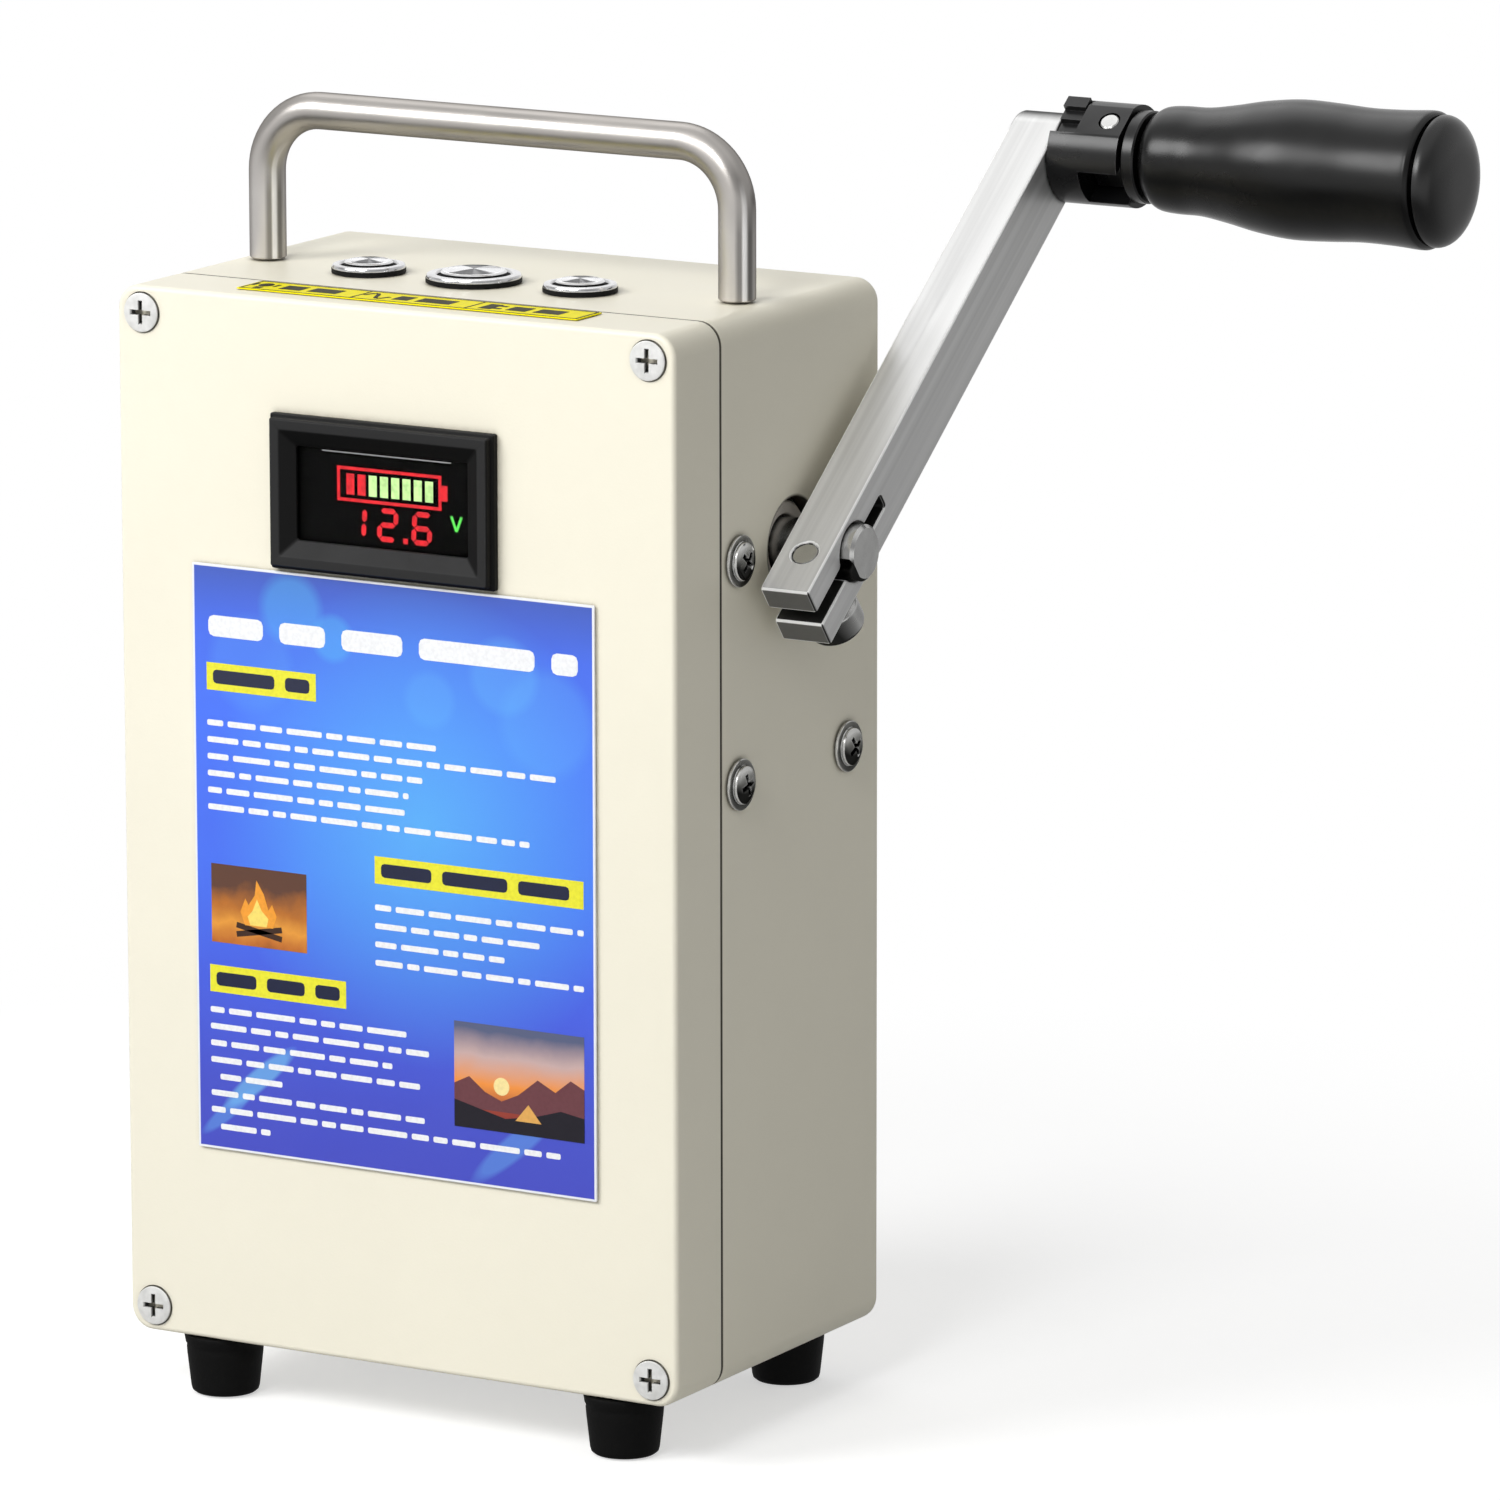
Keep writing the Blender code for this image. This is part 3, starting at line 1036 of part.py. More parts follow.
def make_main_gear():
    """Fixed on the drive shaft, and set so that a tooth points down at the idler."""
    gear = piece("main_gear", prism(gear_outline(GEAR_TEETH), GEAR_FACE), GEAR_STEEL,
                 (MAIN_GEAR_X, SHAFT_Y, SHAFT_Z), RIGHTWARD)
    cut(gear, [(rod(SHAFT_RADIUS + FIT_GAP, GEAR_FACE + 2 * OVERRUN, ROUND_STEPS),
                placed((MAIN_GEAR_X - OVERRUN, SHAFT_Y, SHAFT_Z), RIGHTWARD))])


def make_idler_gear():
    idler = piece("idler_gear", prism(gear_outline(GEAR_TEETH), GEAR_FACE), GEAR_STEEL,
                  (IDLER_GEAR_X, SHAFT_Y, IDLER_Z), RIGHTWARD)
    pinion_length = GEAR_FACE / 2 + STAGE_GAP + GEAR_FACE + PINION_EXTRA
    pinion = prism(gear_outline(PINION_TEETH), pinion_length)
    bmesh.ops.transform(pinion, matrix=half_pitch_turn(PINION_TEETH), verts=pinion.verts)
    pinion_x = IDLER_GEAR_X + GEAR_FACE / 2
    fuse(idler, [(pinion, placed((pinion_x, SHAFT_Y, IDLER_Z), RIGHTWARD))])
    cut(idler, [(rod(IDLER_AXLE_RADIUS + RUN_GAP, GEAR_FACE + pinion_length + 2 * OVERRUN),
                 placed((IDLER_GEAR_X - OVERRUN, SHAFT_Y, IDLER_Z), RIGHTWARD))])
    start = COVER_BACK + COVER_THICKNESS / 2
    end = HOUSING_FRONT - HOUSING_PLATE / 2
    piece("idler_axle", rod(IDLER_AXLE_RADIUS, end - start - 2 * FIT_GAP), STAINLESS,
          (start + FIT_GAP, SHAFT_Y, IDLER_Z), RIGHTWARD)


def make_gearbox_housing():
    width = 2 * HOUSING_HALF_WIDTH
    height = HOUSING_TOP - HOUSING_BOTTOM
    middle = (HOUSING_TOP + HOUSING_BOTTOM) / 2
    depth = HOUSING_FRONT - HOUSING_RIM
    housing = piece("gearbox_housing", cup(width, height, HOUSING_CORNER, HOUSING_CORNER_INSIDE,
                                           HOUSING_WALL, HOUSING_PLATE, depth, FIT_GAP),
                    CAST_ALLOY, (HOUSING_FRONT, SHAFT_Y, middle), LEFTWARD)
    boss_start = HOUSING_RIM + FIT_GAP
    boss_length = HOUSING_FRONT - HOUSING_PLATE / 2 - boss_start
    additions = [(rod(SIDE_SCREW_BOSS, boss_length), placed((boss_start, y, z), RIGHTWARD))
                 for y, z in side_screw_places()]
    bush_length = BUSH_INNER_LENGTH + HOUSING_PLATE / 2
    additions.append((rod(BUSH_RADIUS + FIT_GAP + BUSH_WALL, bush_length, ROUND_STEPS),
                      placed((HOUSING_FRONT - HOUSING_PLATE - BUSH_INNER_LENGTH, SHAFT_Y, SHAFT_Z),
                             RIGHTWARD)))
    fuse(housing, additions)
    long_cut = depth + 2 * OVERRUN
    cutters = [(rod(SIDE_SCREW_SHANK + FIT_GAP, long_cut), placed((HOUSING_RIM - OVERRUN, y, z), RIGHTWARD))
               for y, z in side_screw_places()]
    cutters.append((rod(BUSH_RADIUS + FIT_GAP, long_cut, ROUND_STEPS),
                    placed((HOUSING_RIM - OVERRUN, SHAFT_Y, SHAFT_Z), RIGHTWARD)))
    axle_end = HOUSING_FRONT - HOUSING_PLATE / 2
    cutters.append((rod(IDLER_AXLE_RADIUS + FIT_GAP, axle_end - HOUSING_RIM),
                    placed((HOUSING_RIM, SHAFT_Y, IDLER_Z), RIGHTWARD)))
    cut(housing, cutters)


def make_shaft_bush():
    start = HOUSING_FRONT - HOUSING_PLATE - BUSH_INNER_LENGTH
    length = HOUSING_FRONT + BUSH_PROUD - start
    bore = SHAFT_RADIUS + RUN_GAP
    piece("shaft_bush", turned([(bore, 0), (BUSH_RADIUS, 0), (BUSH_RADIUS, length), (bore, length)],
                               ROUND_STEPS), BRONZE, (start, SHAFT_Y, SHAFT_Z), RIGHTWARD)


def make_gearbox_cover():
    outline = rounded_rectangle(2 * HOUSING_HALF_WIDTH, HOUSING_TOP - HOUSING_BOTTOM, HOUSING_CORNER)
    middle = (HOUSING_TOP + HOUSING_BOTTOM) / 2
    cover = piece("gearbox_cover", prism(outline, COVER_THICKNESS), CAST_ALLOY,
                  (COVER_BACK, SHAFT_Y, middle), RIGHTWARD)
    long_cut = COVER_THICKNESS + 2 * OVERRUN
    cutters = [(rod(SIDE_SCREW_SHANK + FIT_GAP, long_cut), placed((COVER_BACK - OVERRUN, y, z), RIGHTWARD))
               for y, z in side_screw_places()]
    cutters.append((rod(ROTOR_SHAFT + RUN_GAP, long_cut),
                    placed((COVER_BACK - OVERRUN, SHAFT_Y, ROTOR_Z), RIGHTWARD)))
    cutters.append((rod(IDLER_AXLE_RADIUS + FIT_GAP, COVER_THICKNESS / 2 + OVERRUN),
                    placed((COVER_BACK + COVER_THICKNESS / 2, SHAFT_Y, IDLER_Z), RIGHTWARD)))
    cut(cover, cutters)


def make_side_screws():
    washer = FIT_GAP + SIDE_SCREW_WASHER_HEIGHT
    top = washer + SIDE_SCREW_HEAD_HEIGHT
    shoulder = washer + SIDE_SCREW_HEAD_HEIGHT / 2
    tip = COVER_BACK - CASE_RIGHT
    profile = [(0, tip), (SIDE_SCREW_SHANK, tip), (SIDE_SCREW_SHANK, FIT_GAP), (SIDE_SCREW_WASHER, FIT_GAP),
               (SIDE_SCREW_WASHER, washer), (SIDE_SCREW_HEAD, washer), (SIDE_SCREW_HEAD, shoulder),
               (SIDE_SCREW_HEAD * math.cos(math.pi / 4), top), (0, top)]
    for number, (y, z) in enumerate(side_screw_places(), 1):
        screw = piece("side_screw_%d" % number, turned(profile, SCREW_STEPS), ZINC_STEEL, (CASE_RIGHT, y, z),
                      RIGHTWARD)
        cut(screw, [(cross_recess(SIDE_SCREW_HEAD, CROSS_DEPTH), placed((CASE_RIGHT + top, y, z), RIGHTWARD))])


# Generator
def make_generator():
    mouth = COVER_BACK - FIT_GAP
    inner = CAN_RADIUS - CAN_WALL
    shaft_room = ROTOR_SHAFT + RUN_GAP
    hub = shaft_room + CAN_WALL
    profile = [(shaft_room, CAN_LENGTH + CAN_BEARING), (hub, CAN_LENGTH + CAN_BEARING), (hub, CAN_LENGTH),
               (CAN_RADIUS, CAN_LENGTH), (CAN_RADIUS, CAN_FLANGE_LENGTH),
               (CAN_RADIUS + CAN_FLANGE, CAN_FLANGE_LENGTH), (CAN_RADIUS + CAN_FLANGE, 0), (inner, 0),
               (inner, CAN_LENGTH - CAN_WALL), (shaft_room, CAN_LENGTH - CAN_WALL)]
    piece("generator_can", turned(profile, ROUND_STEPS), ZINC_STEEL, (mouth, SHAFT_Y, ROTOR_Z), LEFTWARD)

    stator_start = (CAN_LENGTH - STATOR_LENGTH) / 2
    outer = inner - FIT_GAP
    stator = piece("generator_stator",
                   turned([(STATOR_INNER, 0), (outer, 0), (outer, STATOR_LENGTH),
                           (STATOR_INNER, STATOR_LENGTH)], ROUND_STEPS),
                   COPPER_IRON, (mouth - stator_start, SHAFT_Y, ROTOR_Z), LEFTWARD)
    slots = []
    slot_radius = STATOR_INNER + STATOR_SLOT_DEPTH / 2
    for index in range(STATOR_SLOTS):
        angle = math.tau * index / STATOR_SLOTS
        turn = Matrix.Rotation(angle, 4, "Z")
        shift = Matrix.Translation((slot_radius, 0, -OVERRUN))
        slot = block(STATOR_SLOT_DEPTH + OVERRUN, STATOR_SLOT_WIDTH, STATOR_LENGTH + 2 * OVERRUN)
        slots.append((slot, placed((mouth - stator_start, SHAFT_Y, ROTOR_Z), LEFTWARD) @ turn @ shift))
    cut(stator, slots)

    drum = STATOR_INNER - ROTOR_AIR_GAP
    drum_start = (CAN_LENGTH - ROTOR_DRUM_LENGTH) / 2
    front_end = IDLER_GEAR_X + GEAR_FACE + PINION_EXTRA - mouth
    back_end = CAN_LENGTH + CAN_BEARING - ROTOR_END_PLAY
    profile = [(0, -front_end), (ROTOR_SHAFT, -front_end), (ROTOR_SHAFT, drum_start), (drum, drum_start),
               (drum, drum_start + ROTOR_DRUM_LENGTH), (ROTOR_SHAFT, drum_start + ROTOR_DRUM_LENGTH),
               (ROTOR_SHAFT, back_end), (0, back_end)]
    rotor = piece("generator_rotor", turned(profile, ROUND_STEPS), GEAR_STEEL, (mouth, SHAFT_Y, ROTOR_Z),
                  LEFTWARD)
    pinion = prism(gear_outline(PINION_TEETH), GEAR_FACE + PINION_EXTRA)
    bmesh.ops.transform(pinion, matrix=half_pitch_turn(PINION_TEETH), verts=pinion.verts)
    fuse(rotor, [(pinion, placed((IDLER_GEAR_X - PINION_EXTRA / 2, SHAFT_Y, ROTOR_Z), RIGHTWARD))])


# Battery pack and inverter board
def make_battery_pack():
    width = 2 * CELL_RADIUS * CELLS_ACROSS
    depth = 2 * CELL_RADIUS * CELLS_DEEP
    full = rounded_rectangle(width, depth, CELL_RADIUS)
    drawn_in = rounded_rectangle(width - 2 * PACK_EDGE, depth - 2 * PACK_EDGE, CELL_RADIUS - PACK_EDGE)
    mesh = lofted([(drawn_in, 0), (full, PACK_EDGE), (full, CELL_LENGTH - PACK_EDGE), (drawn_in, CELL_LENGTH)])
    piece("battery_pack", mesh, PACK_WRAP,
          (-CASE_RIGHT + CASE_WALL + FIT_GAP + width / 2, CASE_BACK - CASE_WALL - FIT_GAP - depth / 2,
           CASE_WALL + FOOT_BOSS_HEIGHT + FIT_GAP))


def make_inverter_board():
    centre_x = CASE_RIGHT - CASE_WALL - BOARD_SIDE_GAP - BOARD_WIDTH / 2
    centre_z = CASE_WALL + BOARD_FLOOR_GAP + BOARD_HEIGHT / 2
    back_y = CASE_BACK - CASE_WALL - BOARD_STANDOFF - FIT_GAP
    board = piece("inverter_board", block(BOARD_WIDTH, BOARD_HEIGHT, BOARD_THICKNESS), BOARD_GREEN,
                  (centre_x, back_y, centre_z), FRONTWARD)
    root_y = back_y - BOARD_THICKNESS / 2
    sunk = BOARD_THICKNESS / 2
    low_z = centre_z - BOARD_HEIGHT / 4
    capacitor_z = centre_z + CAPACITOR_RADIUS
    high_z = centre_z + 3 * BOARD_HEIGHT / 8
    additions = [(block(TRANSFORMER_WIDTH, TRANSFORMER_HEIGHT, TRANSFORMER_DEPTH + sunk),
                  placed((centre_x, root_y, low_z), FRONTWARD)),
                 (block(HEAT_SINK_WIDTH, HEAT_SINK_HEIGHT, HEAT_SINK_DEPTH + sunk),
                  placed((centre_x, root_y, high_z), FRONTWARD))]
    for side in (-1, 1):
        additions.append((rod(CAPACITOR_RADIUS, CAPACITOR_LENGTH + sunk),
                          placed((centre_x + side * BOARD_WIDTH / 4, root_y,
                                  capacitor_z), FRONTWARD)))
    fuse(board, additions)


# Sockets, jack and lamp on the left wall
def left_face():
    return -CASE_RIGHT - FIT_GAP


def panel_socket(name, width, height, body_width, body_height, depth, z):
    """A plate on the wall with a body through the cut-out behind it."""
    outline = rounded_rectangle(width, height, PANEL_CORNER)
    socket = piece(name, prism(outline, PANEL_PLATE), BLACK_PLASTIC,
                   (left_face(), SOCKET_COLUMN_Y, z), LEFTWARD)
    fuse(socket, [(block(body_width, body_height, depth + PANEL_PLATE / 2),
                   placed((left_face() - PANEL_PLATE / 2, SOCKET_COLUMN_Y, z), RIGHTWARD))])
    return socket


def make_ac_outlet():
    outlet = panel_socket("ac_outlet", OUTLET_WIDTH, OUTLET_HEIGHT, OUTLET_BODY_WIDTH, OUTLET_BODY_HEIGHT,
                          OUTLET_DEPTH, OUTLET_Z)
    face = left_face() - PANEL_PLATE - OVERRUN
    slots = [(block(OUTLET_SLOT_WIDTH, OUTLET_SLOT_HEIGHT, OUTLET_SLOT_DEPTH + OVERRUN),
              placed((face, SOCKET_COLUMN_Y + side * OUTLET_SLOT_PITCH / 2, OUTLET_Z + OUTLET_SLOT_RISE),
                     RIGHTWARD)) for side in (-1, 1)]
    slots.append((rod(OUTLET_EARTH_RADIUS, OUTLET_SLOT_DEPTH + OVERRUN),
                  placed((face, SOCKET_COLUMN_Y, OUTLET_Z - OUTLET_EARTH_DROP), RIGHTWARD)))
    cut(outlet, slots)


def make_usb_socket():
    socket = panel_socket("usb_socket", USB_WIDTH, USB_HEIGHT, USB_BODY_WIDTH, USB_BODY_HEIGHT, USB_DEPTH,
                          USB_Z)
    face = left_face() - PANEL_PLATE - OVERRUN
    side_room = (USB_PORT_HEIGHT - USB_TONGUE_HEIGHT) / 2
    shift = (USB_TONGUE_HEIGHT + side_room) / 2
    ports = [(block(USB_PORT_WIDTH, side_room, USB_PORT_DEPTH + OVERRUN),
              placed((face, SOCKET_COLUMN_Y, USB_Z + side * shift), RIGHTWARD)) for side in (-1, 1)]
    cut(socket, ports)


def make_charge_jack():
    pin_top = PANEL_PLATE / 2
    profile = [(0, pin_top), (JACK_PIN, pin_top), (JACK_PIN, PANEL_PLATE - JACK_BORE_DEPTH),
               (JACK_BORE, PANEL_PLATE - JACK_BORE_DEPTH), (JACK_BORE, PANEL_PLATE),
               (JACK_FLANGE_RADIUS, PANEL_PLATE), (JACK_FLANGE_RADIUS, 0), (JACK_RADIUS, 0),
               (JACK_RADIUS, -JACK_DEPTH), (0, -JACK_DEPTH)]
    piece("charge_jack", turned(profile), BLACK_PLASTIC, (left_face(), JACK_Y, JACK_Z), LEFTWARD)


def make_lamp():
    seat = LENS_THICKNESS
    cup_floor = LAMP_FLANGE - LAMP_CUP_DEPTH
    back = cup_floor - LAMP_FLOOR
    shelf = LAMP_CUP_RADIUS * math.cos(math.pi / 6)
    profile = [(0, cup_floor), (shelf / 2, cup_floor), (shelf, LAMP_FLANGE - seat),
               (LAMP_CUP_RADIUS, LAMP_FLANGE - seat), (LAMP_CUP_RADIUS, LAMP_FLANGE),
               (LAMP_FLANGE_RADIUS, LAMP_FLANGE), (LAMP_FLANGE_RADIUS, 0), (LAMP_RADIUS, 0),
               (LAMP_RADIUS, back), (0, back)]
    piece("lamp_bezel", turned(profile, ROUND_STEPS), BRIGHT_CHROME, (left_face(), SOCKET_COLUMN_Y, LAMP_Z),
          LEFTWARD)
    radius = LAMP_CUP_RADIUS - FIT_GAP
    bottom = LAMP_FLANGE - seat + FIT_GAP
    lens = [(0, bottom), (radius, bottom), (radius, LAMP_FLANGE), (radius / 2, LAMP_FLANGE + LENS_CROWN / 2),
            (0, LAMP_FLANGE + LENS_CROWN)]
    piece("lamp_lens", turned(lens, ROUND_STEPS), CLEAR_LENS, (left_face(), SOCKET_COLUMN_Y, LAMP_Z), LEFTWARD)


clear_scene()
make_case_body()
make_lid_gasket()
make_case_lid()
make_lid_screws()
make_feet()
make_carry_handle()
make_meter()
make_labels()
make_switches()
make_gearbox_housing()
make_gearbox_cover()
make_shaft_bush()
make_side_screws()
make_main_gear()
make_idler_gear()
make_generator()
make_battery_pack()
make_inverter_board()
make_ac_outlet()
make_usb_socket()
make_charge_jack()
make_lamp()
crank_frame = make_crank_frame()
make_crank_arm(crank_frame)
make_clamp_bolt(crank_frame)
make_drive_shaft(crank_frame)
make_grip_bracket(crank_frame)
make_bracket_bolt(crank_frame)
make_cross_pin(crank_frame)
make_grip_spindle(crank_frame)
make_grip(crank_frame)
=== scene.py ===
import math

import bmesh
import bpy
from mathutils import Euler, Matrix, Vector


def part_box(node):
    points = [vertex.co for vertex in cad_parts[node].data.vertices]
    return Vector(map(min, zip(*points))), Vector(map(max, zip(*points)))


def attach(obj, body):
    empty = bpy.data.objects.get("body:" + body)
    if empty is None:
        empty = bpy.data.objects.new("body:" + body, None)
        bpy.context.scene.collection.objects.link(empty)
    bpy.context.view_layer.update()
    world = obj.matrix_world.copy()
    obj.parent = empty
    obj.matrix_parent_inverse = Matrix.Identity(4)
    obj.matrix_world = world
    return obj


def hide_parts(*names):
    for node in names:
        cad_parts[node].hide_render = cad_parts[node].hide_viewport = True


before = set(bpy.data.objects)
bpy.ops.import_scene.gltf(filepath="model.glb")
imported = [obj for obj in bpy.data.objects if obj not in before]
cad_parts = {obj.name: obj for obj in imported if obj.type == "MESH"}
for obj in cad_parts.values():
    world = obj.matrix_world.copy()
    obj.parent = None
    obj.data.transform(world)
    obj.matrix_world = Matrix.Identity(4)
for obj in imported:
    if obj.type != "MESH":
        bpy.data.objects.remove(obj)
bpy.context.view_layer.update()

# Case body: the deep rear half of the case, injection moulded in cream ABS with a fine spark-eroded grain.
# Its right wall is drilled for the shaft bush, whose bore is painted dark as shade, and for the gearbox screws, its
# left wall for the sockets and the lamp. The front half closes it on a rubber gasket.
CASE_WIDTH = 0.120
CASE_HEIGHT = 0.200
CASE_FRONT = -0.038
CASE_BACK = 0.038
CASE_RIGHT = CASE_WIDTH / 2
CASE_MIDDLE = CASE_HEIGHT / 2
CASE_WALL = 0.003
CASE_CORNER = 0.0045
CASE_CORNER_INSIDE = 0.0015
BODY_RIM = -0.0214
BODY_EDGE = 0.002
RIM_EDGE = 0.0003
SEAM_MIDDLE = BODY_RIM - 0.0002
SEAM_HALF = 0.00033
DRILL_OVERRUN = 0.002
WALL_CUT = CASE_WALL + 2 * DRILL_OVERRUN
SHAFT_Y = 0.0047
SHAFT_Z = 0.1547
SHAFT_HOLE = 0.0092
SIDE_SCREWS = ((-0.0153, 0.1134), (0.0247, 0.1134), (-0.0153, 0.1551), (0.0247, 0.1551))
SIDE_SCREW_HOLE = 0.0019
SWITCHES = (("light", -0.026, 0.007, 0.006, 0.0046), ("outlet", -0.003, 0.009, 0.008, 0.0062),
            ("usb", 0.020, 0.007, 0.006, 0.0046))
SWITCH_Y = -0.0043
SWITCH_CLEARANCE = 0.0003
LAMP_Z = 0.172
LAMP_HOLE = 0.0083
JACK_Y = -0.0108
JACK_Z = 0.089
JACK_HOLE = 0.0058
OUTLET_Z = 0.1185
OUTLET_HOLE = (0.0286, 0.0226)
USB_Z = 0.147
USB_HOLE = (0.0176, 0.0096)
FIELD_GROOVE = ((0.0256, 0.0146), (0.025, 0.014))
GROOVE_DEPTH = 0.0004
CREAM = (0.905, 0.864, 0.718)
CREAM_WORN = (0.94, 0.915, 0.82)
# Painted shade, with some grime, for recesses in the cream plastic.
CREAM_RECESS_SHADE_AND_GRIME = (0.30, 0.26, 0.18)
# Painted shade for the shaft hole's bore.
BORE_SHADE = (0.045, 0.036, 0.026)
SEAM_SHADE = (0.10, 0.088, 0.065)

UPWARD = (0, 0, 0)
FRONTWARD = (math.pi / 2, 0, 0)
BACKWARD = (-math.pi / 2, 0, 0)
RIGHTWARD = (math.pi / 2, 0, math.pi / 2)
LEFTWARD = (math.pi / 2, 0, -math.pi / 2)


def placed(location, direction=UPWARD):
    return Matrix.LocRotScale(location, Euler(direction), None)


def square(half_x, half_y):
    return [(side_x * half_x, side_y * half_y) for side_x, side_y in ((1, 1), (-1, 1), (-1, -1), (1, -1))]


def rounded_rectangle(width, height, radius, steps):
    points = []
    for index, (middle_x, middle_y) in enumerate(square(width / 2 - radius, height / 2 - radius)):
        for step in range(steps + 1):
            angle = math.pi / 2 * (index + step / steps)
            points.append((middle_x + radius * math.cos(angle), middle_y + radius * math.sin(angle)))
    return points


def tiers(width, height, rows, steps):
    """Rounded outlines of one bar, one for each (inset, corner radius, level)."""
    return [(rounded_rectangle(width - 2 * inset, height - 2 * inset, corner, steps), level)
            for inset, corner, level in rows]


def banded(mesh, lower, upper):
    """Faces between two rings with like point counts, three-sided where a ring is one point on the axis."""
    for index, vert in enumerate(lower):
        following = (index + 1) % len(lower)
        mesh.faces.new(list(dict.fromkeys((vert, lower[following], upper[following], upper[index]))))


def lofted(sections, closed=False):
    """A skin through outlines with like point counts, each at its own height, capped or joined in a ring."""
    mesh = bmesh.new()
    rings = [[mesh.verts.new((x, y, height)) for x, y in outline] for outline, height in sections]
    pairs = list(zip(rings, rings[1:]))
    if closed:
        pairs.append((rings[-1], rings[0]))
    else:
        mesh.faces.new(rings[0])
        mesh.faces.new(rings[-1])
    for lower, upper in pairs:
        banded(mesh, lower, upper)
    bmesh.ops.recalc_face_normals(mesh, faces=mesh.faces)
    return mesh


def rounding(radius, steps):
    """Inset and rise of each step round a quarter circle, from the flat face to the side wall."""
    angles = [math.pi / 2 * step / steps for step in range(steps + 1)]
    return [(radius * (1 - math.sin(angle)), radius * (1 - math.cos(angle))) for angle in angles]


def turned(profile, steps=48):
    """A solid of revolution about local Z, from (radius, height) points; a ring if none is on the axis."""
    mesh = bmesh.new()
    angles = [math.tau * step / steps for step in range(steps)]
    rings = []
    for radius, height in profile:
        if radius:
            rings.append([mesh.verts.new((radius * math.cos(angle), radius * math.sin(angle), height))
                          for angle in angles])
        else:
            rings.append([mesh.verts.new((0, 0, height))] * steps)
    if profile[0][0]:
        rings.append(rings[0])
    for lower, upper in zip(rings, rings[1:]):
        banded(mesh, lower, upper)
    bmesh.ops.recalc_face_normals(mesh, faces=mesh.faces)
    return mesh


def drill(radius, length, steps=48):
    return turned([(0, 0), (radius, 0), (radius, length), (0, length)], steps)


def block(width, height, depth):
    """A square-edged bar on local XY, centred there, and rising from zero along local Z."""
    outline = square(width / 2, height / 2)
    return lofted([(outline, 0), (outline, depth)])


def stood(name, mesh, matrix=Matrix()):
    data = bpy.data.meshes.new(name)
    bmesh.ops.transform(mesh, matrix=matrix, verts=mesh.verts)
    mesh.to_mesh(data)
    mesh.free()
    item = bpy.data.objects.new(name, data)
    bpy.context.scene.collection.objects.link(item)
    return item


def machined(name, mesh, matrix=Matrix(), cuts=(), joins=(), edge=0, sharp=30):
    """A finished shape: its mesh set in place, joined and cut, its edges broken, and its normals evened."""
    item = stood(name, mesh, matrix)
    tools = []
    for operation, parts in (("UNION", joins), ("DIFFERENCE", cuts)):
        for tool_mesh, tool_matrix in parts:
            tool = stood(name + "_tool", tool_mesh, tool_matrix)
            tools.append(tool)
            boolean = item.modifiers.new(operation, "BOOLEAN")
            boolean.operation = operation
            boolean.solver = "EXACT"
            boolean.object = tool
    if edge:
        bevel = item.modifiers.new("edge", "BEVEL")
        bevel.width = edge
        bevel.segments = 2
        bevel.limit_method = "ANGLE"
        bevel.angle_limit = math.radians(sharp)
        bevel.miter_outer = "MITER_ARC"
    settle(item, sharp)
    for tool in tools:
        bpy.data.objects.remove(tool)
    return item


def settle(item, sharp):
    """Apply the modifiers, smooth the faces between edges sharper than this, and weight the normals by area."""
    bpy.context.view_layer.update()
    for last in (False, True):
        data = bpy.data.meshes.new_from_object(item.evaluated_get(bpy.context.evaluated_depsgraph_get()))
        item.modifiers.clear()
        old = item.data
        item.data = data
        bpy.data.meshes.remove(old)
        if not last:
            data.shade_smooth()
            data.set_sharp_from_angle(angle=math.radians(sharp))
            weighted = item.modifiers.new("normals", "WEIGHTED_NORMAL")
            weighted.keep_sharp = True
            bpy.context.view_layer.update()


def add_node(tree, kind, inputs=None, **settings):
    """A shader node with its settings and inputs; an input is a value or another node's output socket."""
    node = tree.nodes.new("ShaderNode" + kind)
    for setting, value in settings.items():
        setattr(node, setting, value)
    for key, value in (inputs or {}).items():
        if isinstance(value, bpy.types.NodeSocket):
            tree.links.new(value, node.inputs[key])
        else:
            node.inputs[key].default_value = value
    return node


def math_node(tree, operation, *values, clamp=False):
    return add_node(tree, "Math", dict(enumerate(values)), operation=operation, use_clamp=clamp).outputs[0]


def product(tree, *values):
    total = values[0]
    for value in values[1:]:
        total = math_node(tree, "MULTIPLY", total, value)
    return total


def vector_math(tree, operation, *values):
    outputs = add_node(tree, "VectorMath", dict(enumerate(values)), operation=operation).outputs
    return outputs["Value"] if operation in ("LENGTH", "DOT_PRODUCT") else outputs[0]


def coordinate(tree, kind="Object"):
    return add_node(tree, "TexCoord").outputs[kind]


def axes(tree, vector):
    """The X, Y and Z of a vector, as numbers."""
    return add_node(tree, "SeparateXYZ", {0: vector}).outputs


def noise(tree, place, scale, detail=2.0, **shape):
    return add_node(tree, "TexNoise", {"Vector": place, "Scale": scale, "Detail": detail, **shape}).outputs["Fac"]


def spread(tree, value, low, high, to_low=0.0, to_high=1.0):
    return add_node(tree, "MapRange", {"Value": value, "From Min": low, "From Max": high,
                                       "To Min": to_low, "To Max": to_high}).outputs[0]


def blended(tree, share, first, second):
    """The first colour where the share is zero, the second where it is one."""
    colours = [value if isinstance(value, bpy.types.NodeSocket) else (*value, 1) for value in (first, second)]
    return add_node(tree, "Mix", {0: share, 6: colours[0], 7: colours[1]}, data_type="RGBA").outputs[2]


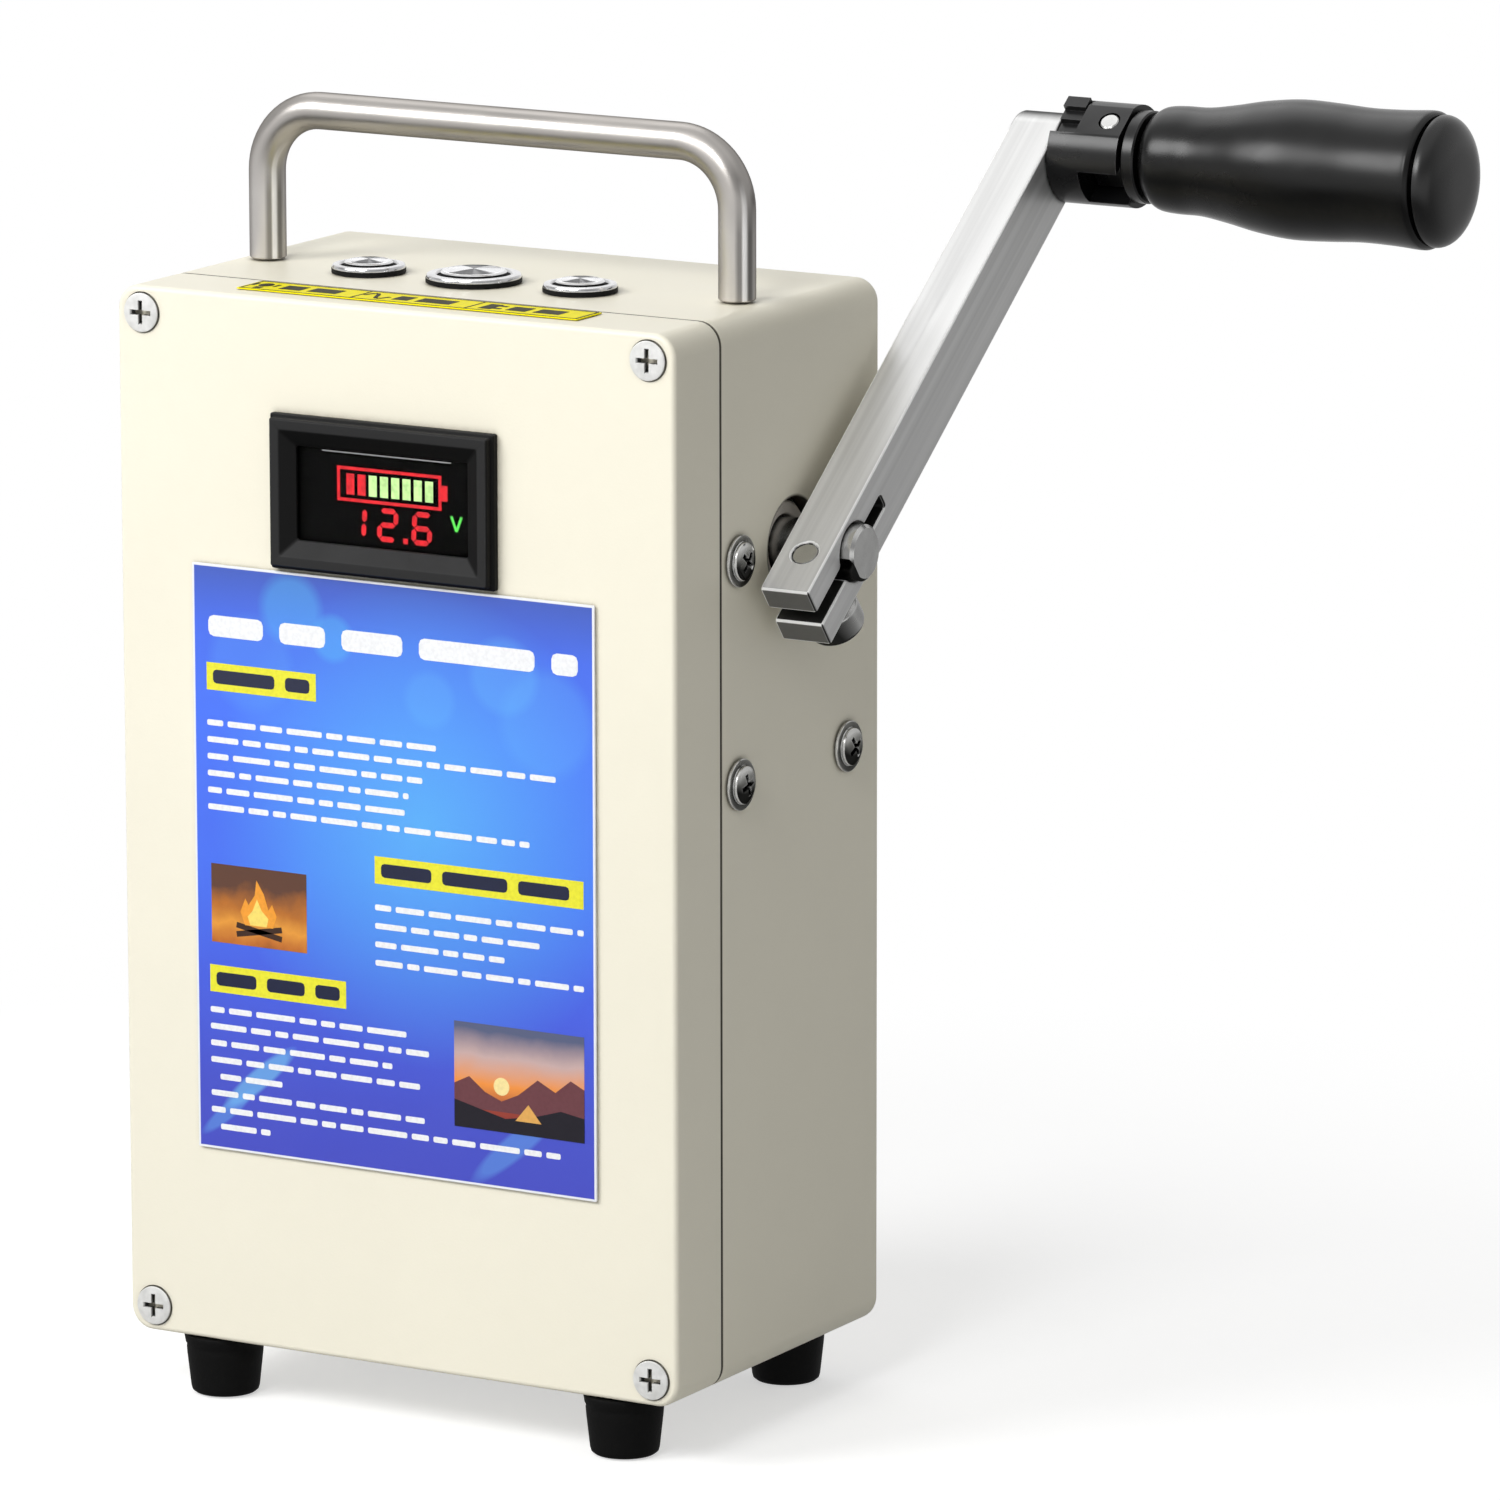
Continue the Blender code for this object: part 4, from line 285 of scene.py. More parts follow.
def effect_group(name, inputs, outputs):
    """An empty node group with named number inputs and outputs; returns it with its entry and exit."""
    tree = bpy.data.node_groups.new(name, "ShaderNodeTree")
    for socket, value in inputs.items():
        tree.interface.new_socket(socket, in_out="INPUT", socket_type="NodeSocketFloat").default_value = value
    for socket in outputs:
        tree.interface.new_socket(socket, in_out="OUTPUT", socket_type="NodeSocketFloat")
    return tree, tree.nodes.new("NodeGroupInput").outputs, tree.nodes.new("NodeGroupOutput").inputs


def use_group(tree, group, **inputs):
    node = tree.nodes.new("ShaderNodeGroup")
    node.node_tree = group
    for socket, value in inputs.items():
        node.inputs[socket.replace("_", " ")].default_value = value
    return node.outputs


def make_moulded_grain():
    """The fine pebbled skin that a spark-eroded mould leaves, and the slow drift of tone over a moulding."""
    tree, given, out = effect_group("moulded grain", {"Grain": 2600, "Drift": 16}, ("Height", "Tone"))
    place = coordinate(tree)
    fine = noise(tree, place, given["Grain"], 3.0, Roughness=0.65)
    pits = add_node(tree, "TexVoronoi", {"Vector": place, "Scale": given["Grain"]}, feature="SMOOTH_F1")
    tree.links.new(math_node(tree, "MULTIPLY_ADD", fine, 0.7, pits.outputs["Distance"]), out["Height"])
    slow = noise(tree, place, given["Drift"], 5.0, Roughness=0.55)
    tree.links.new(spread(tree, slow, 0.3, 0.7), out["Tone"])
    return tree


def make_edge_wear():
    """Where an edge is rubbed: the surface's normal against the same normal rounded over the given radius."""
    tree, given, out = effect_group("edge wear", {"Radius": 0.0005, "Breakup": 900}, ("Mask",))
    rounded = add_node(tree, "Bevel", {"Radius": given["Radius"]}, samples=4).outputs[0]
    turn = vector_math(tree, "DOT_PRODUCT", rounded, add_node(tree, "NewGeometry").outputs["Normal"])
    patchy = noise(tree, coordinate(tree), given["Breakup"], 4.0)
    tree.links.new(product(tree, spread(tree, turn, 0.995, 0.86), spread(tree, patchy, 0.35, 0.62)), out["Mask"])
    return tree


def make_handling_marks():
    """Soft smears and finger marks that change the shine, with a few hairline scratches."""
    tree, given, out = effect_group("handling marks", {"Scale": 45}, ("Smear", "Scratch"))
    place = coordinate(tree)
    smear = noise(tree, place, given["Scale"], 6.0, Roughness=0.6, Distortion=1.2)
    tree.links.new(spread(tree, smear, 0.35, 0.7), out["Smear"])
    lines = add_node(tree, "TexVoronoi", {"Vector": place, "Scale": product(tree, given["Scale"], 4.0)},
                     feature="DISTANCE_TO_EDGE")
    thin = spread(tree, lines.outputs["Distance"], 0.012, 0.0)
    sparse = noise(tree, place, product(tree, given["Scale"], 2.0))
    tree.links.new(product(tree, thin, spread(tree, sparse, 0.6, 0.68)), out["Scratch"])
    return tree


def make_recess_shade_and_grime():
    """Painted shade in recesses and along joints, with some grime there, out to the given reach."""
    tree, given, out = effect_group("recess shade and grime", {"Reach": 0.0015, "Breakup": 700}, ("Mask",))
    hollow = add_node(tree, "AmbientOcclusion", {"Distance": given["Reach"]}, samples=6).outputs["AO"]
    patchy = noise(tree, coordinate(tree), given["Breakup"], 3.0)
    tree.links.new(product(tree, spread(tree, hollow, 0.92, 0.35), spread(tree, patchy, 0.2, 0.6, 0.5, 1.0)),
                   out["Mask"])
    return tree


MOULDED_GRAIN = make_moulded_grain()
EDGE_WEAR = make_edge_wear()
HANDLING_MARKS = make_handling_marks()
RECESS_SHADE_AND_GRIME = make_recess_shade_and_grime()


def new_finish(name, **values):
    """A material and its shader, with the plain values that are the same all over."""
    material = bpy.data.materials.new(name)
    material.use_nodes = True
    shader = material.node_tree.nodes["Principled BSDF"]
    for socket, value in values.items():
        shader.inputs[socket.replace("_", " ")].default_value = value
    return material, material.node_tree, shader


def reopened(material):
    """A finish's tree and shader, with the colour that it has so far, to paint over."""
    shader = material.node_tree.nodes["Principled BSDF"]
    return material.node_tree, shader, shader.inputs["Base Color"].links[0].from_socket


def roughened(tree, shader, base, *swings):
    """Roughness that swings round its base value with each (value, amount)."""
    total = base
    for value, amount in swings:
        total = math_node(tree, "MULTIPLY_ADD", value, amount, total)
    tree.links.new(total, shader.inputs["Roughness"])


def bumped(tree, shader, height, distance):
    bump = add_node(tree, "Bump", {"Height": height, "Distance": distance, "Strength": 1.0})
    tree.links.new(bump.outputs[0], shader.inputs["Normal"])


def moulded_plastic(name, colour, rough, grain=2600, depth=0.00002, worn=None, wear=0.0004, drift=0.05,
                    recess_colour=(0.004, 0.004, 0.004), **values):
    """A moulded finish: tone that drifts, a grained skin, smears in its shine, edges that wear lighter, and painted
    shade with some grime in its recesses.
    """
    material, tree, shader = new_finish(name, **values)
    grained = use_group(tree, MOULDED_GRAIN, Grain=grain)
    marks = use_group(tree, HANDLING_MARKS)
    shade = tuple(channel * (1 - 2 * drift) for channel in colour)
    base = blended(tree, grained["Tone"], shade, colour)
    edge = use_group(tree, EDGE_WEAR, Radius=wear)["Mask"]
    base = blended(tree, product(tree, edge, 0.7), base, worn or colour)
    # Painted shade, with some grime, darkens the recesses.
    recess_shading = product(tree, use_group(tree, RECESS_SHADE_AND_GRIME)["Mask"], 0.6)
    tree.links.new(blended(tree, recess_shading, base, recess_colour), shader.inputs["Base Color"])
    roughened(tree, shader, rough - 0.06, (grained["Tone"], 0.05), (marks["Smear"], 0.08), (marks["Scratch"], 0.1))
    bumped(tree, shader, grained["Height"], depth)
    return material


def dressed(item, material, body, slot, *nodes):
    """Give the piece its finish, set it on its body, and let it stand for its solids."""
    item.data.materials.clear()
    item.data.materials.append(material)
    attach(item, body)
    if nodes:
        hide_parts(*nodes)
    return item


cream_plastic = moulded_plastic("cream moulded plastic", CREAM, 0.42, grain=2300, depth=0.000012,
                                worn=CREAM_WORN, wear=0.0006, drift=0.015, recess_colour=CREAM_RECESS_SHADE_AND_GRIME)
tree, shader, base = reopened(cream_plastic)
place = coordinate(tree)
# Painted shade in the shaft hole's bore.
off_axis = vector_math(tree, "SUBTRACT", place, (0.0, SHAFT_Y, SHAFT_Z))
off_axis = vector_math(tree, "LENGTH", vector_math(tree, "MULTIPLY", off_axis, (0.0, 1.0, 1.0)))
right_wall = math_node(tree, "GREATER_THAN", axes(tree, place)["X"], CASE_RIGHT - 0.01)
bore_shade = product(tree, spread(tree, off_axis, SHAFT_HOLE + 0.0005, SHAFT_HOLE), right_wall)
off_seam = math_node(tree, "ABSOLUTE", math_node(tree, "SUBTRACT", axes(tree, place)["Y"], SEAM_MIDDLE))
seam = spread(tree, off_seam, SEAM_HALF + 0.0001, SEAM_HALF)
base = blended(tree, seam, blended(tree, bore_shade, base, BORE_SHADE), SEAM_SHADE)
tree.links.new(base, shader.inputs["Base Color"])


def case_half(depth, edge):
    """A tray with a rounded closed end at local zero and a broken rim, open towards local Z."""
    outside = [(inset, CASE_CORNER - inset, rise) for inset, rise in rounding(edge, 6)]
    outside += [(inset, CASE_CORNER - inset, depth - rise) for inset, rise in reversed(rounding(RIM_EDGE, 3))]
    inside = [(CASE_WALL, CASE_CORNER_INSIDE, depth), (CASE_WALL, CASE_CORNER_INSIDE, CASE_WALL)]
    return lofted(tiers(CASE_WIDTH, CASE_HEIGHT, outside + inside, 10))


INNER_RIGHT = CASE_RIGHT - CASE_WALL - DRILL_OVERRUN
OUTER_LEFT = -CASE_RIGHT - DRILL_OVERRUN
body_cuts = [(shape, placed((x, y, z), RIGHTWARD)) for shape, x, y, z in (
    (drill(SHAFT_HOLE, WALL_CUT, 64), INNER_RIGHT, SHAFT_Y, SHAFT_Z),
    (drill(LAMP_HOLE, WALL_CUT), OUTER_LEFT, SHAFT_Y, LAMP_Z),
    (drill(JACK_HOLE, WALL_CUT), OUTER_LEFT, JACK_Y, JACK_Z),
    (block(*OUTLET_HOLE, WALL_CUT), OUTER_LEFT, SHAFT_Y, OUTLET_Z),
    (block(*USB_HOLE, WALL_CUT), OUTER_LEFT, SHAFT_Y, USB_Z),
    *((drill(SIDE_SCREW_HOLE, WALL_CUT, 24), INNER_RIGHT, y, z) for y, z in SIDE_SCREWS))]
body_cuts += [(drill(barrel + SWITCH_CLEARANCE, WALL_CUT),
               placed((x, SWITCH_Y, CASE_HEIGHT - CASE_WALL - DRILL_OVERRUN)))
              for name, x, collar, barrel, cap in SWITCHES]
outer, inner = [square(*half) for half in FIELD_GROOVE]
groove_top = DRILL_OVERRUN + GROOVE_DEPTH
body_cuts.append((lofted([(outer, 0), (outer, groove_top), (inner, groove_top), (inner, 0)], closed=True),
                  placed((0, (BODY_RIM + CASE_BACK) / 2, -DRILL_OVERRUN))))
case_body = machined("case_body_moulding", case_half(CASE_BACK - BODY_RIM, BODY_EDGE),
                     placed((0, CASE_BACK, CASE_MIDDLE), FRONTWARD), cuts=body_cuts)
dressed(case_body, cream_plastic, "case", "cream_plastic", "case_body")

# Lid: the shallow front half of the case, moulded from the same cream ABS, with a rectangular cut-out for the
# meter and four countersunk screws into posts in its corners. The gasket lies in the parting line behind it.
LID_RIM = -0.0218
LID_EDGE = 0.001
METER_X = -0.0016
METER_Z = 0.1643
METER_WIDTH = 0.0483
METER_HEIGHT = 0.0291
LID_SCREWS = ((-0.0545, 0.005), (-0.0545, 0.195), (0.0545, 0.005), (0.0545, 0.195))
LID_SCREW_HEAD = 0.0038
LID_SCREW_SEAT = 0.0012
METER_LAP = 0.002

lid_cuts = [(drill(LID_SCREW_HEAD + 0.0001, LID_SCREW_SEAT + 0.001, 40), placed((x, CASE_FRONT - 0.001, z), BACKWARD))
            for x, z in LID_SCREWS]
lid_cuts.append((block(METER_WIDTH - 2 * METER_LAP, METER_HEIGHT - 2 * METER_LAP, WALL_CUT),
                 placed((METER_X, CASE_FRONT - DRILL_OVERRUN, METER_Z), BACKWARD)))
case_lid = machined("case_lid_moulding", case_half(LID_RIM - CASE_FRONT, LID_EDGE),
                    placed((0, CASE_FRONT, CASE_MIDDLE), BACKWARD), cuts=lid_cuts)
dressed(case_lid, cream_plastic, "case", "cream_plastic", "case_lid")


# Lid screws: four cross-recessed machine screws in bright zinc-plated steel, turned into the corner posts until
# their nearly flat heads stand just above the lid.
def cross_outline(half_long, half_short):
    return [(half_long, half_short), (half_short, half_short), (half_short, half_long),
            (-half_short, half_long), (-half_short, half_short), (-half_long, half_short),
            (-half_long, -half_short), (-half_short, -half_short), (-half_short, -half_long),
            (half_short, -half_long), (half_short, -half_short), (half_long, -half_short)]


def cross_recess(reach, width, depth):
    """The tapered cross that a driver fits, from below the head's top to above it."""
    return lofted([(cross_outline(reach * 0.7, width * 0.8), -depth), (cross_outline(reach, width), 0),
                   (cross_outline(reach * 1.02, width * 1.02), 0.001)])


def make_brushed_lines():
    """Fine lines left by an abrasive belt, drawn out along one axis, as height and as light and dark."""
    tree, given, out = effect_group("brushed lines", {"Along X": 60, "Along Y": 3000, "Along Z": 3000},
                                    ("Height", "Tone"))
    stretch = add_node(tree, "CombineXYZ", {axis: given["Along " + axis] for axis in "XYZ"}).outputs[0]
    lines = vector_math(tree, "MULTIPLY", coordinate(tree), stretch)
    tree.links.new(noise(tree, lines, 1.0, 4.0, Roughness=0.7), out["Height"])
    tree.links.new(spread(tree, noise(tree, lines, 0.22), 0.3, 0.7), out["Tone"])
    return tree


BRUSHED_LINES = make_brushed_lines()


def plated_metal(name, colour, dark, rough, lines=(900, 900, 900), depth=0.000004, wear=0.0003,
                 bright=(0.95, 0.95, 0.94), reach=0.001, **values):
    """Bare or plated metal: light and dark lines of its working, dulled smears, edges rubbed bright, and painted
    shade with some grime in its recesses.
    """
    values.setdefault("Metallic", 1.0)
    material, tree, shader = new_finish(name, **values)
    group = use_group(tree, BRUSHED_LINES, Along_X=lines[0], Along_Y=lines[1], Along_Z=lines[2])
    marks = use_group(tree, HANDLING_MARKS, Scale=70)
    base = blended(tree, group["Tone"], dark, colour)
    edge = use_group(tree, EDGE_WEAR, Radius=wear)["Mask"]
    base = blended(tree, product(tree, edge, 0.8), base, bright)
    # Painted shade, with some grime, darkens the recesses.
    recess_shading = use_group(tree, RECESS_SHADE_AND_GRIME, Reach=reach)["Mask"]
    tree.links.new(blended(tree, recess_shading, base, (0.02, 0.019, 0.018)), shader.inputs["Base Color"])
    roughened(tree, shader, rough - 0.05, (group["Tone"], 0.06), (marks["Smear"], 0.08), (marks["Scratch"], 0.15),
              (recess_shading, 0.4))
    bumped(tree, shader, group["Height"], depth)
    return material


bright_zinc = plated_metal("bright zinc plate", (0.83, 0.83, 0.81), (0.68, 0.68, 0.66), 0.42,
                           lines=(2600, 2600, 2600), depth=0.000003, reach=0.0003, Metallic=0.15)
tree, shader, base = reopened(bright_zinc)
# Painted shade: the back of each head, down in its seat, is dark.
sunk_shade = spread(tree, axes(tree, coordinate(tree))["Y"], CASE_FRONT - 0.0005, CASE_FRONT - 0.0002)
tree.links.new(blended(tree, sunk_shade, base, (0.03, 0.03, 0.028)), shader.inputs["Base Color"])
rim = LID_SCREW_HEAD - 0.0001
profile = [(0, -0.0005), (0.0019, -0.0005), (rim, 0), (rim, 0.0003), (rim - 0.0001, 0.00045),
           (rim - 0.0003, 0.00052), (rim * 0.6, 0.0006), (0, 0.00062)]
for number, (x, z) in enumerate(LID_SCREWS, 1):
    head = machined("lid_screw_head_%d" % number, turned(profile), placed((x, CASE_FRONT - 0.0001, z), FRONTWARD),
                    cuts=[(cross_recess(0.0023, 0.00048, 0.0013), placed((x, CASE_FRONT - 0.0007, z), FRONTWARD))])
    dressed(head, bright_zinc, "case", "zinc_steel", "lid_screw_%d" % number)

# Feet: four tapered feet moulded in black rubber, with a lip round the top where they are squeezed against the
# case floor. Each is held there by a screw up through its recess.
FOOT_PLACES = ((-0.044, -0.030), (-0.044, 0.030), (0.044, -0.030), (0.044, 0.030))
black_rubber = moulded_plastic("black rubber", (0.0035, 0.0035, 0.0035), 0.6, grain=1500, depth=0.00003,
                               worn=(0.012, 0.012, 0.012), wear=0.0008, drift=0.1, Specular_IOR_Level=0.15)
profile = [(0.002, -0.0004), (0.0071, -0.0003), (0.0076, -0.0005), (0.0077, -0.0010), (0.0075, -0.0022),
           (0.0072, -0.0026), (0.0073, -0.0032), (0.0072, -0.0045), (0.0065, -0.0108), (0.0063, -0.0115),
           (0.0058, -0.0119), (0.0052, -0.012), (0.0046, -0.0119), (0.0042, -0.0115), (0.0042, -0.008),
           (0.002, -0.008)]
for number, (x, y) in enumerate(FOOT_PLACES, 1):
    foot = machined("rubber_foot_%d" % number, turned(profile, 56), placed((x, y, 0)), sharp=50)
    dressed(foot, black_rubber, "case", "black_rubber", "foot_%d" % number)

# Carry handle: a 7 mm stainless rod, bent cold at both corners, brushed, and tapped at each end for a screw
# through the case top. Its legs are painted lighter than its bar and carry painted bright and dark reflection streaks.
HANDLE_SPAN = 0.102
HANDLE_RADIUS = 0.0035
HANDLE_TOP = 0.229
HANDLE_BEND = 0.012
HANDLE_FOOT = 0.2003
HANDLE_EDGE = 0.0004


def rod_along(path, radius, steps=36):
    """A round rod in the XZ plane through (x, z, turn from upright) points, with broken ends."""
    mesh = bmesh.new()
    rings = []
    stations = [(*path[0], radius - HANDLE_EDGE), *((*point, radius) for point in path),
                (*path[-1], radius - HANDLE_EDGE)]
    for number, (x, z, turn, size) in enumerate(stations):
        if number in (1, len(stations) - 2):
            z += HANDLE_EDGE
        rings.append([mesh.verts.new((x + size * math.cos(angle) * math.cos(turn), size * math.sin(angle),
                                      z - size * math.cos(angle) * math.sin(turn)))
                      for angle in (math.tau * step / steps for step in range(steps))])
    mesh.faces.new(rings[0])
    mesh.faces.new(rings[-1])
    for lower, upper in zip(rings, rings[1:]):
        banded(mesh, lower, upper)
    bmesh.ops.recalc_face_normals(mesh, faces=mesh.faces)
    return mesh


rising = [(-HANDLE_SPAN / 2, HANDLE_FOOT, 0)]
for step in range(17):
    turn = math.pi / 2 * step / 16
    rising.append((-HANDLE_SPAN / 2 + HANDLE_BEND * (1 - math.cos(turn)),
                   HANDLE_TOP - HANDLE_BEND * (1 - math.sin(turn)), turn))
handle_path = rising + [(-x, z, math.pi - turn) for x, z, turn in reversed(rising)]
stainless = plated_metal("brushed stainless steel", (0.49, 0.465, 0.44), (0.42, 0.40, 0.38), 0.34,
                         lines=(160, 3600, 160), depth=0.0000008, Specular_Tint=(0.2, 0.2, 0.2, 1))
tree, shader, base = reopened(stainless)
# The legs are painted lighter than the bar.
painted_legs = spread(tree, axes(tree, coordinate(tree))["Z"], HANDLE_TOP - 0.006, HANDLE_TOP - 0.016)
base = blended(tree, painted_legs, base, (0.62, 0.595, 0.57))
facing = axes(tree, coordinate(tree, "Normal"))
# Painted reflection: dark and bright streaks down the legs, set by which way each point faces.
round_rod = math_node(tree, "ADD", product(tree, facing["X"], 0.87), product(tree, facing["Y"], 0.5))
for start, full, full_end, end, colour in ((-0.15, 0.05, 0.20, 0.30, (0.32, 0.305, 0.29)),
                                           (0.54, 0.62, 0.74, 0.88, (0.24, 0.23, 0.22)),
                                           (0.24, 0.32, 0.48, 0.56, (1.0, 0.99, 0.98))):
    painted_streak = product(tree, spread(tree, round_rod, start, full), spread(tree, round_rod, end, full_end), painted_legs)
    base = blended(tree, painted_streak, base, colour)
painted_highlight_streak = painted_streak
tree.links.new(base, shader.inputs["Base Color"])
tree.links.new(spread(tree, painted_highlight_streak, 0.0, 1.0, 1.0, 0.4), shader.inputs["Metallic"])
handle = machined("handle_rod", rod_along(handle_path, HANDLE_RADIUS), sharp=50)
dressed(handle, stainless, "case", "stainless", "carry_handle")

# Meter frame: a bezel moulded in black ABS, with a stepped rim and a chamfer down to its window. It snaps into
# the lid's cut-out from the front and carries the meter behind it.
meter_sections = [(0, 0.0004, 0.0002), (0, 0.0004, 0.0012), (0.0002, 0.0004, 0.0015), (0.0006, 0.0004, 0.0016),
                  (0.0007, 0.0004, 0.0027), (0.0010, 0.0004, 0.003), (0.0025, 0.0005, 0.003),
                  (0.0027, 0.0005, 0.0029), (0.0056, 0.0005, 0.0014), (0.0057, 0.0005, 0.0012),
                  (0.0057, 0.0005, 0.0009), (0.0036, 0.0004, 0.0009), (0.0036, 0.0004, -0.012),
                  (0.0022, 0.0004, -0.012), (0.0022, 0.0004, 0.0002)]
black_plastic = moulded_plastic("black moulded plastic", (0.010, 0.010, 0.0105), 0.42, grain=3000,
                                depth=0.000006, worn=(0.05, 0.05, 0.052), wear=0.0003, Specular_IOR_Level=0.4)
frame_black = moulded_plastic("matt frame black", (0.022, 0.022, 0.0225), 0.6, grain=3000,
                              depth=0.000005, worn=(0.05, 0.05, 0.052), wear=0.00025, Specular_IOR_Level=0.2)
tree, shader, base = reopened(frame_black)
# Painted light and shade: inside the rim the chamfers and window recess are darker, the upward-facing lower chamfer
# less dark, as lit from above.
painted_recess_shade = spread(tree, axes(tree, coordinate(tree))["Y"], CASE_FRONT - 0.00295, CASE_FRONT - 0.0028)
lower = spread(tree, axes(tree, coordinate(tree, "Normal"))["Z"], 0.2, 0.5)
recess_light_and_shade = blended(tree, lower, (0.0015, 0.0015, 0.0016), (0.018, 0.018, 0.0185))
tree.links.new(blended(tree, painted_recess_shade, base, recess_light_and_shade), shader.inputs["Base Color"])
bezel = machined("meter_frame", lofted(tiers(METER_WIDTH, METER_HEIGHT, meter_sections, 4), closed=True),
                 placed((METER_X, CASE_FRONT, METER_Z), FRONTWARD))
dressed(bezel, frame_black, "case", "black_plastic", "meter_bezel")

# Meter window and display: a clear tinted pane over a black panel, on which the battery outline, its bars,
# the digits and the unit light up. A glowing strip just under the pane's top edge is a painted highlight.
PANE_WIDTH = 0.0405
PANE_HEIGHT = 0.0213
PANE_CORNER = 0.0004
PANE_BACK = -0.0376
DISPLAY_FRONT = -0.0373
DISPLAY_DEPTH = 0.007
LIT_LIFT = 0.00006


def small_plate(levels):
    """A plate of the pane's outline through (inset, height) levels."""
    return lofted(tiers(PANE_WIDTH, PANE_HEIGHT, [(inset, PANE_CORNER, height) for inset, height in levels], 4))


display_glass, tree, shader = new_finish("tinted meter glass", Base_Color=(0.92, 0.92, 0.93, 1),
                                         Transmission_Weight=1.0, IOR=1.1, Metallic=0.0, Specular_IOR_Level=0.1)
marks = use_group(tree, HANDLING_MARKS, Scale=90)
roughened(tree, shader, 0.02, (marks["Smear"], 0.05), (marks["Scratch"], 0.1))
window = machined("meter_pane", small_plate(((0.0002, 0), (0, 0.0001), (0, 0.0009), (0.0002, 0.001))),
                  placed((METER_X, PANE_BACK, METER_Z), FRONTWARD))
dressed(window, display_glass, "case", "display_glass", "meter_window")

panel = small_plate(((0.0003, 0), (0, 0.0003), (0, DISPLAY_DEPTH - 0.0003), (0.0003, DISPLAY_DEPTH)))
panel_black = moulded_plastic("display panel black", (0.0006, 0.0005, 0.0006), 0.5, grain=1800, depth=0.00001,
                              worn=(0.001, 0.001, 0.001), Specular_IOR_Level=0.0)
display = machined("meter_panel", panel, placed((METER_X, DISPLAY_FRONT + DISPLAY_DEPTH, METER_Z), FRONTWARD))
dressed(display, panel_black, "case", "black_plastic", "meter_display")


def lit_finish(name, colour, strength):
    """A light-emitting segment: its own colour, a little uneven from the die behind it."""
    material, tree, shader = new_finish(name, Roughness=0.4, Emission_Strength=strength)
    cells = noise(tree, coordinate(tree), 900.0, 3.0)
    dim = tuple(channel * 0.72 for channel in colour)
    glow = blended(tree, spread(tree, cells, 0.35, 0.6), dim, colour)
    tree.links.new(glow, shader.inputs["Emission Color"])
    tree.links.new(blended(tree, 0.9, glow, (0, 0, 0)), shader.inputs["Base Color"])
    return material


def flat_shapes(outlines, thickness):
    """Thin plates with the given outlines, standing on local zero."""
    whole = bmesh.new()
    for outline in outlines:
        low = [whole.verts.new((x, y, 0)) for x, y in outline]
        high = [whole.verts.new((x, y, thickness)) for x, y in outline]
        whole.faces.new(low)
        whole.faces.new(high)
        banded(whole, low, high)
    bmesh.ops.recalc_face_normals(whole, faces=whole.faces)
    return whole


def stroke(start, end, width, pointed=True):
    """The outline of a straight bar from one point to the other, with pointed or square ends."""
    along = Vector((end[0] - start[0], end[1] - start[1])).normalized() * width / 2
    across = Vector((-along.y, along.x))
    first, last = Vector(start), Vector(end)
    if not pointed:
        return [first + across, first - across, last - across, last + across]
    return [first - along, first - across, last - across, last + along, last + across, first + across]


SEGMENTS = {"a": ((0, 2), (1, 2)), "b": ((1, 2), (1, 1)), "c": ((1, 1), (1, 0)), "d": ((1, 0), (0, 0)),
            "e": ((0, 0), (0, 1)), "f": ((0, 1), (0, 2)), "g": ((0, 1), (1, 1))}
DIGITS = {"1": "bc", "2": "abged", "6": "acdefg"}
DIGIT_LEAN = 0.07
SEGMENT_GAP = 0.62


def digit(figure, left, bottom, width, height, thickness):
    """Seven-segment strokes of one figure, leaning a little to the right."""
    outlines = []
    for name in DIGITS[figure]:
        ends = []
        for across, up in SEGMENTS[name]:
            y = bottom + up * height / 2
            ends.append(Vector((left + across * width + (y - bottom) * DIGIT_LEAN, y)))
        short = (ends[1] - ends[0]).normalized() * thickness * SEGMENT_GAP
        outlines.append(stroke(ends[0] + short, ends[1] - short, thickness))
    return outlines


def on_display(name, outlines, material):
    item = machined(name, flat_shapes(outlines, LIT_LIFT), placed((METER_X, DISPLAY_FRONT, METER_Z), FRONTWARD))
    return dressed(item, material, "case", "black_plastic")


def box_outline(left, bottom, right, top):
    return [(left, bottom), (right, bottom), (right, top), (left, top)]


led_red = lit_finish("lit red segment", (0.88, 0.012, 0.022), 1.1)
led_green = lit_finish("lit green segment", (0.58, 0.92, 0.34), 1.3)
led_leaf = lit_finish("lit leaf green segment", (0.11, 0.80, 0.09), 1.2)
WINDOW_TOP = 0.00885
BATTERY_LEFT = -0.0108
BATTERY_RIGHT = 0.0117
BATTERY_TIP = 0.0130
BATTERY_LOW = WINDOW_TOP - 0.0098
BATTERY_HIGH = WINDOW_TOP - 0.0033
BATTERY_LINE = 0.0006
BATTERY_SHOULDER = 0.0018
BAR_INSET = 0.0013
BAR_START = -0.0088
BAR_PITCH = 0.00243
BAR_WIDTH = 0.0017
FIGURES_LOW = WINDOW_TOP - 0.0162
FIGURE_WIDTH = 0.0034
FIGURE_HEIGHT = 0.0053
FIGURE_LINE = 0.001
frame_bars = [box_outline(BATTERY_LEFT, BATTERY_LOW, BATTERY_RIGHT, BATTERY_LOW + BATTERY_LINE),
              box_outline(BATTERY_LEFT, BATTERY_HIGH - BATTERY_LINE, BATTERY_RIGHT, BATTERY_HIGH)]
